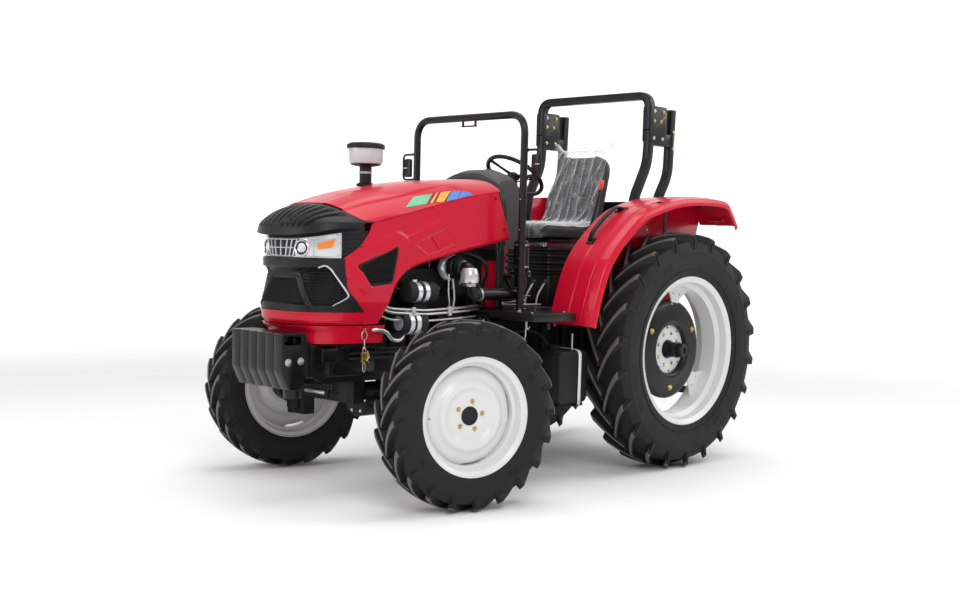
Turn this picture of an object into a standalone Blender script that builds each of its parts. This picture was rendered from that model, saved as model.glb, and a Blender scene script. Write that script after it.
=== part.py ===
"""Farm tractor, open station, four-wheel drive.

Metres. +X is forwards, +Y is the driver's left, +Z is up. The origin is on the ground,
in the middle of the machine's length and width. Engine, bonnet and dash are placed from
the front axle; seat, mudguards, roll bar and linkage are placed from the rear axle.
"""

import math

import bmesh
import bpy
from mathutils import Matrix, Vector

# ---------------------------------------------------------------- driving dimensions
WHEELBASE = 2.01
FRONT_OVERHANG = 0.80  # front axle to the face of the weights
REAR_OVERHANG = 0.89  # rear axle to the ends of the lower links
FRONT_TRACK = 1.69
REAR_TRACK = 1.37
STEER_AT_REST = math.radians(13.5)  # both front wheels are turned to the right

FRONT_TYRE_R = 0.515
FRONT_TYRE_W = 0.24
FRONT_RIM_R = 0.327
REAR_TYRE_R = 0.77
REAR_TYRE_W = 0.31
REAR_RIM_R = 0.482

GAP = 0.0004  # between pieces that touch
PIN_PLAY = 0.0005  # radial, between a pin and its eye

FRONT_AXLE_X = (FRONT_OVERHANG + WHEELBASE + REAR_OVERHANG) / 2 - FRONT_OVERHANG
REAR_AXLE_X = FRONT_AXLE_X - WHEELBASE

HOOD_HALF_W = 0.345
HOOD_SKIN = 0.005
SEAM = 0.0006
NOSE_START = 0.28  # ahead of the front axle, where the plan of the nose begins to round
HOOD_REAR = -0.70  # behind the front axle, top rear edge of the bonnet
PLATFORM_TOP = 1.04
PLATFORM_T = 0.04
FENDER_IN = 0.512
FENDER_OUT = 0.83
FENDER_T = 0.006
DASH_X = -0.76  # plane of the front hand-hold hoop, from the front axle


def fx(distance):
    """X of a place given from the front axle."""
    return FRONT_AXLE_X + distance


def rx(distance):
    """X of a place given from the rear axle."""
    return REAR_AXLE_X + distance


# ---------------------------------------------------------------- materials
PAINTS = {
    "red_paint": ((0.55, 0.012, 0.03), 0.28, 0.0),
    "black_paint": ((0.018, 0.018, 0.02), 0.35, 0.0),
    "black_plastic": ((0.03, 0.03, 0.032), 0.5, 0.0),
    "grey_plastic": ((0.12, 0.12, 0.125), 0.55, 0.0),
    "white_paint": ((0.78, 0.79, 0.8), 0.35, 0.0),
    "tyre_rubber": ((0.022, 0.022, 0.023), 0.75, 0.0),
    "cast_iron": ((0.05, 0.05, 0.052), 0.55, 0.4),
    "zinc": ((0.62, 0.62, 0.6), 0.35, 0.9),
    "lamp_chrome": ((0.8, 0.8, 0.82), 0.18, 0.8),
    "seat_vinyl": ((0.06, 0.062, 0.065), 0.5, 0.0),
    "clear_plastic": ((0.75, 0.72, 0.72), 0.2, 0.0),
}


def paint(name):
    found = bpy.data.materials.get(name)
    if found:
        return found
    colour, roughness, metallic = PAINTS[name]
    made = bpy.data.materials.new(name)
    made.use_nodes = True
    shader = made.node_tree.nodes["Principled BSDF"]
    shader.inputs["Base Color"].default_value = (*colour, 1)
    shader.inputs["Roughness"].default_value = roughness
    shader.inputs["Metallic"].default_value = metallic
    return made


# ---------------------------------------------------------------- shape helpers
def obj(name, mesh, finish, parent=None):
    made = bpy.data.objects.new(name, mesh)
    bpy.context.scene.collection.objects.link(made)
    made.data.materials.append(paint(finish))
    made.parent = parent
    return made


def from_bmesh(name, bm, finish, parent=None, smooth=False):
    bmesh.ops.recalc_face_normals(bm, faces=bm.faces)
    mesh = bpy.data.meshes.new(name)
    bm.to_mesh(mesh)
    bm.free()
    if smooth:
        mesh.shade_smooth()
        mesh.set_sharp_from_angle(angle=math.radians(35))
    return obj(name, mesh, finish, parent)


def block(name, low, high, finish, bevel=0.0, parent=None):
    bm = bmesh.new()
    bmesh.ops.create_cube(bm, size=1)
    size = Vector(high) - Vector(low)
    bmesh.ops.scale(bm, vec=size, verts=bm.verts)
    bmesh.ops.translate(bm, vec=(Vector(low) + Vector(high)) / 2, verts=bm.verts)
    if bevel:
        bmesh.ops.bevel(bm, geom=bm.edges[:], offset=bevel, segments=1, affect="EDGES")
    return from_bmesh(name, bm, finish, parent)


def extrude(name, outline, axis, start, end, finish, parent=None):
    """An outline of two coordinates, pushed along the third axis from start to end."""
    order = {"X": (1, 2, 0), "Y": (0, 2, 1), "Z": (0, 1, 2)}[axis]
    bm = bmesh.new()
    verts = []
    for a, b in outline:
        place = [0.0, 0.0, 0.0]
        place[order[0]], place[order[1]], place[order[2]] = a, b, start
        verts.append(bm.verts.new(place))
    face = bm.faces.new(verts)
    pushed = bmesh.ops.extrude_face_region(bm, geom=[face])
    move = [0.0, 0.0, 0.0]
    move[order[2]] = end - start
    new = [v for v in pushed["geom"] if isinstance(v, bmesh.types.BMVert)]
    bmesh.ops.translate(bm, vec=move, verts=new)
    return from_bmesh(name, bm, finish, parent)


def turned(name, profile, finish, steps=32, axis="Y", centre=(0, 0, 0), parent=None, flat=False):
    """A closed profile of (offset along the axis, radius) spun about the axis.

    With flat set the ring rests on a flat facet whose middle is at the stated radius."""
    along = {"X": Vector((1, 0, 0)), "Y": Vector((0, 1, 0)), "Z": Vector((0, 0, 1))}[axis]
    out = Vector((0, 0, -1)) if axis != "Z" else Vector((1, 0, 0))
    grow = 1 / math.cos(math.pi / steps) if flat else 1.0
    turn = Matrix.Rotation(math.pi / steps if flat else 0.0, 3, along)
    bm = bmesh.new()
    ring = [bm.verts.new(along * o + turn @ out * (r * grow)) for o, r in profile]
    edges = [bm.edges.new((ring[i], ring[(i + 1) % len(ring)])) for i in range(len(ring))]
    bmesh.ops.spin(bm, geom=ring + edges, cent=(0, 0, 0), axis=along, angle=2 * math.pi,
                   steps=steps, use_merge=True)
    bmesh.ops.remove_doubles(bm, verts=bm.verts, dist=1e-5)
    on_axis = [e for e in bm.edges if all((v.co - along * v.co.dot(along)).length < 1e-6 for v in e.verts)]
    bmesh.ops.delete(bm, geom=on_axis, context="EDGES_FACES") if on_axis else None
    bmesh.ops.translate(bm, vec=centre, verts=bm.verts)
    return from_bmesh(name, bm, finish, parent, smooth=True)


def rod(name, start, end, radius, finish, steps=12, parent=None):
    """A straight round bar between two points."""
    start, end = Vector(start), Vector(end)
    bm = bmesh.new()
    bmesh.ops.create_cone(bm, cap_ends=True, segments=steps, radius1=radius, radius2=radius,
                          depth=(end - start).length)
    turn = (end - start).to_track_quat("Z", "Y").to_matrix().to_4x4()
    bmesh.ops.transform(bm, matrix=Matrix.Translation((start + end) / 2) @ turn, verts=bm.verts)
    return from_bmesh(name, bm, finish, parent, smooth=True)


def rounded(points, radius, pieces=4):
    """A polyline with its corners replaced by short arcs of the given setback."""
    points = [Vector(p) for p in points]
    path = [points[0]]
    for before, corner, after in zip(points, points[1:], points[2:]):
        a = corner + (before - corner).normalized() * min(radius, (before - corner).length * 0.45)
        b = corner + (after - corner).normalized() * min(radius, (after - corner).length * 0.45)
        for i in range(pieces + 1):
            t = i / pieces
            path.append(a * (1 - t) ** 2 + corner * 2 * t * (1 - t) + b * t * t)
    return path + [points[-1]]


def sweep(name, path, section, side, finish, parent=None):
    """A closed section of (across, up) points carried along a path.

    side is the direction that the section's across axis stays closest to."""
    bm = bmesh.new()
    rings = []
    for i, point in enumerate(path):
        back = (point - path[i - 1]).normalized() if i else None
        ahead = (path[i + 1] - point).normalized() if i + 1 < len(path) else None
        tangent = ((back or ahead) + (ahead or back)).normalized()
        across = (Vector(side) - tangent * Vector(side).dot(tangent)).normalized()
        up = tangent.cross(across)
        stretch = 1 / max(0.3, tangent.dot(back or ahead))
        lean = (ahead - back) if back and ahead else Vector()
        ring = []
        for a, b in section:
            offset = across * a + up * b
            if lean.length > 1e-4:
                bend = lean.normalized()
                offset += bend * offset.dot(bend) * (stretch - 1)
            ring.append(bm.verts.new(point + offset))
        rings.append(ring)
    for first, second in zip(rings, rings[1:]):
        for i in range(len(section)):
            j = (i + 1) % len(section)
            bm.faces.new((first[i], first[j], second[j], second[i]))
    bm.faces.new(rings[0][::-1])
    bm.faces.new(rings[-1])
    return from_bmesh(name, bm, finish, parent)


def circle(radius, sides=10):
    return [(radius * math.cos(2 * math.pi * i / sides), radius * math.sin(2 * math.pi * i / sides))
            for i in range(sides)]


def rect(width, height):
    w, h = width / 2, height / 2
    return [(-w, -h), (w, -h), (w, h), (-w, h)]


def skin(name, rows, thickness, finish, parent=None):
    """A surface through rows of points, given a wall towards its inside by Solidify."""
    bm = bmesh.new()
    grid = [[bm.verts.new(p) for p in row] for row in rows]
    for a, b in zip(grid, grid[1:]):
        for i in range(len(a) - 1):
            bm.faces.new((a[i], a[i + 1], b[i + 1], b[i]))
    mesh = bpy.data.meshes.new(name)
    bmesh.ops.recalc_face_normals(bm, faces=bm.faces)
    up = sum((f.normal.z * f.calc_area() for f in bm.faces))
    if up < 0:
        bmesh.ops.reverse_faces(bm, faces=bm.faces)
    bm.to_mesh(mesh)
    bm.free()
    made = obj(name, mesh, finish, parent)
    wall = made.modifiers.new("Wall", "SOLIDIFY")
    wall.thickness = thickness
    wall.offset = -1
    wall.use_even_offset = True
    return bake(made)


def bake(made):
    """Turns an object's modifiers into its mesh."""
    bpy.context.view_layer.update()
    graph = bpy.context.evaluated_depsgraph_get()
    mesh = bpy.data.meshes.new_from_object(made.evaluated_get(graph), depsgraph=graph)
    made.modifiers.clear()
    made.data = mesh
    return made


def boolean(target, others, operation):
    for other in others:
        step = target.modifiers.new(operation.title(), "BOOLEAN")
        step.operation = operation
        step.object = other
        step.solver = "EXACT"
        bake(target)
        bpy.data.objects.remove(other)
    return target


def join(target, *others):
    return boolean(target, others, "UNION")


def cut(target, *others):
    return boolean(target, others, "DIFFERENCE")


def keep(target, *others):
    return boolean(target, others, "INTERSECT")


def mirrored(source, name, parent=None):
    """The same piece on the driver's right, as its own mesh with its faces turned back out."""
    mesh = source.data.copy()
    mesh.transform(Matrix.Scale(-1, 4, (0, 1, 0)))
    mesh.flip_normals()
    made = bpy.data.objects.new(name, mesh)
    bpy.context.scene.collection.objects.link(made)
    made.parent = parent
    return made


def pivot(name, place, turn=None, parent=None):
    """An empty on a joint's axis, which the moving pieces hang from."""
    made = bpy.data.objects.new(name, None)
    bpy.context.scene.collection.objects.link(made)
    made.location = place
    if turn:
        made.rotation_euler = turn
    made.parent = parent
    return made


SIDES = (("left", 1), ("right", -1))


def from_front(points):
    return [(fx(x), z) for x, z in points]


def from_rear(points):
    return [(rx(x), z) for x, z in points]


# ---------------------------------------------------------------- wheels
def tyre_profile(radius, width, rim_radius, bead_half, wall):
    """Section of a tyre: beads, side walls, shoulders, crown, and the hollow inside."""
    half = width / 2
    bead = rim_radius - RIM_FLANGE + GAP
    tall = radius - bead
    outer = [(-bead_half + GAP, bead), (-bead_half + GAP, rim_radius + 0.003), (-half, bead + tall * 0.5), (-half * 0.95, radius - 0.045),
             (-half * 0.6, radius)]
    inner = [(-bead_half + 0.022, bead), (-half + wall, bead + tall * 0.45), (-half * 0.5, radius - 0.07)]
    right = [(-o, r) for o, r in reversed(outer)]
    inside = [(-o, r) for o, r in inner] + list(reversed(inner))
    return outer + right + inside


def rim_barrel(rim_radius, half, wall):
    """Outer side of a rim, from its outboard flange to its inboard flange."""
    bead = rim_radius - RIM_FLANGE
    return [(half + RIM_LIP, rim_radius), (half, rim_radius), (half, bead), (-half, bead), (-half, rim_radius),
            (-half - RIM_LIP, rim_radius), (-half - RIM_LIP, bead - wall)]


RIM_FLANGE = 0.022
RIM_LIP = 0.006
FRONT_BEAD = 0.094
REAR_BEAD = 0.128
KINGPIN_OFFSET = 0.14
KINGPIN_Y = FRONT_TRACK / 2 - KINGPIN_OFFSET
HUB_FACE = -0.035  # inboard face of the front wheel's hub, from its middle plane


def front_tyre(parent):
    profile = tyre_profile(FRONT_TYRE_R, FRONT_TYRE_W, FRONT_RIM_R, FRONT_BEAD, 0.016)
    return turned("front_tyre_left", profile, "tyre_rubber", 28, centre=(0, KINGPIN_OFFSET, 0),
                  parent=parent, flat=True)


def front_wheel(parent):
    """Rim, domed disc and hub of the front wheel, welded up as one turned piece."""
    wall = 0.007
    inner = FRONT_RIM_R - RIM_FLANGE - wall
    profile = rim_barrel(FRONT_RIM_R, FRONT_BEAD, wall)
    profile += [(0.0, inner), (0.022, 0.235), (0.042, 0.17), (0.042, 0.1), (HUB_FACE, 0.095),
                (HUB_FACE, 0.0), (0.098, 0.0), (0.098, 0.038), (0.056, 0.06), (0.052, 0.17),
                (0.032, 0.242), (0.01, inner), (FRONT_BEAD + RIM_LIP, inner)]
    return turned("front_wheel_left", profile, "white_paint", 28, centre=(0, KINGPIN_OFFSET, 0),
                  parent=parent, flat=True)


def rear_wheel(parent):
    profile = tyre_profile(REAR_TYRE_R, REAR_TYRE_W, REAR_RIM_R, REAR_BEAD, 0.02)
    tyre = turned("rear_tyre_left", profile, "tyre_rubber", 32, parent=parent, flat=True)
    wall = 0.008
    inner = REAR_RIM_R - RIM_FLANGE - wall
    seat = REAR_RIM_R - 0.095  # the flange that the disc bolts to reaches in to this radius
    profile = rim_barrel(REAR_RIM_R, REAR_BEAD, wall)
    profile += [(FLANGE_FACE, inner), (FLANGE_FACE, seat), (FLANGE_FACE + 0.012, seat),
                (FLANGE_FACE + 0.012, inner), (REAR_BEAD + RIM_LIP, inner)]
    rim = turned("rear_rim_left", profile, "white_paint", 32, parent=parent, flat=True)
    out = FLANGE_FACE - GAP
    edge = seat + 0.04
    profile = [(out, edge), (out, 0.30), (-0.05, 0.27), (-0.05, 0.15), (-0.015, 0.1), (0.05, 0.095),
               (0.05, 0.055), (0.1, 0.05), (0.1, 0.0), (REAR_HUB_FACE, 0.0), (REAR_HUB_FACE, 0.14),
               (-0.06, 0.276), (out - 0.01, 0.306), (out - 0.01, edge)]
    disc = turned("rear_disc_left", profile, "black_paint", 24, parent=parent)
    return tyre, rim, disc


FLANGE_FACE = -0.02  # inboard face of the rear rim's flange, from the wheel's middle plane
REAR_HUB_FACE = -0.075


def wheels():
    for side, sign in SIDES:
        kingpin = pivot("kingpin_" + side, (FRONT_AXLE_X, sign * KINGPIN_Y, FRONT_TYRE_R),
                        (0, 0, -STEER_AT_REST))
        KINGPINS[side] = kingpin
    tyre = front_tyre(KINGPINS["left"])
    wheel = front_wheel(KINGPINS["left"])
    knuckle = front_knuckle(KINGPINS["left"])
    mirrored(tyre, "front_tyre_right", KINGPINS["right"])
    mirrored(wheel, "front_wheel_right", KINGPINS["right"])
    mirrored(knuckle, "knuckle_right", KINGPINS["right"])
    left = pivot("rear_hub_left", (REAR_AXLE_X, REAR_TRACK / 2, REAR_TYRE_R))
    right = pivot("rear_hub_right", (REAR_AXLE_X, -REAR_TRACK / 2, REAR_TYRE_R))
    for piece in rear_wheel(left):
        mirrored(piece, piece.name.replace("left", "right"), right)


KINGPINS = {}

# ---------------------------------------------------------------- front axle and steering
STEER_ARM = 0.16
TIE_Z = -0.055  # height of the tie rod's middle, from the front axle
TIE_R = 0.014
TIE_PIN_R = 0.009
EYE_R = 0.024
FORK_IN = 0.13  # half the height between the ears of the axle's forks


def front_knuckle(parent):
    """Housing on the kingpin, with the drum behind the hub and the steering arm behind it."""
    body = turned("knuckle_left", [(-FORK_IN + GAP, 0.0), (-FORK_IN + GAP, 0.06), (FORK_IN - GAP, 0.06),
                                   (FORK_IN - GAP, 0.0)], "cast_iron", 20, axis="Z", parent=parent)
    end = KINGPIN_OFFSET + HUB_FACE - GAP
    drum = rod("drum", (0, 0.02, 0), (0, end, 0), 0.105, "cast_iron", 20)
    base = TIE_Z + TIE_R + GAP
    arm = block("arm", (-STEER_ARM, -0.02, base), (0, 0.02, base + 0.022), "cast_iron")
    boss = rod("boss", (-STEER_ARM, 0, base), (-STEER_ARM, 0, base + 0.022), EYE_R, "cast_iron", 16)
    pin = rod("pin", (-STEER_ARM, 0, TIE_Z - TIE_R - 0.006), (-STEER_ARM, 0, base + 0.01), TIE_PIN_R,
              "cast_iron", 12)
    body.parent = None
    body = join(body, drum, arm, boss, pin)
    body.parent = parent
    return body


def tie_rod():
    turn = Matrix.Rotation(-STEER_AT_REST, 3, "Z")
    arm = turn @ Vector((-STEER_ARM, 0, 0))
    left = Vector((FRONT_AXLE_X, KINGPIN_Y, FRONT_TYRE_R + TIE_Z)) + arm
    right = Vector((FRONT_AXLE_X, -KINGPIN_Y, FRONT_TYRE_R + TIE_Z)) + arm
    made = rod("tie_rod", right, left, TIE_R * 0.9, "cast_iron", 12)
    tall = Vector((0, 0, TIE_R))
    eyes = [rod("eye", end - tall, end + tall, EYE_R, "cast_iron", 16) for end in (left, right)]
    holes = [rod("hole", end - tall * 2, end + tall * 2, TIE_PIN_R + PIN_PLAY, "cast_iron", 12)
             for end in (left, right)]
    return cut(join(made, *eyes), *holes)


def front_axle():
    """Beam with a hub in the middle, and a fork at each end that holds the knuckle."""
    z = FRONT_TYRE_R
    beam = block("front_axle", (fx(-0.05), -0.62, z - 0.045), (fx(0.05), 0.62, z + 0.045), "cast_iron", 0.012)
    hub = rod("hub", (fx(-AXLE_HUB), 0, z), (fx(AXLE_HUB), 0, z), 0.1, "cast_iron", 20)
    parts = [hub]
    for _, sign in SIDES:
        inner, outer = sorted((sign * 0.575, sign * 0.62))
        web = block("web", (fx(-0.04), inner, z - FORK_IN - 0.03), (fx(0.04), outer, z + FORK_IN + 0.03),
                    "cast_iron")
        parts.append(web)
        inner, outer = sorted((sign * 0.6, sign * KINGPIN_Y))
        for low in (-FORK_IN - 0.03, FORK_IN):
            parts.append(block("ear", (fx(-0.04), inner, z + low), (fx(0.04), outer, z + low + 0.03),
                               "cast_iron"))
            parts.append(rod("cap", (fx(0), sign * KINGPIN_Y, z + low), (fx(0), sign * KINGPIN_Y, z + low + 0.03),
                             0.055, "cast_iron", 20))
    return join(beam, *parts)


AXLE_HUB = 0.1


def front_support():
    """Casting ahead of the engine: the weights hang on its nose, and the axle rocks beneath it."""
    z = FRONT_TYRE_R
    top = block("front_support", (fx(ENGINE_FRONT + GAP), -0.2, z + 0.165), (fx(WEIGHT_BACK - GAP), 0.2, SUPPORT_TOP),
                "black_paint", 0.01)
    plate = block("plate", (fx(-0.18), -0.14, z + 0.125), (fx(0.5), 0.14, ENGINE_LOW - GAP), "black_paint")
    step = AXLE_HUB + GAP
    legs = [block("leg", (fx(a), -0.07, z - 0.015), (fx(b), 0.07, z + 0.135), "black_paint")
            for a, b in ((-0.18, -step), (step, 0.18))]
    hitch = rod("hitch", (fx(0.56), 0, z + 0.045), (fx(0.56), 0, z + 0.205), 0.045, "black_paint", 16)
    return join(top, plate, *legs, hitch)


def front_weights():
    outline = [(FRONT_OVERHANG, 0.934), (WEIGHT_BACK, 0.934), (WEIGHT_BACK, 0.697), (0.671, 0.63),
               (0.751, 0.63), (FRONT_OVERHANG, 0.731)]
    return extrude("front_weights", from_front(outline), "Y", -0.23, 0.23, "black_paint")


WEIGHT_BACK = 0.617
SUPPORT_TOP = 0.87
ENGINE_FRONT = 0.12
ENGINE_REAR = -0.6
ENGINE_LOW = FRONT_TYRE_R + 0.185  # clears the axle where it rocks

# ---------------------------------------------------------------- engine and transmission


def engine():
    body = block("engine", (fx(ENGINE_REAR), -0.17, ENGINE_LOW), (fx(ENGINE_FRONT), 0.17, 1.12), "cast_iron",
                 0.01)
    parts = [
        block("head", (fx(-0.55), -0.13, 1.1), (fx(0.06), 0.13, 1.34), "cast_iron"),
        block("cover", (fx(-0.5), -0.08, 1.33), (fx(0.02), 0.08, 1.42), "cast_iron"),
        block("sump", (fx(-0.55), -0.13, ENGINE_LOW - 0.12), (fx(-0.2), 0.13, ENGINE_LOW + 0.02), "cast_iron"),
        block("housing", (fx(ENGINE_REAR), -0.22, ENGINE_LOW - 0.1), (fx(ENGINE_REAR + 0.05), 0.22, 1.12), "cast_iron"),
        block("manifold", (fx(-0.5), 0.12, 1.2), (fx(-0.02), 0.2, 1.28), "cast_iron"),
        rod("turbo", (fx(-0.4), 0.19, 1.29), (fx(-0.4), 0.33, 1.29), 0.055, "cast_iron", 16),
        block("mount", (fx(-0.16), 0.16, 0.95), (fx(-0.06), 0.3, 1.16), "cast_iron"),
        rod("oil_filter", (fx(-0.2), 0.3, 1.15), (fx(0.0), 0.3, 1.15), 0.05, "cast_iron", 16),
        rod("alternator", (fx(-0.12), 0.27, 0.975), (fx(0.05), 0.27, 0.975), 0.06, "cast_iron", 16),
    ]
    return join(body, *parts)


def transmission():
    """Clutch and gear housing, rear-axle centre and both axle tubes."""
    front = fx(ENGINE_REAR - GAP)
    z = REAR_TYRE_R
    low = FRONT_TYRE_R + 0.045  # clears the drive shaft to the front axle
    body = block("transmission", (rx(0.24), -0.16, low), (front, 0.16, 0.97), "cast_iron", 0.015)
    bell = block("bell", (front - 0.08, -0.21, low + 0.04), (front, 0.21, 0.99), "cast_iron")
    centre = block("centre", (rx(-0.24), -0.2, 0.56), (rx(0.26), 0.2, 1.0), "cast_iron")
    end = REAR_TRACK / 2 + REAR_HUB_FACE - GAP
    tube = rod("tube", (rx(0), -end, z), (rx(0), end, z), 0.095, "cast_iron", 24)
    flange = [rod("flange", (rx(0), s * (end - 0.03), z), (rx(0), s * end, z), 0.13, "cast_iron", 24)
              for _, s in SIDES]
    top = block("lift_cover", (rx(-0.25), -0.15, 0.98), (rx(0.2), 0.15, 1.12), "cast_iron")
    shaft = rod("pto", (rx(-0.2), 0, 0.64), (rx(-0.33), 0, 0.64), 0.02, "cast_iron", 12)
    drop = block("drop_box", (fx(-1.15), -0.12, low - 0.09), (fx(-0.85), 0.12, low + 0.04), "cast_iron")
    bracket = block("top_bracket", (rx(-0.3), -0.035, 0.9), (rx(-0.2), 0.035, 0.98), "cast_iron")
    return join(body, bell, centre, tube, *flange, top, shaft, drop, bracket)


def driveshaft():
    z = FRONT_TYRE_R
    return rod("driveshaft_guard", (fx(-0.85 + GAP), 0, z), (fx(-0.18 - GAP), 0, z), 0.028, "black_paint", 16)


def drawbar():
    bar = block("drawbar", (rx(-0.5), -0.035, 0.395), (rx(0.2), 0.035, 0.42), "cast_iron")
    hanger = block("hanger", (rx(-0.235), -0.09, 0.41), (rx(-0.175), 0.09, 0.56 - GAP), "cast_iron")
    second = block("second", (rx(0.1), -0.09, 0.41), (rx(0.18), 0.09, 0.56 - GAP), "cast_iron")
    hole = rod("hole", (rx(-0.46), 0, 0.3), (rx(-0.46), 0, 0.5), 0.0125, "cast_iron", 16)
    return cut(join(bar, hanger, second), hole)


def radiator():
    half = HOOD_HALF_W - 0.085
    return block("radiator", (fx(0.3), -half, TRAY_TOP + GAP), (fx(0.4), half, 1.5), "black_plastic", 0.01)


TRAY_TOP = SUPPORT_TOP + GAP + 0.008

# ---------------------------------------------------------------- bonnet
CANOPY = [  # from the front axle: x and z on the middle line, x at the sides, fall at the sides
    (HOOD_REAR, 1.83, HOOD_REAR, 0.078),
    (-0.45, 1.806, -0.45, 0.1),
    (-0.2, 1.778, -0.2, 0.128),
    (0.056, 1.736, 0.056, 0.148),
    (0.27, 1.692, 0.21, 0.14),
    (0.47, 1.63, 0.28, 0.096),
    (0.582, 1.586, 0.305, 0.09),
    (0.661, 1.52, 0.33, 0.062),
    (0.693, 1.463, 0.353, 0.05),
]
CAP_FROM = 5  # the station where the painted bonnet ends and the black cap begins
CHEEK = [(0.33, 1.045), (0.391, 1.11), (0.441, 1.164), (0.462, 1.25), (0.468, 1.34), (0.37, 1.395)]
LIP_LOW = 0.975
ROUND = 2.6  # how square the nose is in plan


def canopy_row(station, count=10):
    x, z, side_x, fall = station
    row = []
    for i in range(count + 1):
        t = math.sin(math.pi / 2 * (2 * i / count - 1))
        bow = max(0.0, 1 - abs(t) ** ROUND) ** (1 / ROUND)
        row.append((fx(side_x + (x - side_x) * bow), HOOD_HALF_W * t, z - fall * abs(t) ** 3))
    return row


def canopy_skin(name, first, last, shift, finish):
    """The canopy from one station to another, its end stations moved by shift."""
    stations = [list(s) for s in CANOPY[first:last + 1]]
    for station, move in ((stations[0], shift[0]), (stations[-1], shift[1])):
        station[0] += move
        station[2] += move * 5.6
    return skin(name, [canopy_row(s) for s in stations], HOOD_SKIN, finish)


def plan_y(x, front, half):
    """Half width of the nose at a distance ahead of the front axle."""
    if x <= NOSE_START:
        return half
    return half * max(0.0, 1 - ((x - NOSE_START) / (front - NOSE_START)) ** ROUND) ** (1 / ROUND)


def nose_row(z, front, half, start, count=16):
    """Points at one height around the nose, from start on the left to start on the right."""
    if start <= NOSE_START:
        first = math.pi / 2
    else:
        first = math.acos(((start - NOSE_START) / (front - NOSE_START)) ** (ROUND / 2))
    row = []
    for i in range(count + 1):
        a = first * (1 - 2 * i / count)
        x = NOSE_START + (front - NOSE_START) * abs(math.cos(a)) ** (2 / ROUND)
        y = half * math.copysign(abs(math.sin(a)) ** (2 / ROUND), math.sin(a))
        row.append((fx(x), y, z))
    return row


def cheek_x(z):
    """Edge between the side panel and the black mask, at one height."""
    for (x0, z0), (x1, z1) in zip(CHEEK, CHEEK[1:]):
        if z <= z1:
            return x0 + (x1 - x0) * max(0.0, (z - z0) / (z1 - z0))
    return CHEEK[-1][0]


def wall(name, rows, thickness, finish):
    """A standing surface through rows of points, with its thickness towards the machine's middle."""
    bm = bmesh.new()
    grid = [[bm.verts.new(p) for p in row] for row in rows]
    for a, b in zip(grid, grid[1:]):
        for i in range(len(a) - 1):
            bm.faces.new((a[i], b[i], b[i + 1], a[i + 1]))
    bm.normal_update()
    middle = Vector((fx(-0.2), 0, 0))
    if sum((f.calc_center_median() - middle).dot(f.normal) * f.calc_area() for f in bm.faces) < 0:
        bmesh.ops.reverse_faces(bm, faces=bm.faces)
    mesh = bpy.data.meshes.new(name)
    bm.to_mesh(mesh)
    bm.free()
    made = obj(name, mesh, finish)
    thicken(made, thickness)
    return made


def thicken(made, thickness):
    layer = made.modifiers.new("Wall", "SOLIDIFY")
    layer.thickness = thickness
    layer.offset = -1
    layer.use_even_offset = True
    bake(made)


def side_panel():
    """Side of the bonnet with its cheek, cut to outline and bent to the plan of the nose."""
    top = [(side_x, z - fall - EDGE_DROP) for _, z, side_x, fall in CANOPY[1:CAP_FROM]]
    top += [(side_x - 0.007, z - fall - EDGE_DROP) for _, z, side_x, fall in CANOPY[CAP_FROM:]]
    outline = [(HOOD_REAR + 0.018, CANOPY[0][1] - CANOPY[0][3] - EDGE_DROP - 0.003), *top, CHEEK[5], CHEEK[4],
               CHEEK[3], CHEEK[2], CHEEK[1], CHEEK[0], (CHEEK[0][0], LIP_LOW), (0.222, LIP_LOW), (0.162, 1.081),
               (0.09, 1.164), (0.12, 1.22), (-0.01, 1.286), (-0.8, 1.458)]
    bm = bmesh.new()
    bm.faces.new([bm.verts.new((x, 0, z)) for x, z in outline])
    for x in (-0.2, 0.05, NOSE_START, 0.33, 0.38, 0.43):
        geom = bm.verts[:] + bm.edges[:] + bm.faces[:]
        bmesh.ops.bisect_plane(bm, geom=geom, dist=1e-5, plane_co=(x, 0, 0), plane_no=(1, 0, 0))
    for z in (1.1, 1.3):
        geom = bm.verts[:] + bm.edges[:] + bm.faces[:]
        bmesh.ops.bisect_plane(bm, geom=geom, dist=1e-5, plane_co=(0, 0, z), plane_no=(0, 0, 1))
    bmesh.ops.triangulate(bm, faces=bm.faces[:])
    for vert in bm.verts:
        x, z = vert.co.x, vert.co.z
        tuck = 0.02 * max(0.0, (1.1 - z) / 0.13)
        vert.co = (fx(x), plan_y(x, 0.672, HOOD_HALF_W - tuck), z)
    bm.normal_update()
    if sum(f.normal.y * f.calc_area() for f in bm.faces) < 0:
        bmesh.ops.reverse_faces(bm, faces=bm.faces)
    mesh = bpy.data.meshes.new("hood_side_left")
    bm.to_mesh(mesh)
    bm.free()
    made = obj("hood_side_left", mesh, "red_paint")
    thicken(made, HOOD_SKIN)
    return made


EDGE_DROP = 0.0047  # the side panels start this far under the edge of the canopy


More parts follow.
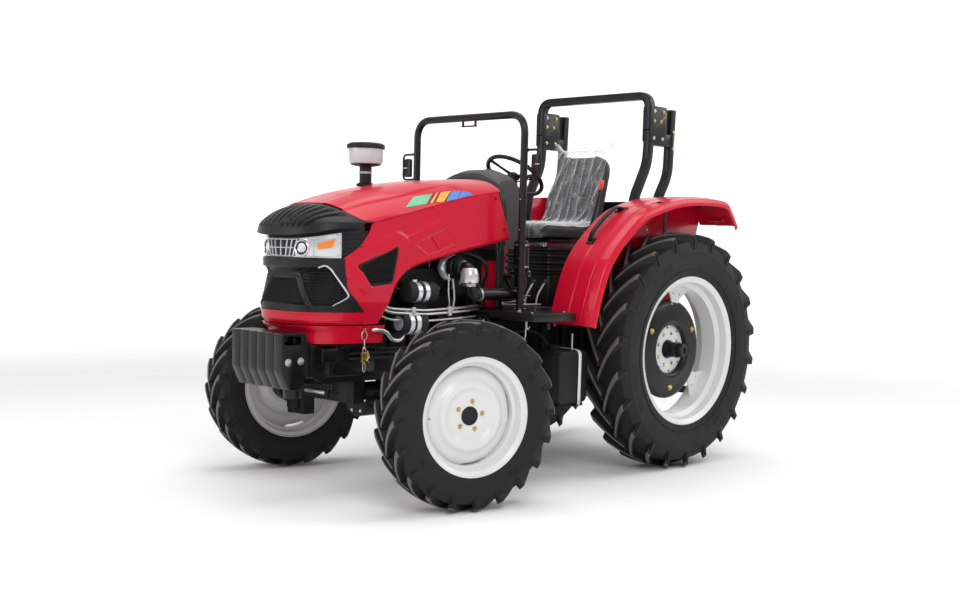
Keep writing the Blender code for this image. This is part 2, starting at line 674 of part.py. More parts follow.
def hood():
    seam = SEAM / 2
    top = canopy_skin("hood_top", 0, CAP_FROM, (0, -0.0024), "red_paint")
    canopy_skin("nose_cap", CAP_FROM, len(CANOPY) - 1, (seam, 0), "black_plastic")
    hinge = HOOD_HINGE
    ears = [block("ear", (fx(hinge[0] - 0.012), y - 0.02, hinge[1] - 0.012),
                  (fx(hinge[0] + 0.03), y + 0.02, 1.826), "red_paint") for y in (-0.12, 0.12)]
    holes = [rod("hole", (fx(hinge[0]), y - 0.03, hinge[1]), (fx(hinge[0]), y + 0.03, hinge[1]),
                 HINGE_PIN_R + PIN_PLAY, "red_paint", 12) for y in (-0.12, 0.12)]
    cut(join(top, *ears), *holes)
    mirrored(side_panel(), "hood_side_right")

    half = HOOD_HALF_W
    tuck = 0.02 * (1.1 - LIP_LOW) / 0.13
    low = CHEEK[0][1]
    lip = [(LIP_LOW, 0.668, half - tuck), (low - 0.0014, 0.674, half - 0.008)]
    wall("hood_lip", [nose_row(z, x, y, CHEEK[0][0] + SEAM) for z, x, y in lip], HOOD_SKIN, "red_paint")
    mask = [(low + 0.0005, 0.674, half - 0.008), (CHEEK[1][1], 0.66, half), (CHEEK[2][1], 0.645, half),
            (1.262, 0.615, half), (1.285, 0.658, half), (1.325, 0.664, half), (1.332, 0.648, half)]
    wall("nose_mask", [nose_row(z, x, y, cheek_x(z) + SEAM) for z, x, y in mask], HOOD_SKIN, "black_plastic")
    bar = [(1.332 + SEAM * 2, 0.646, half), (CHEEK[4][1], 0.647, half), (1.39, 0.65, half)]
    rows = [nose_row(z, x, y, cheek_x(z) + SEAM) for z, x, y in bar]
    last = []
    for x, y, _ in nose_row(0, 0.672, half - 0.002, CHEEK[5][0] + 0.006):
        last.append((x, y, CANOPY[-1][1] - CANOPY[-1][3] * abs(y / half) ** 3 - 0.009))
    wall("lamp_bar", [*rows, last], HOOD_SKIN, "lamp_chrome")


HOOD_HINGE = (HOOD_REAR, 1.79)
HINGE_PIN_R = 0.006


def valance():
    """Tray on the front casting with an upstanding rim, below the bonnet."""
    levels = [(SUPPORT_TOP + GAP, 0.604, 0.3), (0.935, 0.604, 0.31), (0.966, 0.645, 0.322)]
    rows = [[(fx(0.17), y, z), *nose_row(z, x, y, 0.0), (fx(0.17), -y, z)] for z, x, y in levels]
    rim = wall("valance", rows, 0.006, "red_paint")
    outline = [(fx(0.172), 0.297), *[(x, y) for x, y, _ in nose_row(0, 0.601, 0.297, 0.0)], (fx(0.172), -0.297)]
    tray = extrude("tray", outline, "Z", SUPPORT_TOP + GAP + 0.0002, TRAY_TOP, "red_paint")
    return join(rim, tray)


def precleaner():
    """Air intake: a pipe through the bonnet, a clear bowl and its cap."""
    x, y = fx(-0.065), -0.15
    profile = [(1.70, 0.0), (1.70, 0.036), (1.865, 0.036), (1.875, 0.085), (1.885, 0.1), (1.965, 0.104),
               (1.967, 0.112), (1.99, 0.112), (2.004, 0.095), (2.004, 0.0)]
    body = turned("precleaner", profile, "clear_plastic", 24, axis="Z", centre=(x, y, 0))
    top = bpy.data.objects["hood_top"]
    cut(top, rod("hole", (x, y, 1.6), (x, y, 1.9), 0.036 + GAP, "red_paint", 24))
    return body


# ---------------------------------------------------------------- dash, seat and platform
def exhaust():
    """Elbow from the turbocharger, pipe, silencer and tail pipe."""
    y = EXHAUST_Y
    path = rounded([(fx(-0.4), 0.33 + GAP, 1.29), (fx(-0.4), y, 1.29), (fx(-0.4), y, 1.137),
                    (fx(-0.83), y, 1.137), (fx(-0.83), y, 1.3)], 0.06)
    body = sweep("exhaust", path, circle(0.036, 12), (0.3, 1, 0.2), "black_paint")
    silencer = rod("silencer", (fx(-0.83), y, 1.26), (fx(-0.83), y, 1.46), 0.046, "black_paint", 16)
    flange = rod("flange", (fx(-0.83), y, 1.25), (fx(-0.83), y, 1.27), 0.062, "black_paint", 16)
    tail = rod("tail", (fx(-0.83), y, 1.45), (fx(-0.83), y, 1.62), 0.02, "black_paint", 12)
    return join(body, silencer, flange, tail)


EXHAUST_Y = 0.405


def cowl():
    """Instrument cowl, with the pins that the bonnet hinges on."""
    outline = [(-0.745, 1.4), (-0.745, 1.82), (-0.77, 1.868), (-0.84, 1.892), (-0.94, 1.885), (-1.04, 1.8),
               (-1.0, 1.55), (-0.95, 1.4)]
    body = extrude("cowl", from_front(outline), "Y", -0.27, 0.27, "grey_plastic")
    parts = []
    x, z = HOOD_HINGE
    for _, sign in SIDES:
        inner, outer = sorted((sign * 0.1406, sign * 0.16))
        parts.append(block("arm", (fx(-0.76), inner, z - 0.014), (fx(x + 0.007), outer, z + 0.007),
                           "grey_plastic"))
        parts.append(rod("pin", (fx(x), sign * 0.1, z), (fx(x), sign * 0.15, z), HINGE_PIN_R,
                         "grey_plastic", 12))
    return join(body, *parts)


def dash_pedestal():
    low = PLATFORM_TOP + GAP
    body = block("dash_pedestal", (fx(-0.97), -0.15, low), (fx(-0.75), 0.15, 1.4 - GAP), "black_plastic", 0.01)
    wall = block("firewall", (fx(-0.76), -0.33, low), (fx(-0.74), 0.33, 1.4 - GAP), "black_plastic")
    return join(body, wall)


WHEEL_CENTRE = (-1.18, 1.87)
WHEEL_TILT = math.radians(36)


def steering():
    x, z = WHEEL_CENTRE
    centre = Vector((fx(x), 0, z))
    up = Vector((-math.sin(WHEEL_TILT), 0, math.cos(WHEEL_TILT)))
    start = centre - up * 0.24
    column = rod("steering_column", start, centre - up * (0.02 + GAP), 0.028, "black_plastic", 16)
    cut(column, extrude("cowl_space", from_front([(-0.7, 1.3), (-0.7, 1.9), (-0.94, 1.885 + GAP * 2),
                                                 (-1.04 - GAP * 1.2, 1.8), (-1.0 - GAP, 1.55), (-0.95, 1.3)]),
                        "Y", -0.3, 0.3, "black_plastic"))
    axis = pivot("steering_wheel_axis", centre, (0, -WHEEL_TILT, 0))
    section = [(0.014 * math.sin(a), 0.19 + 0.014 * math.cos(a))
               for a in (2 * math.pi * i / 8 for i in range(8))]
    ring = turned("steering_wheel", section, "black_plastic", 32, axis="Z")
    hub = rod("hub", (0, 0, -0.02), (0, 0, 0.012), 0.036, "black_plastic", 20)
    spokes = []
    for k in range(3):
        a = math.radians(90 + 120 * k)
        spokes.append(rod("spoke", (0.02 * math.cos(a), 0.02 * math.sin(a), -0.006),
                          (0.187 * math.cos(a), 0.187 * math.sin(a), -0.001), 0.0085, "black_plastic", 8))
    join(ring, hub, *spokes)
    ring.parent = axis


def front_hoop():
    """Round hand-hold bar that stands on the platform beside the dash."""
    x, half, top = fx(DASH_X), HOOP_HALF, 2.2
    path = rounded([(x, -half, PLATFORM_TOP + GAP), (x, -half, top), (x, half, top), (x, half, PLATFORM_TOP + GAP)],
                   0.11, 5)
    body = sweep("front_hoop", path, circle(HOOP_R, 12), (1, 0, 0), "black_paint")
    bracket = block("bracket", (x - 0.012, -0.05, top - 0.05), (x + 0.012, 0.05, top - 0.01), "black_paint")
    return join(body, bracket)


HOOP_HALF = 0.47
HOOP_R = 0.0225


def mirror():
    x, y = fx(DASH_X), HOOP_HALF + HOOP_R + GAP
    arm = rounded([(x, y, 1.83), (x, 0.6, 1.83), (x, 0.6, 1.99), (x, y, 1.99)], 0.03, 3)
    body = sweep("mirror_left", arm, circle(0.007, 8), (1, 0, 0), "black_paint")
    head = block("head", (x - 0.018, 0.53, 1.845), (x + 0.006, 0.6, 1.965), "black_paint", 0.004)
    join(body, head)
    mirrored(body, "mirror_right")


def platform():
    """Foot platform: wide at the steps, narrower between the mudguards."""
    inner = FENDER_IN - FENDER_T - 0.001
    back = ENGINE_REAR - GAP
    outline = [(-0.58, 0.75), (-0.58, 0.225), (back, 0.225), (back, -0.225), (-0.58, -0.225), (-0.58, -0.75),
               (-0.96, -0.75), (-0.96, -inner), (-1.75, -inner), (-1.75, inner), (-0.96, inner), (-0.96, 0.75)]
    points = [(fx(x), y) for x, y in outline]
    body = extrude("platform", points, "Z", PLATFORM_TOP - PLATFORM_T, PLATFORM_TOP, "black_paint")
    stays = [block("stay", (fx(-0.67), -0.2, 0.99 + GAP), (fx(-0.61), 0.2, PLATFORM_TOP - 0.01), "black_paint")]
    tunnel = block("tunnel", (fx(-1.8), -0.151, 0.9), (fx(-1.74), 0.151, 1.2), "black_paint")
    return cut(join(body, *stays), tunnel)


def tank(side, sign):
    """Box beside the gearbox on its bracket: fuel on the left, battery on the right."""
    inner, outer = sorted((sign * 0.42, sign * 0.66))
    name = "fuel_tank" if sign > 0 else "battery_box"
    block(name, (fx(-1.19), inner, 0.476), (fx(-0.92), outer, 0.8), "black_plastic", 0.03)
    inner, outer = sorted((sign * (0.16 + GAP), sign * 0.64))
    shelf = block("tank_bracket_" + side, (fx(-1.17), inner, 0.456), (fx(-0.94), outer, 0.476 - GAP),
                  "black_paint")
    inner, outer = sorted((sign * (0.16 + GAP), sign * 0.19))
    join(shelf, block("plate", (fx(-1.17), inner, 0.46), (fx(-0.94), outer, 0.75), "black_paint"))


FENDER_LINE = [(1.022, 0.961), (0.985, 1.1), (0.911, 1.294), (0.835, 1.405), (0.732, 1.506), (0.544, 1.645),
               (0.345, 1.714), (0.137, 1.757), (-0.1, 1.772), (-0.357, 1.762), (-0.45, 1.69), (-0.519, 1.601)]


def inward(line):
    """For each point of a line over the rear wheel, the unit normal that points to the axle."""
    centre = Vector((0, REAR_TYRE_R))
    normals = []
    for i, point in enumerate(line):
        before = Vector(line[max(0, i - 1)])
        after = Vector(line[min(len(line) - 1, i + 1)])
        along = (after - before).normalized()
        normal = Vector((-along.y, along.x))
        normals.append(normal if normal.dot(centre - Vector(point)) > 0 else -normal)
    return normals


def arch(name, line, section, finish):
    """A section of (y, depth under the line) carried over the wheel along a line of (x, z)."""
    bm = bmesh.new()
    rings = []
    for (x, z), normal in zip(line, inward(line)):
        rings.append([bm.verts.new((rx(x + normal.x * d), y, z + normal.y * d)) for y, d in section])
    for first, second in zip(rings, rings[1:]):
        for i in range(len(section)):
            j = (i + 1) % len(section)
            bm.faces.new((first[i], first[j], second[j], second[i]))
    bm.faces.new(rings[0][::-1])
    bm.faces.new(rings[-1])
    return from_bmesh(name, bm, finish)


def fender():
    """Mudguard: curved top, turned-down outer edge, and the wall beside the seat."""
    inner, outer, thick = FENDER_IN - FENDER_T, FENDER_OUT, FENDER_T
    section = [(inner, 0), (outer - 0.02, 0), (outer, 0.012), (outer, 0.045), (outer - thick, 0.045),
               (outer - thick, 0.014), (outer - 0.022, thick), (inner, thick)]
    body = arch("fender_left", FENDER_LINE, section, "red_paint")
    top = [(x + n.x * 0.002, z + n.y * 0.002) for (x, z), n in zip(FENDER_LINE, inward(FENDER_LINE))]
    wall = top[1:-1] + [(-0.42, 1.4), (-0.3, 1.1), (-0.2, 1.042), (0.9, 1.042)]
    wall = extrude("wall", from_rear(wall), "Y", inner + 0.0004, FENDER_IN - 0.0004, "red_paint")
    join(body, wall)
    mirrored(body, "fender_right")


def seat():
    low = PLATFORM_TOP + GAP
    base = block("seat_base", (rx(0.27), -0.22, low), (rx(0.72), 0.22, 1.3), "black_plastic", 0.01)
    join(base, block("slide", (rx(0.3), -0.16, 1.29), (rx(0.7), 0.16, 1.47 - GAP), "black_plastic"))
    block("seat_cushion", (rx(0.31), -0.24, 1.47), (rx(0.81), 0.24, 1.58), "seat_vinyl", 0.03)
    lean = [(0.3, 1.47), (0.225, 1.47), (0.09, 2.0), (0.125, 2.035), (0.165, 2.02), (0.3, 1.52)]
    extrude("seat_back", from_rear(lean), "Y", -0.22, 0.22, "seat_vinyl")
    post = rod("hand_lever", (rx(0.59), 0.4, 1.42), (rx(0.495), 0.4, 1.85), 0.009, "black_paint", 10)
    foot = block("foot", (rx(0.56), 0.37, 1.4), (rx(0.62), FENDER_IN - FENDER_T - GAP, 1.44), "black_paint")
    knob = rod("knob", (rx(0.51), 0.4, 1.782), (rx(0.493), 0.4, 1.86), 0.019, "black_paint", 14)
    join(post, foot, knob)


# ---------------------------------------------------------------- roll bar
ROPS_IN = 0.446
ROPS_OUT = 0.5
ROPS_PLATE = 0.005
FOLD = (-0.045, 2.325)  # the fold pins, from the rear axle
FOLD_PIN_R = 0.009


def rops():
    """Four posts that stand on the axle tubes, joined by a beam and by the plates of the fold."""
    base = REAR_TYRE_R + 0.095 + GAP
    front = [(0.20, base), (0.20, 1.74), (0.07, 1.98), (0.06, 2.1), (0.06, 2.2)]
    back = [(-0.05, base), (-0.05, 1.74), (-0.16, 1.92), (-0.172, 2.35)]
    parts = []
    for _, sign in SIDES:
        y = sign * (ROPS_IN + ROPS_OUT) / 2
        wide = ROPS_OUT - ROPS_IN
        for line in (front, back):
            path = [Vector((rx(x), y, z)) for x, z in line]
            parts.append(sweep("rops_frame", path, rect(wide, 0.055), (0, 1, 0), "black_paint"))
        inner, outer = sorted((sign * ROPS_IN, sign * ROPS_OUT))
        parts.append(block("foot", (rx(-0.1), inner - 0.01, base), (rx(0.24), outer + 0.005, base + 0.02),
                           "black_paint"))
        parts.append(block("web", (rx(-0.18), inner, 2.1), (rx(0.06), outer, 2.19), "black_paint"))
        for y0 in (ROPS_IN - ROPS_PLATE, ROPS_OUT - 0.0001):
            inner, outer = sorted((sign * y0, sign * (y0 + ROPS_PLATE + 0.0001)))
            parts.append(block("plate", (rx(-0.09), inner, 2.12), (rx(0.09), outer, 2.36), "black_paint"))
        inner, outer = sorted((sign * (ROPS_IN - ROPS_PLATE), sign * (ROPS_OUT + ROPS_PLATE)))
        parts.append(rod("pin", (rx(FOLD[0]), inner, FOLD[1]), (rx(FOLD[0]), outer, FOLD[1]), FOLD_PIN_R,
                         "black_paint", 12))
    parts.append(block("beam", (rx(-0.075), -ROPS_IN - 0.01, 1.68), (rx(-0.025), ROPS_IN + 0.01, 1.74), "black_paint"))
    return join(parts[0], *parts[1:])


def rops_hoop():
    """Upper part of the roll bar: folds back about its pins."""
    y = (ROPS_IN + ROPS_OUT) / 2
    axis = pivot("fold_axis", (rx(FOLD[0]), 0, FOLD[1]))
    front, low, top = 0.06 - FOLD[0], 2.205 + GAP - FOLD[1], 2.428 - FOLD[1]
    path = rounded([(front, -y, low), (front, -y, top), (front, y, top), (front, y, low)], 0.05, 3)
    inset = 2 * GAP
    body = sweep("rops_hoop", path, rect(0.06, ROPS_OUT - ROPS_IN - inset), (1, 0, 0), "black_paint")
    ears = []
    holes = []
    for _, sign in SIDES:
        inner, outer = sorted((sign * (ROPS_IN + GAP), sign * (ROPS_OUT - GAP)))
        ears.append(block("ear", (-0.028, inner, -0.028), (front, outer, 0.028), "black_paint"))
        holes.append(rod("hole", (0, inner - 0.02, 0), (0, outer + 0.02, 0), FOLD_PIN_R + PIN_PLAY, "black_paint", 12))
    body = cut(join(body, *ears), *holes)
    body.parent = axis
    return body


# ---------------------------------------------------------------- three-point linkage
ARM_AXIS = (-0.17, 1.0)  # of the lift arms, from the rear axle
LINK_AXIS = (-0.13, 0.5)  # of the lower links
ARM_LENGTH = 0.34
LINK_DROP = math.radians(8)
LINK_LENGTH = (REAR_OVERHANG - 0.032 + LINK_AXIS[0]) / math.cos(LINK_DROP)
LINK_PIN_R = 0.011
ARM_Y = 0.235
ARM_HALF = 0.012
ROD_HALF = 0.014
ROD_Y = ARM_Y + ARM_HALF + GAP + ROD_HALF
LINK_Y = ROD_Y + ROD_HALF + GAP + ARM_HALF
END_Y = 0.4
END_R = 0.024
BALL_R = 0.032


def along_link(start, length):
    return start[0] - length * math.cos(LINK_DROP), start[1] - length * math.sin(LINK_DROP)


def cross_rod(name, place, y0, y1, radius, finish, steps=14):
    return rod(name, (rx(place[0]), y0, place[1]), (rx(place[0]), y1, place[1]), radius, finish, steps)


def lift_linkage():
    """Lift arms on their cross shaft, lift rods, and lower links."""
    tip = along_link(ARM_AXIS, ARM_LENGTH)
    meet = along_link(LINK_AXIS, ARM_LENGTH)
    ball = along_link(LINK_AXIS, LINK_LENGTH)
    shaft = cross_rod("lift_arms", ARM_AXIS, -ARM_Y - 0.02, ARM_Y + 0.02, 0.028, "cast_iron", 32)
    shaft_hole = cross_rod("hole", ARM_AXIS, -0.3, 0.3, 0.028 + GAP, "cast_iron", 32)
    cut(bpy.data.objects["transmission"], shaft_hole)
    parts = []
    for _, sign in SIDES:
        y = sign * ARM_Y
        start = Vector((rx(ARM_AXIS[0]), y, ARM_AXIS[1]))
        end = Vector((rx(tip[0]), y, tip[1]))
        parts.append(sweep("arm", [start, end], rect(2 * ARM_HALF, 0.05), (0, 1, 0), "cast_iron"))
        parts.append(cross_rod("boss", ARM_AXIS, y - ARM_HALF - 0.001, y + ARM_HALF + 0.001, 0.05, "cast_iron"))
        inner, outer = sorted((sign * (ARM_Y - ARM_HALF), sign * (ROD_Y + ROD_HALF)))
        parts.append(cross_rod("pin", tip, inner, outer, LINK_PIN_R, "cast_iron", 16))
    join(shaft, *parts)

    made = sweep("lift_rod_left", [Vector((rx(tip[0]), ROD_Y, tip[1])), Vector((rx(meet[0]), ROD_Y, meet[1]))],
                 rect(0.024, 0.024), (0, 1, 0), "cast_iron")
    eyes = [cross_rod("eye", p, ROD_Y - ROD_HALF, ROD_Y + ROD_HALF, END_R, "cast_iron") for p in (tip, meet)]
    holes = [cross_rod("hole", p, ROD_Y - 0.03, ROD_Y + 0.03, LINK_PIN_R + PIN_PLAY, "cast_iron", 16)
             for p in (tip, meet)]
    cut(join(made, *eyes), *holes)

    bend = along_link(LINK_AXIS, ARM_LENGTH + 0.05)
    link = sweep("lower_link_left", [Vector((rx(LINK_AXIS[0]), LINK_Y, LINK_AXIS[1])),
                                     Vector((rx(bend[0]), LINK_Y, bend[1])),
                                     Vector((rx(ball[0]), END_Y, ball[1]))],
                 rect(2 * ARM_HALF, 0.05), (0, 1, 0), "cast_iron")
    front_eye = cross_rod("eye", LINK_AXIS, LINK_Y - 0.013, LINK_Y + 0.018, 0.03, "cast_iron")
    rear_eye = cross_rod("eye", ball, END_Y - 0.018, END_Y + 0.018, BALL_R, "cast_iron")
    pin = cross_rod("pin", meet, ROD_Y - ROD_HALF, LINK_Y, LINK_PIN_R, "cast_iron", 16)
    join(link, front_eye, rear_eye, pin)
    cut(link, cross_rod("hole", LINK_AXIS, LINK_Y - 0.05, LINK_Y + 0.05, LINK_PIN_R + PIN_PLAY, "cast_iron", 16),
        cross_rod("hole", ball, END_Y - 0.05, END_Y + 0.05, LINK_PIN_R + PIN_PLAY, "cast_iron", 16))
    mirrored(made, "lift_rod_right")
    mirrored(link, "lower_link_right")

    cross = cross_rod("link_shaft", LINK_AXIS, -LINK_Y - 0.03, LINK_Y + 0.03, LINK_PIN_R, "cast_iron", 16)
    lug = block("lug", (rx(LINK_AXIS[0] - 0.03), -0.215, 0.47), (rx(LINK_AXIS[0] + 0.03), 0.215, 0.56 - GAP),
                "cast_iron")
    join(cross, lug)


TOP_AXIS = (-0.325, 0.92)


def top_link():
    """Threaded top link, parked upright."""
    x, z = TOP_AXIS
    axis = pivot("top_link_axis", (rx(x), 0, z))
    body = rod("top_link", (0, 0, 0.02), (0, 0, 0.5), 0.014, "cast_iron", 12)
    sleeve = rod("sleeve", (0, 0, 0.12), (0, 0, 0.4), 0.02, "cast_iron", 14)
    eyes = [rod("eye", (0, -0.014, h), (0, 0.014, h), END_R, "cast_iron", 16) for h in (0, 0.52)]
    holes = [rod("hole", (0, -0.03, h), (0, 0.03, h), LINK_PIN_R + PIN_PLAY, "cast_iron", 12)
             for h in (0, 0.52)]
    cut(join(body, sleeve, *eyes), *holes)
    body.parent = axis
    fork = [block("cheek", (rx(x - 0.02), y, z - 0.02), (rx(-0.26), y + 0.012, z + 0.02), "cast_iron")
            for y in (-0.0264, 0.0144)]
    pin = cross_rod("pin", TOP_AXIS, -0.02, 0.02, LINK_PIN_R, "cast_iron", 12)
    housing = bpy.data.objects["transmission"]
    room = block("room", (rx(x - 0.03), -0.0144, z - 0.04), (rx(x + 0.04), 0.0144, z + 0.1), "cast_iron")
    cut(housing, room)
    join(housing, *fork, pin)


# ---------------------------------------------------------------- assembly
def main():
    for old in list(bpy.data.objects):
        bpy.data.objects.remove(old)
    wheels()
    front_axle()
    tie_rod()
    front_support()
    front_weights()
    engine()
    transmission()
    driveshaft()
    drawbar()
    radiator()
    hood()
    valance()
    precleaner()
    exhaust()
    cowl()
    dash_pedestal()
    steering()
    front_hoop()
    mirror()
    platform()
    for side, sign in SIDES:
        tank(side, sign)
    fender()
    seat()
    rops()
    rops_hoop()
    lift_linkage()
    top_link()


main()
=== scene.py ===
"""Farm tractor with an open station: the look of each piece, built round its packed CAD frame.

Metres. +X is forwards, +Y is the driver's left, +Z is up, and the ground is at Z = 0.
"""

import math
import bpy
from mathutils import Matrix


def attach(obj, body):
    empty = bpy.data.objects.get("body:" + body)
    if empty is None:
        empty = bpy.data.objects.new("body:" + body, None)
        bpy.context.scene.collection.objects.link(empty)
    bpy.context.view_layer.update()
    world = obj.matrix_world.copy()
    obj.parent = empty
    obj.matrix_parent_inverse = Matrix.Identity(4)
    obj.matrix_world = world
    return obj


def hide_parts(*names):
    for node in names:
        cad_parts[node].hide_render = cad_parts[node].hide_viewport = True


bl_info = {
    "name": "Farm tractor",
    "version": (1, 0, 0),
    "blender": (4, 5, 0),
    "location": "View3D > Sidebar > Tractor",
    "description": "Builds a four-wheel-drive farm tractor with an open station, piece by piece",
    "category": "Add Mesh",
}

import bmesh
import bpy
import numpy as np
from mathutils import Matrix, Vector

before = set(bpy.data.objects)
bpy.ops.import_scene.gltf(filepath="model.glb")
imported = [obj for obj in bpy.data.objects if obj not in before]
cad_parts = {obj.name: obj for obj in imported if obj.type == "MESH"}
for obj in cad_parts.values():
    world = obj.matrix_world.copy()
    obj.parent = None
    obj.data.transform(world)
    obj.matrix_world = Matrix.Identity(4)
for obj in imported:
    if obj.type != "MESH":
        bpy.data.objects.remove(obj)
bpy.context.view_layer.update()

FRONT = 1.05  # x of the front axle
REAR = -0.96  # x of the rear axle
STEER = math.radians(13.5)
SIDES = (("left", 1), ("right", -1))
TAU = 2 * math.pi


# ---------------------------------------------------------------- shader trees
class Value:
    """A shader socket that takes part in arithmetic."""

    def __init__(self, paint, socket):
        self.paint, self.socket = paint, socket

    def __add__(self, other):
        return self.paint.math("ADD", self, other)

    def __sub__(self, other):
        return self.paint.math("SUBTRACT", self, other)

    def __rsub__(self, other):
        return self.paint.math("SUBTRACT", other, self)

    def __mul__(self, other):
        return self.paint.math("MULTIPLY", self, other)

    def __truediv__(self, other):
        return self.paint.math("DIVIDE", self, other)

    def __rtruediv__(self, other):
        return self.paint.math("DIVIDE", other, self)

    def __pow__(self, other):
        return self.paint.math("POWER", self, other)

    def __gt__(self, other):
        return self.paint.math("GREATER_THAN", self, other)

    __radd__ = __add__
    __rmul__ = __mul__


class Paint:
    """One material: a Principled shader and the nodes that vary it over the surface."""

    def __init__(self, name, colour, roughness=0.5, metallic=0.0, **constants):
        self.material = bpy.data.materials.new(name)
        self.material.use_nodes = True
        self.tree = self.material.node_tree
        self.shader = self.tree.nodes["Principled BSDF"]
        self.colour = (*colour[:3], 1.0)
        self.set("Base Color", self.colour)
        self.set("Roughness", roughness)
        self.set("Metallic", metallic)
        for key, value in constants.items():
            self.set(key.replace("_", " ").title().replace("Ior", "IOR"), value)

    def set(self, socket, value):
        self.feed(self.shader.inputs[socket], value)

    def feed(self, socket, value):
        if isinstance(value, Value):
            self.tree.links.new(value.socket, socket)
        else:
            socket.default_value = value

    def node(self, kind, settings=None, inputs=None, output=0):
        """A node of any type, with its settings and inputs, as the value of one output."""
        made = self.tree.nodes.new("ShaderNode" + kind)
        for key, value in (settings or {}).items():
            setattr(made, key, value)
        for key, value in (inputs or {}).items():
            self.feed(made.inputs[key], value)
        return Value(self, made.outputs[output])

    def math(self, operation, *values):
        return self.node("Math", {"operation": operation}, dict(enumerate(values)))

    def mix(self, factor, first, second):
        return self.node("Mix", {"data_type": "RGBA"}, {0: factor, 6: first, 7: second}, 2)

    def place(self, scale=(1, 1, 1)):
        """Object coordinates, stretched by scale."""
        here = self.node("TexCoord", output="Object")
        return self.node("VectorMath", {"operation": "MULTIPLY"}, {0: here, 1: scale})

    def noise(self, scale, detail=3.0, roughness=0.5, stretch=(1, 1, 1)):
        inputs = {"Vector": self.place(stretch), "Scale": scale, "Detail": detail, "Roughness": roughness}
        return self.node("TexNoise", {}, inputs)

    def cells(self, scale, feature="F1", stretch=(1, 1, 1)):
        inputs = {"Vector": self.place(stretch), "Scale": scale}
        return self.node("TexVoronoi", {"feature": feature}, inputs)

    def ramp(self, value, low, high, start=0.0, end=1.0):
        inputs = {"Value": value, "From Min": low, "From Max": high, "To Min": start, "To Max": end}
        return self.node("MapRange", {"interpolation_type": "SMOOTHSTEP"}, inputs)

    def axis(self, name):
        return self.node("SeparateXYZ", {}, {0: self.node("TexCoord", output="Object")}, "XYZ".index(name))

    def bump(self, height, strength=0.3, distance=0.001):
        inputs = {"Height": height, "Strength": strength, "Distance": distance}
        self.set("Normal", self.node("Bump", {}, inputs))

    def tinted(self, factor, other):
        """The base colour moves to another colour with a factor."""
        self.set("Base Color", self.mix(factor, self.colour, (*other, 1.0)))


def gloss(name, colour, coat=0.4, roughness=0.3, **constants):
    """Sprayed enamel: faint cloudiness under a clear coat with an orange-peel ripple."""
    made = Paint(name, colour, roughness, coat_weight=coat, coat_roughness=0.06, **constants)
    cloud = made.noise(3.0, 4.0)
    made.tinted(made.ramp(cloud, 0.3, 0.75, 0.0, 0.25), [c * 0.82 for c in colour])
    made.set("Roughness", made.ramp(cloud, 0.3, 0.7, roughness - 0.04, roughness + 0.06))
    made.bump(made.noise(420.0, 2.0), 0.06, 0.0004)
    return made.material


def satin(name, colour, roughness=0.4, grain=260.0, strength=0.2, dust=0.14, **constants):
    """Moulded plastic or powder coat: fine grain, with a little dust in broad patches."""
    made = Paint(name, colour, roughness, **constants)
    cloud = made.noise(5.0, 5.0, 0.6)
    pale = [c * 0.6 + 0.05 for c in colour]
    made.tinted(made.ramp(cloud, 0.45, 0.8, 0.0, dust), pale)
    made.set("Roughness", made.ramp(cloud, 0.3, 0.8, roughness - 0.05, roughness + 0.14))
    made.bump(made.noise(grain, 3.0, 0.6), strength, 0.0006)
    return made.material


def casting(name, colour):
    """Painted sand casting: pitted skin, thin paint worn dull in patches."""
    made = Paint(name, colour, 0.55, 0.1, specular_ior_level=0.3)
    wear = made.noise(11.0, 6.0, 0.65)
    made.tinted(made.ramp(wear, 0.5, 0.85, 0.0, 0.55), [c * 1.9 + 0.015 for c in colour])
    made.set("Roughness", made.ramp(wear, 0.3, 0.8, 0.42, 0.75))
    made.bump(made.noise(150.0, 5.0, 0.7) + made.noise(24.0, 2.0) * 1.5, 0.3, 0.0014)
    return made.material


def metal(name, colour, roughness=0.32, scratch=(1, 1, 1)):
    """Plated or machined metal with drawn marks and a slightly clouded plating."""
    made = Paint(name, colour, roughness, 1.0)
    marks = made.noise(90.0, 4.0, 0.6, scratch)
    made.set("Roughness", made.ramp(marks, 0.2, 0.8, roughness - 0.1, roughness + 0.16))
    made.tinted(made.ramp(made.noise(14.0, 3.0), 0.4, 0.8, 0.0, 0.4), [c * 0.72 for c in colour])
    made.bump(marks, 0.08, 0.0004)
    return made.material


def rubber(name, colour, roughness=0.72):
    """Tyre compound: mould bloom in broad patches and a fine matt skin."""
    made = Paint(name, colour, roughness, specular_ior_level=0.35)
    bloom = made.noise(7.0, 6.0, 0.62)
    made.tinted(made.ramp(bloom, 0.4, 0.8, 0.0, 0.6), [c * 1.7 + 0.006 for c in colour])
    made.set("Roughness", made.ramp(bloom, 0.3, 0.8, roughness - 0.14, roughness + 0.1))
    made.bump(made.noise(330.0, 4.0, 0.6) + made.noise(40.0, 3.0) * 0.8, 0.22, 0.0008)
    return made.material


def vinyl(name, colour):
    """Seat covering: leather-like pebbles and soft creases."""
    made = Paint(name, colour, 0.5, specular_ior_level=0.4)
    pebble = made.cells(300.0, "SMOOTH_F1")
    crease = made.noise(26.0, 5.0, 0.6, (1.0, 2.2, 1.0))
    made.set("Roughness", made.ramp(crease, 0.3, 0.7, 0.4, 0.58))
    made.tinted(made.ramp(crease, 0.5, 0.8, 0.0, 0.35), [c * 1.6 + 0.01 for c in colour])
    made.bump(pebble * 0.6 + crease, 0.3, 0.0012)
    return made.material


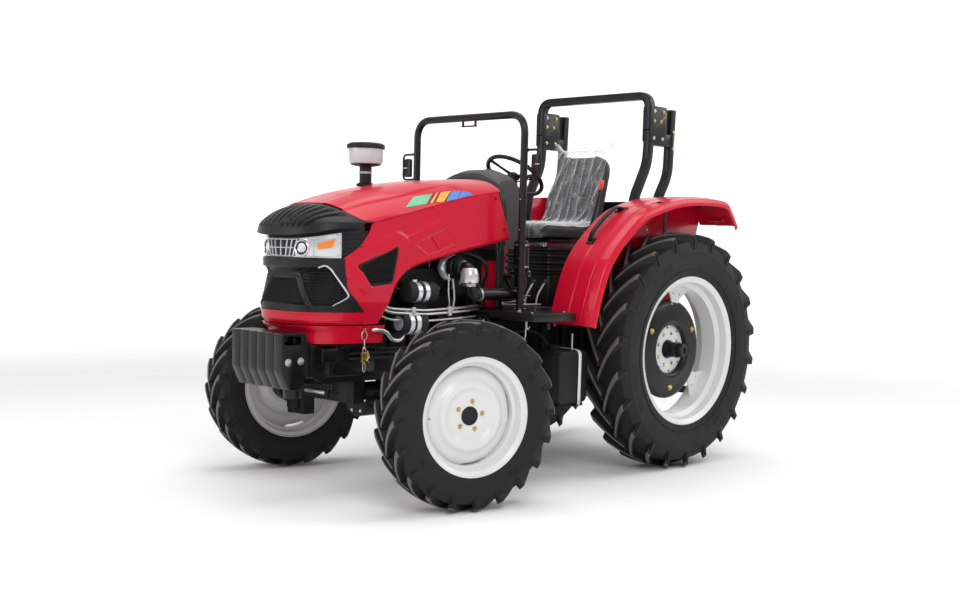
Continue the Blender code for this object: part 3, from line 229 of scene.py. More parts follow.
def film(name, colour, low=0.04, high=0.66):
    """Thin clear plastic: nearly invisible face on, white along creases and edges."""
    made = Paint(name, colour, 0.18, specular_ior_level=0.7)
    rim = made.node("LayerWeight", {}, {"Blend": 0.35}, "Facing")
    crease = made.noise(16.0, 6.0, 0.75, (1.0, 1.6, 1.0))
    fold = made.ramp(crease, 0.54, 0.68, 0.0, 0.15)
    made.set("Alpha", made.ramp(rim, 0.1, 1.0, low, high) + fold)
    made.bump(crease + made.noise(60.0, 4.0) * 0.3, 0.9, 0.006)
    return made.material


def lens(name, colour, alpha=0.4, ribs=220.0, **constants):
    """Lamp glass: moulded flutes in a tinted clear plastic."""
    made = Paint(name, colour, 0.08, coat_weight=1.0, **constants)
    flute = made.math("SINE", made.axis("Y") * ribs) + made.math("SINE", made.axis("Z") * ribs)
    made.bump(flute, 0.25, 0.0008)
    made.set("Alpha", made.ramp(flute, -2.0, 2.0, alpha, min(1.0, alpha + 0.12)))
    return made.material


def backdrop(name, colour):
    """Plain studio floor with a barely uneven tone, lit white by itself far from the machine."""
    made = Paint(name, colour, 0.85, specular_ior_level=0.1, emission_strength=1.0)
    away = (made.axis("X") ** 2 + made.axis("Y") ** 2 + made.axis("Z") ** 2) ** 0.5
    made.set("Emission Color", made.mix(made.ramp(away, 5.0, 12.0), (0, 0, 0, 1), (0.46, 0.46, 0.46, 1)))
    made.tinted(made.ramp(made.noise(1.2, 4.0), 0.3, 0.8, 0.0, 0.2), [c * 0.97 for c in colour])
    made.bump(made.noise(90.0, 3.0), 0.03, 0.0005)
    return made.material


FINISHES = {}


def finish(name):
    """A material of the shared palette, made the first time it is asked for."""
    if name not in FINISHES:
        look = bpy.context.scene.tractor_paint
        recipes = {
            "red": lambda: gloss("red_enamel", look.body, 0.26, specular_ior_level=0.2),
            "white": lambda: gloss("white_enamel", look.rims, 0.35, 0.34),
            "green": lambda: gloss("green_stripe", look.stripe_green, 0.5),
            "orange": lambda: gloss("orange_stripe", look.stripe_orange, 0.5),
            "blue": lambda: gloss("blue_stripe", look.stripe_blue, 0.5),
            "black": lambda: satin("black_powder_coat", look.frame_black, 0.34, 300.0, 0.1, 0.05,
                                   coat_weight=0.12, specular_ior_level=0.3),
            "plastic": lambda: satin("black_moulding", look.plastic_black, 0.44, 500.0, 0.3, 0.06,
                                     specular_ior_level=0.28),
            # near-black matt finish: the own colour of small black parts such as hub caps, grid bars, filters and the
            # lines between the stripes, and also painted shade on the dark plates behind the bonnet vent, the nose
            # louvres and the middle grille, and on the strip in the gap under the nose cap
            "dark": lambda: satin("black_parts_and_painted_shade", (0.006, 0.006, 0.007), 0.7),
            "grey": lambda: satin("grey_moulding", look.cowl_grey, 0.52, 420.0, 0.35),
            "iron": lambda: casting("black_casting", look.casting),
            "rubber": lambda: rubber("tyre_rubber", look.rubber),
            "tread": lambda: rubber("tread_tops", look.tread, 0.6),
            "hose": lambda: rubber("hose_rubber", (0.012, 0.012, 0.013), 0.55),
            "mat": lambda: rubber("ribbed_mat", (0.02, 0.02, 0.021), 0.8),
            "zinc": lambda: metal("zinc_plate", (0.62, 0.62, 0.6), 0.34, (1, 6, 1)),
            "brass": lambda: metal("yellow_zinc", (0.62, 0.46, 0.2), 0.3),
            "steel": lambda: metal("brushed_steel", (0.46, 0.46, 0.47), 0.3, (1, 1, 9)),
            "chrome": lambda: satin("silver_moulding", (0.66, 0.67, 0.69), 0.2, 200.0, 0.05, 0.1,
                                    metallic=0.55, coat_weight=0.8),
            "reflector": lambda: metal("lamp_reflector", (0.85, 0.86, 0.88), 0.12),
            "amber": lambda: lens("amber_lens", (0.85, 0.22, 0.01), 0.95),
            "ruby": lambda: lens("ruby_lens", (0.5, 0.01, 0.01), 0.95),
            "glass": lambda: lens("lamp_glass", (0.8, 0.82, 0.84), 0.22, 160.0),
            "bowl": lambda: lens("clear_bowl", (0.84, 0.84, 0.84), 0.42, 30.0),
            "vinyl": lambda: vinyl("seat_vinyl", look.seat),
            "film": lambda: film("wrapping_film", (0.93, 0.94, 0.95)),
            "knob": lambda: gloss("red_knob", (0.62, 0.03, 0.02), 0.6, 0.25),
            "mirror": lambda: metal("mirror_face", (0.75, 0.77, 0.8), 0.05),
            "dial": lambda: satin("dial_face", (0.02, 0.022, 0.025), 0.15, 90.0, 0.05, coat_weight=1.0),
            "mark": lambda: satin("pale_marking", (0.75, 0.75, 0.74), 0.5, 200.0, 0.05),
        }
        FINISHES[name] = recipes[name]()
    return FINISHES[name]


# ---------------------------------------------------------------- shapes
def unit(v):
    """Vectors at length 1."""
    return v / np.maximum(np.linalg.norm(v, axis=-1, keepdims=True), 1e-12)


def smooth(x, low=0.0, high=1.0):
    """3t^2 - 2t^3 with t = (x - low) / (high - low), kept in 0..1."""
    t = np.clip((np.asarray(x, float) - low) / (high - low), 0, 1)
    return t * t * (3 - 2 * t)


def spline(values, at):
    """Catmull-Rom curve through evenly numbered values, read at places from 0 to n - 1."""
    values = np.asarray(values, float)
    if values.ndim == 1:
        return spline(values[:, None], at)[..., 0]
    at = np.clip(np.asarray(at, float), 0, len(values) - 1 - 1e-9)
    i = at.astype(int)
    t = (at - i)[..., None]
    padded = np.vstack([2 * values[0] - values[1], values, 2 * values[-1] - values[-2]])
    a, b, c, d = (padded[i + k] for k in range(4))
    return b + 0.5 * t * (c - a + t * (2 * a - 5 * b + 4 * c - d + t * (3 * (b - c) + d - a)))


def curve(points, count):
    """A smooth path of that many points through the given ones."""
    return spline(points, np.linspace(0, len(points) - 1, count))


def rounded(points, radius, pieces=8):
    """A polyline whose corners become parabolic arcs: a(1-t)^2 + 2ct(1-t) + bt^2."""
    points = np.asarray(points, float)
    path = [points[:1]]
    t = np.linspace(0, 1, pieces + 1)[:, None]
    for before, corner, after in zip(points, points[1:], points[2:]):
        reach = [min(radius, 0.48 * np.linalg.norm(p - corner)) for p in (before, after)]
        a = corner + unit(before - corner) * reach[0]
        b = corner + unit(after - corner) * reach[1]
        path.append(a * (1 - t) ** 2 + corner * 2 * t * (1 - t) + b * t * t)
    return np.vstack([*path, points[-1:]])


def circle(radius, sides=16, squash=1.0):
    """Points round a circle, flattened by squash."""
    t = np.arange(sides) * TAU / sides
    return np.stack([radius * np.cos(t), radius * squash * np.sin(t)], 1)


def slab(width, height, corner=0.004):
    """A rectangle with clipped and eased corners, as a closed section."""
    w, h, c = width / 2, height / 2, corner
    points = []
    for sx, sy in ((1, 1), (-1, 1), (-1, -1), (1, -1)):
        arc = [(w, h - c), (w - c * 0.3, h - c * 0.3), (w - c, h)]
        points += [(sx * a, sy * b) for a, b in (arc if sx * sy > 0 else arc[::-1])]
    return np.array(points)


def upright(flat, y):
    """A flat outline of (x, z) points, stood up at that y."""
    return np.stack([flat[:, 0], np.full(len(flat), y), flat[:, 1]], 1)


def inset(outline, distance):
    """The outline moved inwards, each corner along the bisector of its two sides."""
    p = np.asarray(outline, float)
    area = np.sum(p[:, 0] * np.roll(p[:, 1], -1) - p[:, 1] * np.roll(p[:, 0], -1))
    ahead = unit(np.roll(p, -1, 0) - p)
    left = np.stack([-ahead[:, 1], ahead[:, 0]], 1) * np.sign(area)
    both = left + np.roll(left, 1, 0)
    return p + both * distance / np.maximum(0.35, 1 + np.sum(left * np.roll(left, 1, 0), 1))[:, None]


def eased(outline, radius, pieces=3):
    """A closed outline with its corners rounded."""
    p = [np.asarray(q, float) for q in outline]
    t = np.linspace(0, 1, pieces + 1)[:, None]
    parts = []
    for i, corner in enumerate(p):
        sides = [p[i - 1], p[(i + 1) % len(p)]]
        a, b = (corner + unit(q - corner) * min(radius, 0.45 * np.linalg.norm(q - corner)) for q in sides)
        parts.append(a * (1 - t) ** 2 + corner * 2 * t * (1 - t) + b * t * t)
    return np.vstack(parts)


def oblong(x0, y0, x1, y1, radius, pieces=3):
    """A rectangle between two opposite corners, its corners eased."""
    return eased([(x0, y0), (x1, y0), (x1, y1), (x0, y1)], radius, pieces)


AXES = {"X": (1, 2, 0), "Y": (0, 2, 1), "Z": (0, 1, 2)}


class Shape:
    """Points and faces gathered part by part, then made into one mesh object."""

    def __init__(self, turn=None):
        self.points, self.faces, self.looks, self.count = [], [], [], 0
        self.turn = turn

    def add(self, points, faces, look=0):
        points = np.asarray(points, float).reshape(-1, 3)
        if self.turn is not None:
            turn = np.array(self.turn)
            points = points @ turn[:3, :3].T + turn[:3, 3]
        self.faces += [[i + self.count for i in face] for face in faces]
        self.looks += [look] * len(faces) if np.ndim(look) == 0 else list(look)
        self.points.append(points)
        self.count += len(points)

    def grid(self, P, around=(False, False), caps=False, look=0):
        """Quads between the points P[i, j]; a direction marked around closes on itself."""
        P = np.asarray(P, float)
        k = np.arange(P.shape[0] * P.shape[1]).reshape(P.shape[:2])
        a = np.vstack([k, k[:1]]) if around[0] else k
        a = np.hstack([a, a[:, :1]]) if around[1] else a
        quads = np.stack([a[:-1, :-1], a[1:, :-1], a[1:, 1:], a[:-1, 1:]], -1).reshape(-1, 4).tolist()
        if caps:
            quads += [k[0, ::-1].tolist(), k[-1].tolist()]
        self.add(P, quads, look)

    def shell(self, P, thick, look=0):
        """A skin: P, and P set back by thick along its normals, joined round the edges."""
        P = np.asarray(P, float)
        n, m = P.shape[:2]
        normal = unit(np.cross(np.gradient(P, axis=0), np.gradient(P, axis=1)))
        L = np.concatenate([P, (P - normal * thick)[::-1]])
        self.grid(L, (True, False), look=look)
        k = np.arange(2 * n * m).reshape(2 * n, m) + self.count - 2 * n * m
        for j in (0, m - 1):
            ends = [[k[i, j], k[i + 1, j], k[-2 - i, j], k[-1 - i, j]] for i in range(n - 1)]
            self.faces += [[int(v) for v in e] for e in ends]
            self.looks += [look] * (n - 1)

    def lathe(self, profile, centre=(0, 0, 0), axis=(0, 1, 0), steps=48, look=0):
        """Profile of (offset a, radius r) turned about an axis: c + a n + r (u cos t + v sin t)."""
        n = unit(np.asarray(axis, float))
        u = unit(np.cross(n, (0.0, 0.0, 1.0) if abs(n[2]) < 0.9 else (1.0, 0.0, 0.0)))
        v = np.cross(n, u)
        t = np.arange(steps) * TAU / steps
        a, r = np.asarray(profile, float).T
        ring = u * np.cos(t)[:, None] + v * np.sin(t)[:, None]
        P = np.asarray(centre, float) + n * a[:, None, None] + ring * r[:, None, None]
        open_ends = r[0] < 1e-9 and r[-1] < 1e-9
        self.grid(P, (not open_ends, True), look=look)

    def rod(self, start, end, radius, look=0, steps=20, ease=0.15):
        """A straight bar with eased ends."""
        start, end = np.asarray(start, float), np.asarray(end, float)
        far = np.linalg.norm(end - start)
        e = min(radius * ease, far * 0.3)
        profile = [(0, 0), (0, radius - e), (e * 0.3, radius - e * 0.3), (e, radius), (far - e, radius),
                   (far - e * 0.3, radius - e * 0.3), (far, radius - e), (far, 0)]
        self.lathe(profile, start, end - start, steps, look)

    def sweep(self, path, section, side=(0, 0, 1), look=0, around=False):
        """A closed section of (across, up) carried along a path; across stays near side."""
        path = np.asarray(path, float)
        if around:
            tangent = unit(np.roll(path, -1, 0) - np.roll(path, 1, 0))
        else:
            tangent = unit(np.gradient(path, axis=0))
        side = np.asarray(side, float)
        across = unit(side - tangent * (tangent @ side)[:, None])
        up = np.cross(tangent, across)
        s = np.asarray(section, float)
        if s.ndim == 2:
            s = np.repeat(s[None], len(path), 0)
        P = path[:, None] + across[:, None] * s[..., :1] + up[:, None] * s[..., 1:]
        self.grid(P, (around, True), caps=not around, look=look)

    def tube(self, path, radius, look=0, sides=14):
        """A round bar along a path, its ring carried along without twist."""
        path = np.asarray(path, float)
        tangent = unit(np.gradient(path, axis=0))
        n = unit(np.cross(tangent[0], (0.3, 0.2, 1.0)))
        t = np.arange(sides) * TAU / sides
        radius = np.broadcast_to(radius, len(path))
        rings = []
        for p, d, r in zip(path, tangent, radius):
            n = unit(n - d * (n @ d))
            rings.append(p + r * (n * np.cos(t)[:, None] + np.cross(d, n) * np.sin(t)[:, None]))
        self.grid(rings, (False, True), caps=True, look=look)

    def prism(self, outline, axis, low, high, ease=0.002, look=0):
        """An outline pushed along an axis from low to high, its rims eased by insetting."""
        e = min(ease, abs(high - low) * 0.45)
        sign = 1 if high > low else -1
        steps = [(e, low), (e * 0.3, low + sign * e * 0.3), (0, low + sign * e), (0, high - sign * e),
                 (e * 0.3, high - sign * e * 0.3), (e, high)]
        rings = []
        order = AXES[axis]
        for d, place in steps:
            flat = inset(outline, d)
            ring = np.empty((len(flat), 3))
            ring[:, order[0]], ring[:, order[1]], ring[:, order[2]] = flat[:, 0], flat[:, 1], place
            rings.append(ring)
        self.grid(rings, (False, True), caps=True, look=look)

    def box(self, low, high, ease=0.003, look=0, corner=0.006):
        """A box between its lowest and highest corners, its edges eased."""
        (x0, y0, z0), (x1, y1, z1) = low, high
        corner = min(corner, (x1 - x0) * 0.3, (y1 - y0) * 0.3)
        outline = oblong(x0, y0, x1, y1, corner)
        self.prism(outline, "Z", z0, z1, ease, look)

    def block(self, x, y, z, ease=0.003, look=0, corner=0.006):
        """A box from its two ends along each axis, in either order."""
        self.box(*zip(sorted(x), sorted(y), sorted(z)), ease, look, corner)

    def bolt(self, place, axis, size=0.008, look=0, washer=True):
        """A hexagon head with a chamfer, on its washer."""
        s = size
        if washer:
            self.lathe([(0, 0), (0, s * 1.25), (s * 0.2, s * 1.25), (s * 0.2, 0)], place, axis, 14, look)
        low = s * 0.2 if washer else 0
        self.lathe([(low, 0), (low, s), (s * 0.75, s), (s * 0.95, s * 0.82), (s * 0.95, 0)], place, axis, 6, look)

    def dome(self, place, axis, radius, height, look=0, steps=16):
        """Half an ellipsoid that stands on its flat side."""
        t = np.linspace(0, math.pi / 2, 6)
        profile = [(0, 0), *zip(height * np.sin(t), radius * np.cos(t))]
        profile[-1] = (height, 0)
        self.lathe(profile, place, axis, steps, look)

    def both(self):
        """Adds the mirror image, across Y = 0, of all that is here so far."""
        points = np.concatenate(self.points) * (1, -1, 1)
        faces, looks = list(self.faces), list(self.looks)
        turn, self.turn = self.turn, None
        self.add(points, faces, looks)
        self.turn = turn
        return self

    def mirrored(self):
        """Turns all that is here into its mirror image across Y = 0."""
        self.points = [p * (1, -1, 1) for p in self.points]
        return self

    def make(self, name, looks, ride, replaces=(), angle=32):
        """The gathered faces as one object on a CAD body, facing outwards."""
        mesh = bpy.data.meshes.new(name)
        mesh.from_pydata(np.concatenate(self.points).tolist(), [], self.faces)
        mesh.polygons.foreach_set("material_index", np.array(self.looks, np.int32))
        bm = bmesh.new()
        bm.from_mesh(mesh)
        bmesh.ops.remove_doubles(bm, verts=bm.verts, dist=2e-6)
        bmesh.ops.recalc_face_normals(bm, faces=bm.faces)
        bm.to_mesh(mesh)
        bm.free()
        mesh.shade_smooth()
        mesh.set_sharp_from_angle(angle=math.radians(angle))
        made = bpy.data.objects.new(name, mesh)
        bpy.context.scene.collection.objects.link(made)
        for look in looks.split():
            mesh.materials.append(finish(look))
        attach(made, ride)
        if replaces:
            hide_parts(*replaces)
        return made


def ribbon(shape, path, surface, width, low, high, look=0, around=False, ease=0.25):
    """A raised strip that follows a path of (u, v) over surface(u, v, out)."""
    path = np.asarray(path, float)
    ahead = np.roll(path, -1, 0) - np.roll(path, 1, 0) if around else np.gradient(path, axis=0)
    here = surface(path[:, 0], path[:, 1], 0.0)
    step = 1e-3
    du = (surface(path[:, 0] + step, path[:, 1], 0.0) - here) / step
    dv = (surface(path[:, 0], path[:, 1] + step, 0.0) - here) / step
    along = unit(du * ahead[:, :1] + dv * ahead[:, 1:])
    out = unit(surface(path[:, 0], path[:, 1], 0.01) - here)
    across = np.cross(out, along)
    w = np.broadcast_to(width, len(path))[:, None] / 2
    e = (high - low) * ease
    ring = [(-w, low), (-w, high - e), (-w + e, high), (w - e, high), (w, high - e), (w, low)]
    P = np.stack([here + across * a + out * b for a, b in ring], 1)
    shape.grid(P, (around, True), caps=not around, look=look)


def patch(shape, corners, surface, low, high, count=(10, 6), look=0):
    """A plate over surface(u, v, out) between four corners, from out = low to out = high."""
    a, b, c, d = (np.asarray(p, float) for p in corners)
    s, t = np.meshgrid(np.linspace(0, 1, count[0]), np.linspace(0, 1, count[1]), indexing="ij")
    s, t = s[..., None], t[..., None]
    uv = (a * (1 - s) + b * s) * (1 - t) + (d * (1 - s) + c * s) * t
    top, under = (surface(uv[..., 0], uv[..., 1], h) for h in (high, low))
    n, m = count
    shape.grid(np.concatenate([top, under[::-1]]), (True, False), look=look)
    k = np.arange(2 * n * m).reshape(2 * n, m) + shape.count - 2 * n * m
    for j in (0, m - 1):
        shape.faces += [[int(v) for v in (k[i, j], k[i + 1, j], k[-2 - i, j], k[-1 - i, j])] for i in range(n - 1)]
        shape.looks += [look] * (n - 1)


def within(points, outline):
    """Which points lie inside a closed outline, by counting the sides crossed."""
    x, y = np.asarray(points, float).T
    hit = np.zeros(len(x), bool)
    for (x0, y0), (x1, y1) in zip(outline, np.roll(outline, -1, 0)):
        with np.errstate(divide="ignore", invalid="ignore"):
            hit ^= ((y0 > y) != (y1 > y)) & (x < (x1 - x0) * (y - y0) / (y1 - y0) + x0)
    return hit


def edge_distance(points, outline):
    """Distance of each point from a closed outline, negative inside it."""
    p = np.asarray(points, float)
    best = np.full(len(p), 9.0)
    for a, b in zip(np.asarray(outline, float), np.roll(outline, -1, 0)):
        t = np.clip((p - a) @ (b - a) / max(1e-12, (b - a) @ (b - a)), 0, 1)
        best = np.minimum(best, np.linalg.norm(p - a - t[:, None] * (b - a), axis=1))
    return np.where(within(p, outline), -best, best)


def honeycomb(shape, outline, surface, cell, bar, low, high, aspect=1.0, look=0):
    """Hexagonal netting over a surface: a bar on each side of every cell whose middle is inside."""
    lo, hi = np.min(outline, 0), np.max(outline, 0)
    du, dv = cell * aspect, cell * math.sqrt(3) / 2
    rows = []
    for j in range(int((hi[1] - lo[1]) / dv) + 2):
        u = np.arange(lo[0], hi[0] + du, du) + (du / 2 if j % 2 else 0)
        rows.append(np.stack([u, np.full(len(u), lo[1] + j * dv)], 1))
    centres = np.vstack(rows)
    centres = centres[within(centres, outline)]
    turn = np.radians(30 + 60 * np.arange(7))
    corner = np.stack([du / math.sqrt(3) * np.cos(turn), cell / math.sqrt(3) * np.sin(turn)], 1)
    for k in range(3):
        a = centres + corner[k]
        b = centres + corner[k + 1]
        side = np.stack([-(corner[k + 1] - corner[k])[1] * aspect ** 2, (corner[k + 1] - corner[k])[0]])
        side = side / np.hypot(side[0] / aspect, side[1]) * bar / 2
        P = [surface(*(q + s * side).T, h) for q in (a, b) for s, h in ((-1, low), (1, low), (1, high), (-1, high))]
        P = np.stack(P, 1)
        base = np.arange(len(P))[:, None, None] * 8
        box = np.array([(0, 1, 2, 3), (7, 6, 5, 4), (0, 4, 5, 1), (1, 5, 6, 2), (2, 6, 7, 3), (3, 7, 4, 0)])
        shape.add(P, (base + box).reshape(-1, 4).tolist(), look)


# ---------------------------------------------------------------- sizes and colours
def colour(name, description, default):
    return bpy.props.FloatVectorProperty(name=name, description=description, default=default, size=3,
                                         min=0, max=1, subtype="COLOR")


def length(name, description, default):
    return bpy.props.FloatProperty(name=name, description=description, default=default, unit="LENGTH",
                                   subtype="DISTANCE")


def count(name, description, default):
    return bpy.props.IntProperty(name=name, description=description, default=default, min=1)


class TractorPaint(bpy.types.PropertyGroup):
    """Colours of the machine."""

    body: colour("Body", "Enamel of the bonnet and mudguards", (0.57, 0.004, 0.026))
    rims: colour("Rims", "Enamel of the wheels", (0.72, 0.73, 0.72))
    stripe_green: colour("Green stripe", "First field of the side stripe", (0.06, 0.42, 0.2))
    stripe_orange: colour("Orange stripe", "Middle field of the side stripe", (0.9, 0.34, 0.02))
    stripe_blue: colour("Blue stripe", "Last field of the side stripe", (0.05, 0.2, 0.62))
    frame_black: colour("Frame black", "Powder coat of the roll bar and plates", (0.0042, 0.0042, 0.0045))
    plastic_black: colour("Plastic black", "Black mouldings", (0.008, 0.008, 0.0084))
    cowl_grey: colour("Cowl grey", "Dash mouldings", (0.036, 0.037, 0.039))
    casting: colour("Casting", "Paint on axle and gearbox castings", (0.0049, 0.0049, 0.0052))
    rubber: colour("Rubber", "Tyre compound", (0.0066, 0.0066, 0.0066))
    tread: colour("Tread tops", "Faces of the tread bars", (0.10, 0.10, 0.088))
    seat: colour("Seat", "Seat covering", (0.0263, 0.027, 0.0285))
    floor: colour("Floor", "Studio floor and backdrop", (0.93, 0.93, 0.93))


class TractorWheels(bpy.types.PropertyGroup):
    """Sizes of the wheels and tyres."""

    front_radius: length("Front tyre", "Radius over the tread bars", 0.515)
    front_width: length("Front width", "Width of the front tyre", 0.24)
    front_rim: length("Front rim", "Radius of the front rim's flange", 0.327)
    front_bars: count("Front bars", "Tread bars on each side of a front tyre", 20)
    rear_radius: length("Rear tyre", "Radius over the tread bars", 0.77)
    rear_width: length("Rear width", "Width of the rear tyre", 0.31)
    rear_rim: length("Rear rim", "Radius of the rear rim's flange", 0.482)
    rear_bars: count("Rear bars", "Tread bars on each side of a rear tyre", 22)


class TractorBody(bpy.types.PropertyGroup):
    """Sizes of the bodywork."""

    skin: length("Panel", "Thickness of the bonnet's panels", 0.005)
    weights: count("Weights", "Plates hung on the front casting", 6)
    hoop: length("Hand hoop", "Radius of the hand-hold bar", 0.0225)
    film_lift: length("Film lift", "How far the seat's wrapping stands off the covering", 0.012)


# ---------------------------------------------------------------- wheels
REAR_HALF_TRACK, REAR_HEIGHT = 0.685, 0.77
KINGPIN_Y, KINGPIN_TO_TYRE, FRONT_HEIGHT = 0.705, 0.14, 0.515


def wheel_turn(sign, front):
    """Place of a wheel: its middle plane at Y = 0 here, its outboard face towards +Y."""
    if not front:
        return Matrix.Translation((REAR, sign * REAR_HALF_TRACK, REAR_HEIGHT)) @ Matrix.Diagonal((1, sign, 1, 1))
    pin = Matrix.Translation((FRONT, sign * KINGPIN_Y, FRONT_HEIGHT)) @ Matrix.Rotation(-STEER, 4, "Z")
    return pin @ Matrix.Diagonal((1, sign, 1, 1)) @ Matrix.Translation((0, KINGPIN_TO_TYRE, 0))


def tyre(name, turn, radius, width, rim, bars, body, node):
    """Carcass turned from its section, with bars laid over it.

    A bar runs from y = y0 at the middle to the shoulder; its angle round the tyre trails by
    lead (1 - s)^1.3, and its section is a trapezium that stands on the carcass."""
    shape = Shape(turn)
    half = width / 2
    bar = 0.034 + 0.02 * (radius - 0.5)
    floor = radius - bar
    bead = rim - 0.022
    tall = floor - bead

    def crown(y):
        return floor - 0.2 * (np.abs(y) / half) ** 2.4 * tall * 0.55

    y = half * np.sin(np.linspace(-1, 1, 25) * 1.16) / np.sin(1.16) * 0.9
    over = [(v, crown(v)) for v in y]
    side = [(half * 0.955, floor - tall * 0.19), (half * 0.985, floor - tall * 0.27),
            (half * 0.993, floor - tall * 0.30), (half, floor - tall * 0.31), (half * 1.003, floor - tall * 0.33),
            (half * 0.995, floor - tall * 0.345), (half, floor - tall * 0.42), (half * 0.995, floor - tall * 0.55),
            (half * 0.965, floor - tall * 0.7), (half * 0.92, floor - tall * 0.82),
            (half * 0.885, floor - tall * 0.87),
            (half * 0.88, floor - tall * 0.885), (half * 0.855, floor - tall * 0.9),
            (half * 0.845, floor - tall * 0.93),
            (half * 0.8, rim + 0.004), (half * 0.78, rim - 0.012), (half * 0.76, bead + 0.001)]
    inner = [(half * 0.68, bead + 0.001), (half * 0.8, bead + tall * 0.5), (half * 0.5, floor - 0.035)]
    profile = over + side + inner
    profile += [(-a, r) for a, r in reversed(side + inner)]
    shape.lathe(profile, steps=120)
    n = 20
    s = np.linspace(0, 1, n)
    lateral = -half * 0.07 + s * half * 1.03
    lead = TAU / bars * 1.22
    trail = -lead * (1 - s) ** 1.25
    low = np.where(lateral < half * 0.88, crown(np.minimum(lateral, half * 0.9)) - 0.006, floor - tall * 0.2)
    low = np.where(s > 0.9, floor - tall * (0.05 + 0.32 * smooth(s, 0.9, 1.0)), low)
    top = radius - 0.012 * (lateral / half) ** 2 - 0.006 * smooth(s, 0.92, 1.0)
    wide = (0.036 + 0.012 * s) * radius ** 0.5
    around = np.stack([-wide * 1.05, -wide * 0.62, -wide * 0.52, wide * 0.3, wide * 0.4, wide * 0.72],
                      1) / radius / 0.94
    height = np.stack([low, top - 0.004, top, top, top - 0.004, low], 1)
    out = np.stack([lateral] * 6, 1)
    out[-1] += np.array([0.004, 0, -0.004, -0.004, 0, 0.004])
    out[0] += 0.006 * np.array([-1, 0, 1, 1, 0, -1])
    looks = np.zeros((n - 1, 6), int)
    looks[:, 1:4] = 1
    for k in range(bars):
        for flip, phase in ((1, 0.0), (-1, 0.5)):
            angle = (k + phase) * TAU / bars + trail[:, None] + around
            P = np.stack([-height * np.sin(angle), flip * out, height * np.cos(angle)], -1)
            shape.grid(P, (False, True), caps=True, look=[*looks.ravel().tolist(), 0, 0])
            end = (k + phase) * TAU / bars + around[-1].mean()
            r0, r1 = floor - tall * 0.24, floor - 0.002
            pad = [(-0.011, r0), (0.011, r0), (0.009, r1), (-0.009, r1)]
            rings = []
            for o, grow in ((half * 0.93, 1.0), (half * 1.012, 1.0), (half * 1.02, 0.7)):
                rings.append([(-(r1 + (r - r1) * grow) * math.sin(end + a * grow / r), flip * o,
                               (r1 + (r - r1) * grow) * math.cos(end + a * grow / r)) for a, r in pad])
            shape.grid(rings, (False, True), caps=True)
    for a, w in ((0.4, 0.16), (2.1, 0.1), (3.7, 0.16), (5.2, 0.1)):
        t = np.linspace(a, a + w, 8)
        for r in (0.47, 0.53):
            r = floor - tall * r
            P = [[(q * math.sin(v), half * o, q * math.cos(v)) for q, o in
                  ((r - 0.01, 0.97), (r - 0.009, 1.008), (r + 0.009, 1.008), (r + 0.01, 0.97))] for v in t]
            shape.grid(P, (False, True), caps=True)
    shape.lathe([(half * 0.8, rim + 0.05), (half * 0.975, rim + 0.05), (half * 0.98, rim + 0.047),
                 (half * 0.8, rim + 0.044)],
                steps=120)
    return shape.make(name, "rubber tread", body, [node], 40)


def barrel(shape, rim, half, well):
    """Rim section: rolled flange, bead seat, hump and drop centre, with an even wall."""
    flange = [(half + 0.010, rim - 0.006), (half + 0.012, rim), (half + 0.008, rim + 0.004), (half + 0.002, rim),
              (half - 0.002, rim - 0.016), (half - 0.008, rim - 0.023)]
    seat = [(half - 0.032, rim - 0.026), (half - 0.040, rim - 0.024), (half - 0.052, rim - 0.032),
            (half * 0.42, well), (half * 0.3, well - 0.003)]
    outer = flange + seat
    side = outer + [(-a, r) for a, r in reversed(outer)]
    wall = 0.006
    back = [(-half - 0.006, rim - 0.008), (-half + 0.006, rim - 0.030), (-half + 0.052, rim - 0.040),
            (-half * 0.42, well - wall), (half * 0.42, well - wall), (half - 0.052, rim - 0.040),
            (half - 0.006, rim - 0.032), (half + 0.004, rim - 0.014)]
    shape.lathe(side + back, steps=120)


def disc(shape, rings, wave, thick=0.007, steps=120, look=0):
    """A pressed disc: rings of (offset, radius), its rim cut in by wave(angle)."""
    t = np.arange(steps) * TAU / steps
    a, r = np.asarray(rings, float).T
    blend = smooth(np.arange(len(r)), len(r) - 5, len(r) - 1)
    R = r[:, None] * (1 - blend[:, None] * wave(t))
    P = np.stack([R * np.cos(t), np.broadcast_to(a[:, None], R.shape), R * np.sin(t)], -1)
    Q = P - (0, thick, 0)
    shape.grid(np.concatenate([P, Q[::-1]]), (True, True), look=look)


def front_wheel(name, turn, rim, body, node):
    """Front rim with its dished disc, hub, five nuts and valve."""
    shape = Shape(turn)
    well = rim - 0.052
    barrel(shape, rim, 0.094, well)
    rings = spline([(0.034, 0.05), (0.034, 0.09), (0.034, 0.118), (0.038, 0.135), (0.05, 0.155), (0.054, 0.17),
                    (0.05, 0.186), (0.038, 0.2), (0.03, 0.215), (0.022, 0.24), (0.008, 0.262), (-0.004, 0.2745)],
                   np.linspace(0, 11, 37))

    def wave(t):
        return 0.075 * sum(smooth(0.34 - np.abs(((t - c + math.pi) % TAU) - math.pi), 0, 0.22)
                           for c in np.radians((80, 170, 260, 350)))

    disc(shape, rings, wave)
    shape.lathe([(0.02, 0), (0.02, 0.0515), (0.036, 0.0515), (0.036, 0.044), (0.03, 0.04), (0.03, 0)], look=1)
    shape.lathe([(-0.035, 0), (-0.035, 0.098), (0.026, 0.098), (0.026, 0)], look=1, steps=40)
    for k in range(5):
        a = TAU * k / 5 + 0.5
        place = np.array([0.079 * math.cos(a), 0.034, 0.079 * math.sin(a)])
        shape.lathe([(0, 0), (0, 0.014), (0.003, 0.014), (0.003, 0)], place, (0, 1, 0), 16, 2)
        shape.bolt(place + (0, 0.003, 0), (0, 1, 0), 0.010, 2, False)
        shape.dome(place + (0, 0.012, 0), (0, 1, 0), 0.0075, 0.006, 2)
    shape.rod((0.262, 0.05, 0), (0.262, 0.075, 0), 0.0045, 3, 10)
    return shape.make(name, "white dark brass steel", body, [node], 30)


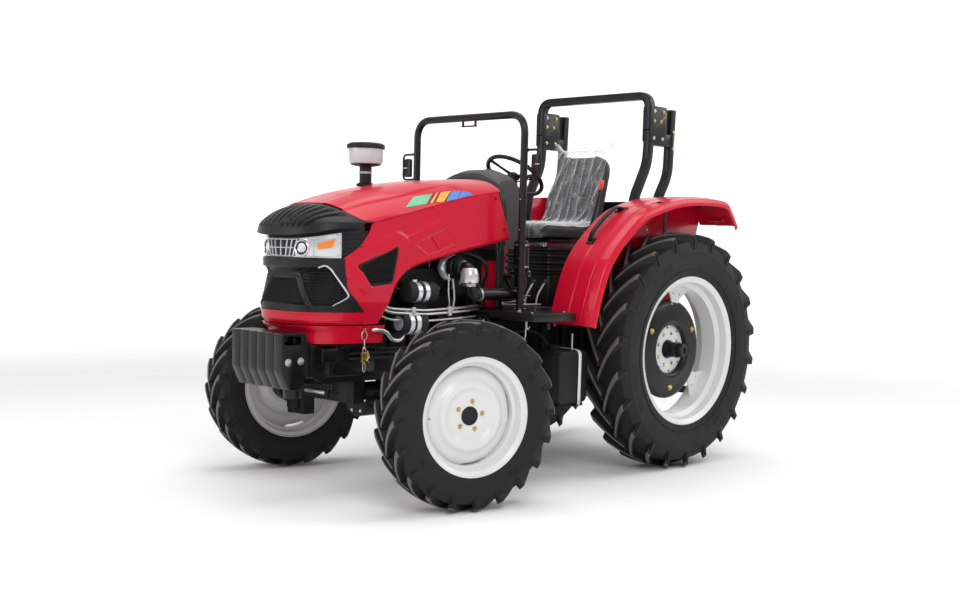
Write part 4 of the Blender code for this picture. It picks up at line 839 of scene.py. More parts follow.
def rear_wheel(name, turn, rim, body, nodes):
    """Rear rim with its lugs, dished disc, hub, bolts and valve."""
    shape = Shape(turn)
    well = rim - 0.06
    barrel(shape, rim, 0.128, well)
    for c in np.radians((98, 218, 338)):
        t = np.linspace(-1, 1, 9)
        spread = [(-0.030, 0.30, 0.10), (-0.030, 0.345, 0.15), (-0.026, 0.40, 0.24), (-0.022, 0.4215, 0.29)]
        P = [[(r * math.cos(c + w * v), o, r * math.sin(c + w * v)) for v in t] for o, r, w in spread]
        shape.shell(P, 0.009)
        for v in (-0.1, 0.1):
            shape.bolt((0.37 * math.cos(c + v), -0.026, 0.37 * math.sin(c + v)), (0, 1, 0), 0.009, 2)
    rings = spline([(-0.030, 0.158), (-0.012, 0.162), (0.0, 0.172), (0.004, 0.188), (0.002, 0.21), (-0.004, 0.25),
                    (-0.010, 0.28), (-0.018, 0.305), (-0.027, 0.318), (-0.036, 0.326)], np.linspace(0, 9, 33))
    disc(shape, rings, lambda t: 0 * t, 0.009, look=1)
    shape.lathe([(-0.075, 0), (-0.075, 0.135), (-0.070, 0.168), (-0.050, 0.172), (-0.036, 0.166), (-0.032, 0.155),
                 (-0.036, 0.06), (-0.036, 0)], steps=96)
    shape.lathe([(-0.036, 0), (-0.036, 0.062), (-0.02, 0.058), (-0.006, 0.05), (0.03, 0.047), (0.034, 0.052),
                 (0.05, 0.052), (0.054, 0.046), (0.08, 0.044), (0.094, 0.042), (0.1, 0.036), (0.1, 0.02),
                 (0.092, 0.018),
                 (0.092, 0)], look=1, steps=64)
    for k in range(8):
        a = TAU * (k + 0.4) / 8
        place = np.array([0.112 * math.cos(a), -0.036, 0.112 * math.sin(a)])
        shape.lathe([(-0.002, 0), (-0.002, 0.016), (0.002, 0.016), (0.002, 0)], place, (0, 1, 0), 18, 1)
        shape.bolt(place + (0, 0.002, 0), (0, 1, 0), 0.0085, 2)
        shape.bolt((0.145 * math.cos(a + 0.35), -0.0345, 0.145 * math.sin(a + 0.35)), (0, 1, 0), 0.0065, 1)
    for c in np.radians((30, 150, 270)):
        place = np.array([0.252 * math.cos(c), -0.004, 0.252 * math.sin(c)])
        shape.lathe([(-0.004, 0), (-0.004, 0.019), (0.002, 0.019), (0.002, 0)], place, (0, 1, 0), 24, 2)
        shape.bolt(place + (0, 0.002, 0), (0, 1, 0), 0.0125, 2, False)
        shape.dome(place + (0, 0.013, 0), (0, 1, 0), 0.007, 0.006, 2)
    for c in np.radians((90, 210, 330)):
        shape.bolt((0.3 * math.cos(c), -0.016, 0.3 * math.sin(c)), (0, 1, 0), 0.007, 3)
    shape.rod((0.36, 0.03, 0.18), (0.375, 0.075, 0.19), 0.0045, 3, 10)
    return shape.make(name, "white black brass steel", body, nodes, 30)


# ---------------------------------------------------------------- bonnet
CANOPY = np.array([  # x and z on the middle line from the front axle, x at the sides, fall at the sides
    (-0.70, 1.826, -0.70, 0.078), (-0.45, 1.806, -0.45, 0.1), (-0.2, 1.778, -0.2, 0.128),
    (0.056, 1.736, 0.056, 0.148), (0.27, 1.692, 0.2, 0.14), (0.47, 1.63, 0.275, 0.096),
    (0.585, 1.586, 0.31, 0.056), (0.665, 1.52, 0.345, -0.004), (0.688, 1.452, 0.372, -0.046)])
CHEEK = np.array([(0.33, 1.045), (0.391, 1.11), (0.441, 1.164), (0.462, 1.25), (0.466, 1.335), (0.372, 1.395),
                  (0.305, 1.475), (0.283, 1.531)])
LEVELS = np.array([(0.975, 0.668, 0.326), (1.044, 0.674, 0.337), (1.11, 0.665, 0.345), (1.164, 0.65, 0.345),
                   (1.255, 0.622, 0.345), (1.285, 0.655, 0.345), (1.325, 0.661, 0.345), (1.333, 0.647, 0.345),
                   (1.40, 0.648, 0.345), (1.52, 0.64, 0.345)])
ROUND = 2.6
BONNET_HALF = 0.345  # half width of the bonnet


def canopy(s, t, out=0.0):
    """Top of the bonnet. Row s bows forwards by (1 - |t|^2.6)^(1/2.6) and falls with |t|^3."""
    s, t = np.broadcast_arrays(np.asarray(s, float), np.asarray(t, float))
    x, z, side, fall = np.moveaxis(spline(CANOPY, s), -1, 0)
    bow = np.maximum(0, 1 - np.abs(t) ** ROUND) ** (1 / ROUND)
    half = BONNET_HALF - 0.0005
    P = np.stack([FRONT + side + (x - side) * bow, half * t, z - fall * np.abs(t) ** 3], -1)
    if np.any(out):
        e = 2e-3
        ds = (canopy(s + e, t) - canopy(s - e, t))
        dt = (canopy(s, t + e) - canopy(s, t - e))
        P = P + unit(np.cross(dt, ds)) * -np.asarray(out)[..., None]
    return P


def nose(a, z, out=0.0):
    """Front of the bonnet at angle a round it (degrees) and height z: a superellipse in plan."""
    a, z = np.broadcast_arrays(np.asarray(a, float), np.asarray(z, float))
    front = np.interp(z, LEVELS[:, 0], LEVELS[:, 1])
    half = np.interp(z, LEVELS[:, 0], LEVELS[:, 2])
    flat = 0.655
    front = front + (np.minimum(front, flat) * 0.15 + flat * 0.85 - front) * smooth(np.abs(a), 40, 58)
    r = np.radians(a)
    c, s = np.abs(np.cos(r)), np.abs(np.sin(r))
    x = 0.28 + (front - 0.28) * c ** (2 / ROUND)
    y = half * np.sign(r) * s ** (2 / ROUND)
    normal = unit(np.stack([c ** (2 - 2 / ROUND) / 0.38, np.sign(r) * s ** (2 - 2 / ROUND) / BONNET_HALF, 0 * x], -1))
    return np.stack([FRONT + x, y, z], -1) + normal * np.asarray(out)[..., None]


def nose_angle(y):
    """Angle in degrees round the nose at which it is y off the middle line."""
    return np.degrees(np.arcsin((np.abs(y) / BONNET_HALF) ** (ROUND / 2))) * np.sign(y)


def flank_y(x, z):
    """Half width of the bonnet's side at x ahead of the front axle and height z."""
    half = BONNET_HALF - 0.02 * np.maximum(0, (1.1 - z) / 0.13)
    bend = np.maximum(0, 1 - (np.maximum(0, x - 0.28) / 0.392) ** ROUND) ** (1 / ROUND)
    return half * bend


def flank(x, z, out=0.0):
    """Side of the bonnet: the point over (x, z), out from it along Y."""
    x, z = np.broadcast_arrays(np.asarray(x, float), np.asarray(z, float))
    return np.stack([FRONT + x, flank_y(x, z) + out, z], -1)


VENT = np.array([(0.372, 1.294), (0.098, 1.402), (0.14, 1.203), (0.287, 1.188)])
EMBOSS = np.array([(-0.026, 1.421), (-0.13, 1.358), (-0.346, 1.427), (-0.274, 1.513)])


def bonnet_top(skin):
    """Painted top: a raised middle field, a scoop at its front, catches and a seal along its rear edge."""
    s, t = np.meshgrid(np.linspace(0.0, 4.955, 110), np.sin(np.linspace(-1, 1, 103) * math.pi / 2), indexing="ij")
    edge = 0.74 - 0.1 * smooth(s, 3.0, 1.0)
    lift = 0.007 * smooth(edge - np.abs(t), -0.012, 0.02) * smooth(s, 1.0, 2.4)
    scoop = -0.004 * smooth(0.36 - np.abs(t), 0, 0.03) * smooth(s, 3.9, 4.4)
    shape = Shape()
    shape.shell(canopy(s, t, lift + scoop - 0.002), skin)
    for sign in (-1, 1):
        y = sign * 0.12
        shape.box((FRONT - 0.712, y - 0.014, 1.778), (FRONT - 0.672, y + 0.014, 1.812), 0.003)
        shape.lathe([(-0.02, 0.0066), (-0.02, 0.012), (0.02, 0.012), (0.02, 0.0066)], (FRONT - 0.70, y, 1.79))
    seal = [canopy(np.full(41, 0.02), np.linspace(-0.98, 0.98, 41))[k] + (0, 0, -0.014) for k in range(41)]
    shape.sweep(seal, circle(0.006, 8), (1, 0, 0), 1)
    return shape.make("hood_top_panel", "red hose", "hood", ["hood_top"], 50)


def stripes():
    """Three swept fields of colour on the shoulder of the bonnet, laid on as thin film."""
    shape = Shape()
    fields = [([(2.90, 0.93), (2.50, 0.80), (1.98, 0.815), (2.32, 0.95)], 0),
              ([(2.22, 0.955), (1.86, 0.815), (1.80, 0.815), (2.14, 0.955)], 1),
              ([(2.06, 0.96), (1.72, 0.82), (1.42, 0.835), (1.84, 0.985)], 1),
              ([(1.78, 0.985), (1.38, 0.835), (1.12, 0.865), (1.44, 0.993)], 2)]
    for corners, look in fields:
        patch(shape, corners, canopy, -0.004, 0.0006, (24, 16), look)
    tail = [(1.41, 0.992), (1.09, 0.868), (0.93, 0.93), (0.915, 0.985)]
    patch(shape, tail, canopy, -0.004, 0.0006, (16, 12), 2)
    for a, b in (((2.27, 0.957), (1.92, 0.812)), ((2.10, 0.962), (1.76, 0.815)), ((1.81, 0.985), (1.40, 0.832))):
        ribbon(shape, np.linspace(a, b, 16), canopy, 0.004, -0.004, 0.0011, 3)
    shape.both()
    return shape.make("hood_stripes", "green orange blue dark", "hood", angle=60)


def side_panel(side, sign, skin):
    """Painted side: a band between the top edge with the cheek and the swept lower edge."""
    top = [(-0.682, 1.7415), *[(CANOPY[i, 2], CANOPY[i, 1] - CANOPY[i, 3] - 0.0055) for i in range(1, 5)]]
    upper = np.vstack([spline(top, np.linspace(0, 4, 90)), CHEEK[::-1]])
    lower = np.array([(-0.796, 1.459), (-0.4, 1.383), (-0.06, 1.305), (0.04, 1.262), (0.098, 1.21), (0.118, 1.165),
                      (0.135, 1.12), (0.168, 1.06), (0.222, 0.977)])
    lower = rounded(lower, 0.05, 5)

    def even(path, marks, n):
        far = np.concatenate([[0], np.cumsum(np.linalg.norm(np.diff(path, axis=0), axis=1))])
        return np.stack([np.interp(np.interp(np.linspace(0, 1, n), *marks), far / far[-1], path[:, k])
                         for k in (0, 1)], 1)

    n = 216
    upper = even(np.vstack([upper, [(0.33, 0.977)]]), ([0, 1], [0, 1]), n)
    lower = even(lower, ([0, 0.55, 0.72, 1], [0, 0.60, 0.72, 1]), n)
    v = np.linspace(0, 1, 54)[None, :, None]
    uv = upper[:, None] * (1 - v) + lower[:, None] * v
    x, z = uv[..., 0], uv[..., 1]
    flat = np.stack([x.ravel(), z.ravel()], 1)
    d = edge_distance(flat, VENT).reshape(x.shape)
    out = -0.010 * smooth(-d, -0.004, 0.008)
    out += 0.006 * smooth(0.045 - np.abs(d - 0.045), 0, 0.02) * (d > 0) * smooth(z, 1.12, 1.2)
    line = 1.56 - (x + 0.22) * 0.4 - 0.30 * np.maximum(0, x - 0.05) ** 1.3
    out += -0.007 * smooth(z - line, -0.004, 0.02) * smooth(x, -0.34, -0.2)
    d = edge_distance(flat, EMBOSS).reshape(x.shape)
    out += -0.0045 * smooth(-d, -0.002, 0.005)
    roll = smooth(np.broadcast_to(1 - v[..., 0], x.shape), 0, 0.05)
    out += -0.012 * (1 - roll)
    P = flank(x, z, np.minimum(out, 0.0045) - 0.003)
    shape = Shape()
    shape.shell(P, skin)

    ribbon(shape, eased(VENT, 0.02), flank, 0.012, -0.016, -0.0005, 2, True)
    for path in ([(-0.149, 1.466), (-0.21, 1.397)], [(-0.06, 1.445), (-0.262, 1.521)],
                 [(-0.319, 1.552), (-0.41, 1.452)],
                 [(-0.357, 1.559), (-0.446, 1.439)]):
        ribbon(shape, np.linspace(*path, 12), flank, 0.004, -0.009, -0.0028, 0)
    ribbon(shape, eased(EMBOSS, 0.012), flank, 0.0045, -0.009, -0.0026, 0, True)
    ribbon(shape, curve([(0.07, 1.44), (-0.02, 1.475), (-0.185, 1.515), (-0.3, 1.535)], 30), flank, 0.006,
           -0.009, -0.002, 0)
    # painted shade: this dark plate under the netting stands in for the shade of the engine bay behind the vent
    patch(shape, inset(VENT, 0.004), flank, -0.020, -0.0115, (20, 14), 1)
    honeycomb(shape, inset(VENT, 0.008), flank, 0.0145, 0.0034, -0.0125, -0.003, 1.0, 2)
    for x0, z0 in ((-0.66, 1.70), (-0.74, 1.52)):
        shape.bolt(flank(np.array(x0), np.array(z0), -0.003), (0, 1, 0), 0.006, 2)
    if sign < 0:
        shape.mirrored()
    return shape.make("hood_side_" + side + "_panel", "red dark plastic", "hood", ["hood_side_" + side],
                      40)


def nose_cap():
    """Black cap: fins over the top that run back from a smooth brow."""
    s, t = np.meshgrid(np.linspace(5.0, 8.0, 66), np.sin(np.linspace(-1, 1, 223) * math.pi / 2), indexing="ij")
    spread = 0.118 + 0.045 * smooth(s, 7.6, 5.2)
    wave = np.abs(((np.abs(t) / spread) % 1.0) - 0.5) * 2
    zone = smooth(s, 7.45, 7.2) * smooth(s, 5.15, 5.4) * smooth(spread * 5.5 - np.abs(t), 0, 0.02)
    lift = -0.013 * smooth(wave, 0.35, 0.65) * zone - 0.002 * smooth(s, 5.1, 5.0)
    shape = Shape()
    shape.shell(canopy(s, t, lift), 0.006)
    for k in range(-5, 6):
        base = canopy(7.5, k * 0.118, -0.003)
        shape.dome(base, (0.6, 0, 0.8), 0.005, 0.003, 0, 12)
    return shape.make("nose_cap_moulding", "plastic", "hood", ["nose_cap"], 30)


def lamp_unit():
    """Headlamps, slotted middle grille and indicators in one bright band, with louvres behind."""
    shape = Shape()

    def brow(a):
        """Height of the cap's lower edge over the band."""
        y = nose(a, 1.42)[..., 1] / BONNET_HALF
        return 1.452 + 0.046 * np.abs(y) ** 3 - 0.016

    def band(a, w, out=0.0):
        return nose(a, 1.334 + (brow(a) - 1.334) * np.asarray(w), out)

    a, w = np.meshgrid(np.linspace(-64, 64, 150), np.linspace(0, 1, 18), indexing="ij")
    bulge = -0.012 + 0.004 * np.sin(w * math.pi)
    shape.shell(band(a, w, bulge), 0.006)
    for side in (-1, 1):
        # painted shade: a dark plate behind the louvre slats stands in for the shade inside the nose
        a, w = np.meshgrid(np.linspace(64, 88, 30) * side, np.linspace(-0.25, 1.02, 14), indexing="ij")
        P = band(a, w, np.full(a.shape, -0.016))
        shape.shell(P if side > 0 else P[::-1], 0.005, 1)
        for k in range(6):
            v = 0.12 + 0.15 * k
            path = np.stack([np.linspace(66.5, 85.5 - k * 0.3, 10) * side,
                             np.full(10, v) + np.linspace(0, 0.03, 10)], 1)
            ribbon(shape, path, band, 0.008, -0.016, -0.0095, 2)
        frame_path = eased([(65.2 * side, 0.03), (86.0 * side, 0.10), (87.2 * side, 0.98), (65.2 * side, 0.93)], 0.06)
        ribbon(shape, frame_path, band, 0.008, -0.016, -0.0105, 2, True)
        y = 0.158 * side
        place = nose(nose_angle(abs(y)) * side, 1.385, -0.010)
        out = unit(np.array([0.93, 0.36 * side, 0.05]))
        ring = [(0.0, 0.038), (0.0, 0.046), (0.010, 0.0445), (0.013, 0.040), (0.010, 0.036), (0.002, 0.034)]
        shape.lathe(ring, place, out, 48, 0)
        shape.lathe([(0.002, 0.026), (0.002, 0.0352), (0.009, 0.0352), (0.0115, 0.032), (0.0085, 0.027)], place,
                    out, 48, 1)
        bowl = [(-0.004, 0), (-0.004, 0.01), (0.0, 0.018), (0.006, 0.027), (0.003, 0.028), (-0.008, 0.018),
                (-0.012, 0)]
        shape.lathe(bowl, place, out, 40, 3)
        shape.dome(place - out * 0.001, out, 0.008, 0.007, 3, 20)
        cover = [(0.012, 0), (0.011, 0.012), (0.009, 0.022), (0.006, 0.0275), (0.004, 0.0275), (0.007, 0.021),
                 (0.009, 0.012), (0.010, 0)]
        shape.lathe(cover, place, out, 40, 4)
        corners = [(39 * side, 0.40), (55.5 * side, 0.46), (57.5 * side, 0.80), (38.5 * side, 0.64)]
        order = corners if side > 0 else corners[::-1]
        patch(shape, order, band, -0.012, 0.000, (16, 8), 5)
        ribbon(shape, eased(corners, 0.5), band, 0.005, -0.012, 0.001, 0, True)
        ribbon(shape, eased([(34.5 * side, 0.06), (63 * side, 0.14), (63.2 * side, 0.94), (34.0 * side, 0.80)],
                            0.08), band,
               0.006, -0.012, -0.003, 0, True)
    # painted shade: a dark strip set back in the gap between the band and the cap stands in for the shade there
    a, w = np.meshgrid(np.linspace(-86, 86, 120), np.linspace(0.96, 1.5, 8), indexing="ij")
    shape.shell(band(a, w, np.full(a.shape, -0.024)), 0.003, 1)
    # painted shade: a dark plate behind the grille bars stands in for the shade seen through the slots
    lattice = [(-16.5, 0.9), (-12, 0.08), (12, 0.08), (16.5, 0.9)]
    patch(shape, [lattice[1], lattice[2], lattice[3], lattice[0]], band, -0.012, -0.0065, (30, 8), 1)
    for k in range(7):
        f = k / 6 * 2 - 1
        ribbon(shape, np.linspace((11.4 * f, 0.08), (16.0 * f, 0.92), 10), band, 0.0065, -0.009, 0.003, 0)
    for v in (0.06, 0.5, 0.94):
        reach = 12 + 4.5 * v
        ribbon(shape, np.linspace((-reach, v), (reach, v), 24), band, 0.007, -0.009, 0.004, 0)
    ribbon(shape, np.linspace((-63.5, 0.03), (63.5, 0.03), 90), band, 0.008, -0.012, -0.001, 0)
    ribbon(shape, np.linspace((-63.5, 0.98), (63.5, 0.98), 90), band, 0.006, -0.014, -0.003, 0)
    return shape.make("headlamp_band", "chrome dark plastic reflector glass amber", "hood", ["lamp_bar"],
                      34)


def cheek_angle(z):
    """Angle round the nose at which the black mask meets the painted cheek."""
    x = np.interp(z, CHEEK[:, 1], CHEEK[:, 0])
    return np.degrees(np.arccos(np.clip((x - 0.28) / 0.388, 0, 1) ** (ROUND / 2)))


def nose_mask():
    """Black lower grille: ledge, framed middle opening, netting and bright blades at the sides."""
    shape = Shape()
    v, w = np.meshgrid(np.linspace(-1, 1, 201), np.linspace(0, 1, 52), indexing="ij")
    z = 1.0462 + (1.3318 - 1.0462) * w
    a = v * (cheek_angle(z) - 0.25)
    y = np.abs(nose(a, z)[..., 1])
    flat = np.stack([y.ravel(), z.ravel()], 1)
    hole = np.array([(-0.1, 1.222), (0.108, 1.222), (0.2, 1.082), (-0.1, 1.082)])
    d = edge_distance(flat, hole).reshape(z.shape)
    out = -0.022 * smooth(-d, -0.002, 0.012)
    net = np.array([(11, 1.262), (45, 1.290), (54, 1.262), (69.5, 1.137), (57, 1.082), (34.5, 1.082)])
    spots = np.stack([np.abs(a).ravel() / 300, z.ravel()], 1)
    d = edge_distance(spots, net / (300, 1)).reshape(z.shape)
    side = y > 0.13 + 0.09 * (1.257 - z) / 0.18
    out += -0.019 * smooth(-d, -0.004, 0.006) * smooth(y - (0.135 + 0.095 * (1.245 - z) / 0.16), -0.004, 0.008) * side
    shape.shell(nose(a, z, out - 0.002), 0.005)
    for sign in (-1, 1):
        def surface(u, q, h, sign=sign):
            return nose(u * sign, q, h)

        honeycomb(shape, np.array([(17, 1.255), (44, 1.284), (53, 1.258), (68, 1.138), (56, 1.088),
                                   (37, 1.088)]), surface,
                  0.0185, 0.0048, -0.017, -0.006, 150.0, 0)
        blade = rounded([(40.5, 1.283), (47, 1.296), (52.5, 1.282), (71.3, 1.142), (70.8, 1.125), (56, 1.079)],
                        4.0, 6)
        width = 0.011 * (1 - 0.4 * np.linspace(0, 1, len(blade)) ** 3)
        ribbon(shape, blade, surface, width, -0.010, 0.003, 1)
        edge = [(13.2, 1.254), (44, 1.296), (54.5, 1.272), (73, 1.14), (72, 1.114), (57, 1.064), (33, 1.064)]
        ribbon(shape, rounded(edge, 3.0, 5), surface, 0.010, -0.010, 0.002, 0)
    frame_path = []
    for y0, z0 in ((-0.114, 1.232), (0.114, 1.232), (0.212, 1.074), (-0.212, 1.074)):
        frame_path.append((nose_angle(y0), z0))
    ribbon(shape, eased(frame_path, 0.02, 3), nose, 0.017, -0.010, 0.004, 0, True)
    for k in range(14):
        q = 1.086 + 0.0098 * k
        reach = nose_angle(np.interp(q, [1.082, 1.222], [0.196, 0.105]))
        path = np.stack([np.linspace(-reach, reach, 40), np.full(40, q)], 1)
        ribbon(shape, path, nose, 0.002, -0.020, -0.015, 2)
    for k in range(-12, 13):
        y0 = 0.0155 * k
        top = min(1.220, 1.082 + (0.2 - abs(y0)) * 1.52)
        if top < 1.1:
            continue
        u = nose_angle(y0)
        ribbon(shape, np.linspace((u, 1.084), (u, top), 8), nose, 0.002, -0.020, -0.014, 2)
    return shape.make("nose_mask_moulding", "plastic chrome dark", "hood", ["nose_mask"], 30)


def nose_lip(skin):
    """Painted lip under the mask, turned in at its lower edge."""
    shape = Shape()
    a, w = np.meshgrid(np.linspace(-1, 1, 160), np.linspace(0, 1, 14), indexing="ij")
    z = 0.977 + (1.0435 - 0.977) * w
    a = a * (cheek_angle(1.045) - 0.2)
    roll = -0.012 * smooth(w, 0.3, 0.0) - 0.001
    shape.shell(nose(a, z, roll), skin)
    ribbon(shape, np.stack([np.linspace(-62, 62, 90), np.full(90, 1.036)], 1), nose, 0.010, -0.004, 0.0008, 0)
    return shape.make("nose_lip_panel", "red", "hood", ["hood_lip"], 40)


def valance():
    """Painted rim round the tray on the front casting."""
    shape = Shape()

    def row(z, front, half, n=120):
        a = np.linspace(math.pi / 2, -math.pi / 2, n)
        x = front * np.abs(np.cos(a)) ** (2 / 4.2)
        y = half * np.sign(a) * np.abs(np.sin(a)) ** (2 / 4.2)
        mid = np.stack([FRONT + x, y, np.full(n, z)], 1)
        ends = [np.array([[FRONT + 0.172, s * half, z]]) for s in (1, -1)]
        keep = mid[mid[:, 0] > FRONT + 0.18]
        return np.vstack([ends[0], keep, ends[1]])

    rows = [row(z, f, h) for z, f, h in ((0.8715, 0.600, 0.300), (0.89, 0.603, 0.303), (0.93, 0.604, 0.309),
                                         (0.942, 0.612, 0.312), (0.956, 0.636, 0.319), (0.969, 0.643, 0.3215))]
    n = min(len(r) for r in rows)
    rows = [r[np.linspace(0, len(r) - 1, n).astype(int)] for r in rows]
    P = np.array(rows)
    shape.shell(P, 0.006)
    tray = np.array([(p[0] - 0.006 * (p[0] > FRONT + 0.2), p[1] * 0.975) for p in rows[0]])
    shape.prism(tray, "Z", 0.8712, 0.8786, 0.001)
    for y in (-0.25, 0.25):
        for x in (0.25, 0.45):
            shape.bolt((FRONT + x, y, 0.8786), (0, 0, 1), 0.008, 1)
    return shape.make("front_valance", "red zinc", "chassis", ["valance"], 34)


def precleaner():
    """Air intake through the bonnet: pipe with a clamp, clear bowl with vanes, and its cap."""
    x, y = FRONT - 0.065, -0.15
    shape = Shape()
    c = (x, y, 0)
    z = (0, 0, 1)
    shape.lathe([(1.702, 0), (1.702, 0.0355), (1.868, 0.0355), (1.872, 0.03), (1.872, 0)], c, z, 48)
    shape.lathe([(1.752, 0.034), (1.748, 0.05), (1.754, 0.056), (1.764, 0.05), (1.770, 0.036)], c, z, 48)
    shape.lathe([(1.822, 0.034), (1.822, 0.0372), (1.834, 0.0372), (1.834, 0.034)], c, z, 48, 1)
    shape.rod((x + 0.037, y - 0.012, 1.828), (x + 0.037, y + 0.016, 1.828), 0.004, 1, 10)
    shape.lathe([(1.866, 0.03), (1.864, 0.05), (1.870, 0.082), (1.878, 0.092), (1.884, 0.09), (1.88, 0.06),
                 (1.876, 0.03)], c, z, 64)
    bowl = [(1.876, 0.088), (1.880, 0.098), (1.900, 0.1025), (1.955, 0.1045), (1.967, 0.105), (1.967, 0.101),
            (1.955, 0.1005), (1.9, 0.0985), (1.884, 0.088)]
    shape.lathe(bowl, c, z, 72, 2)
    shape.lathe([(1.880, 0.0), (1.880, 0.06), (1.925, 0.05), (1.93, 0.0)], c, z, 40)
    for k in range(12):
        a = TAU * k / 12
        p, q = np.array((x, y, 1.89)), np.array((math.cos(a), math.sin(a), 0))
        s = np.array((-math.sin(a), math.cos(a), 0))
        P = [[p + q * r + s * (b * 0.02 + (r - 0.05) * 0.25) + (0, 0, h) for r in (0.05, 0.07, 0.094)] for b,
             h in ((0, 0), (0.5, 0.035), (1, 0.07))]
        shape.shell(P, 0.002)
    shape.lathe([(1.966, 0.0), (1.966, 0.110), (1.970, 0.1118), (1.985, 0.1118), (1.992, 0.108), (2.000, 0.09),
                 (2.0035, 0.05), (2.0035, 0)], c, z, 72)
    shape.lathe([(2.0, 0.0), (2.0, 0.012), (2.004, 0.012), (2.0045, 0.0)], c, z, 24, 1)
    return shape.make("air_precleaner", "plastic steel bowl", "hood", ["precleaner"], 34)


# ---------------------------------------------------------------- front end
def facing(ring, outline):
    """The points of a convex ring that lie in line with each point of the outline, seen from the ring's middle."""
    middle = ring.mean(0)
    edge = np.roll(ring, -1, 0) - ring
    start, out = ring - middle, (outline - middle)[:, None]
    with np.errstate(divide="ignore", invalid="ignore"):
        reach = (start[:, 0] * edge[:, 1] - start[:, 1] * edge[:, 0]) / (out[..., 0] * edge[:, 1] - out[...,
            1] * edge[:, 0])
    reach = np.where(reach > 0, reach, np.inf).min(1)
    return middle + out[:, 0] * reach[:, None]


def weights(plates):
    """Suitcase plates side by side on the carrier, each with a slotted handle and eased edges."""
    outline = eased([(0.800, 0.934), (0.640, 0.934), (0.640, 0.697), (0.671, 0.631), (0.751, 0.631),
                     (0.800, 0.731)], 0.012)
    outline = np.vstack([np.linspace(p, q, 1 + int(np.hypot(*(q - p)) / 0.010), endpoint=False)
                         for p, q in zip(outline, np.roll(outline, -1, 0))]) + (FRONT, 0)
    slot = [(0.782, 0.918), (0.672, 0.918), (0.672, 0.874), (0.690, 0.868), (0.782, 0.868)]
    slot = eased(slot, 0.012) + (FRONT, 0)
    shape = Shape()
    pitch = 0.46 / plates
    e, g = 0.004, 0.0006  # eased edge, and half the gap between two plates
    for k in range(plates):
        y = -0.23 + pitch * k
        levels = [(e, y + g), (e * 0.3, y + g + e * 0.3), (0, y + g + e), (0, y + pitch - g - e),
                  (e * 0.3, y + pitch - g - e * 0.3), (e, y + pitch - g)]
        rings = [upright(inset(outline, d), place) for d, place in levels]
        inner = [upright(facing(inset(slot, -d), outline), place) for d, place in levels[::-1]]
        shape.grid(rings + inner, (True, True))
        shape.box((FRONT + 0.672, y + g + 0.010, 0.866), (FRONT + 0.784, y + pitch - g - 0.010, 0.872), 0.002)
    shape.box((FRONT + 0.6185, -0.21, 0.80), (FRONT + 0.6395, 0.21, 0.915), 0.004)
    for sign in (-1, 1):
        for x, z in ((0.760, 0.781), (0.678, 0.784)):
            shape.rod((FRONT + x, sign * 0.2295, z), (FRONT + x, sign * 0.233, z), 0.021, 1, 28)
            shape.rod((FRONT + x, sign * 0.232, z), (FRONT + x, sign * 0.241, z), 0.0135, 1, 20, 0.5)
            shape.rod((FRONT + x, sign * 0.24, z), (FRONT + x, sign * 0.249, z), 0.006, 1, 12)
    return shape.make("front_weight_plates", "black zinc", "chassis", ["front_weights"], 32)


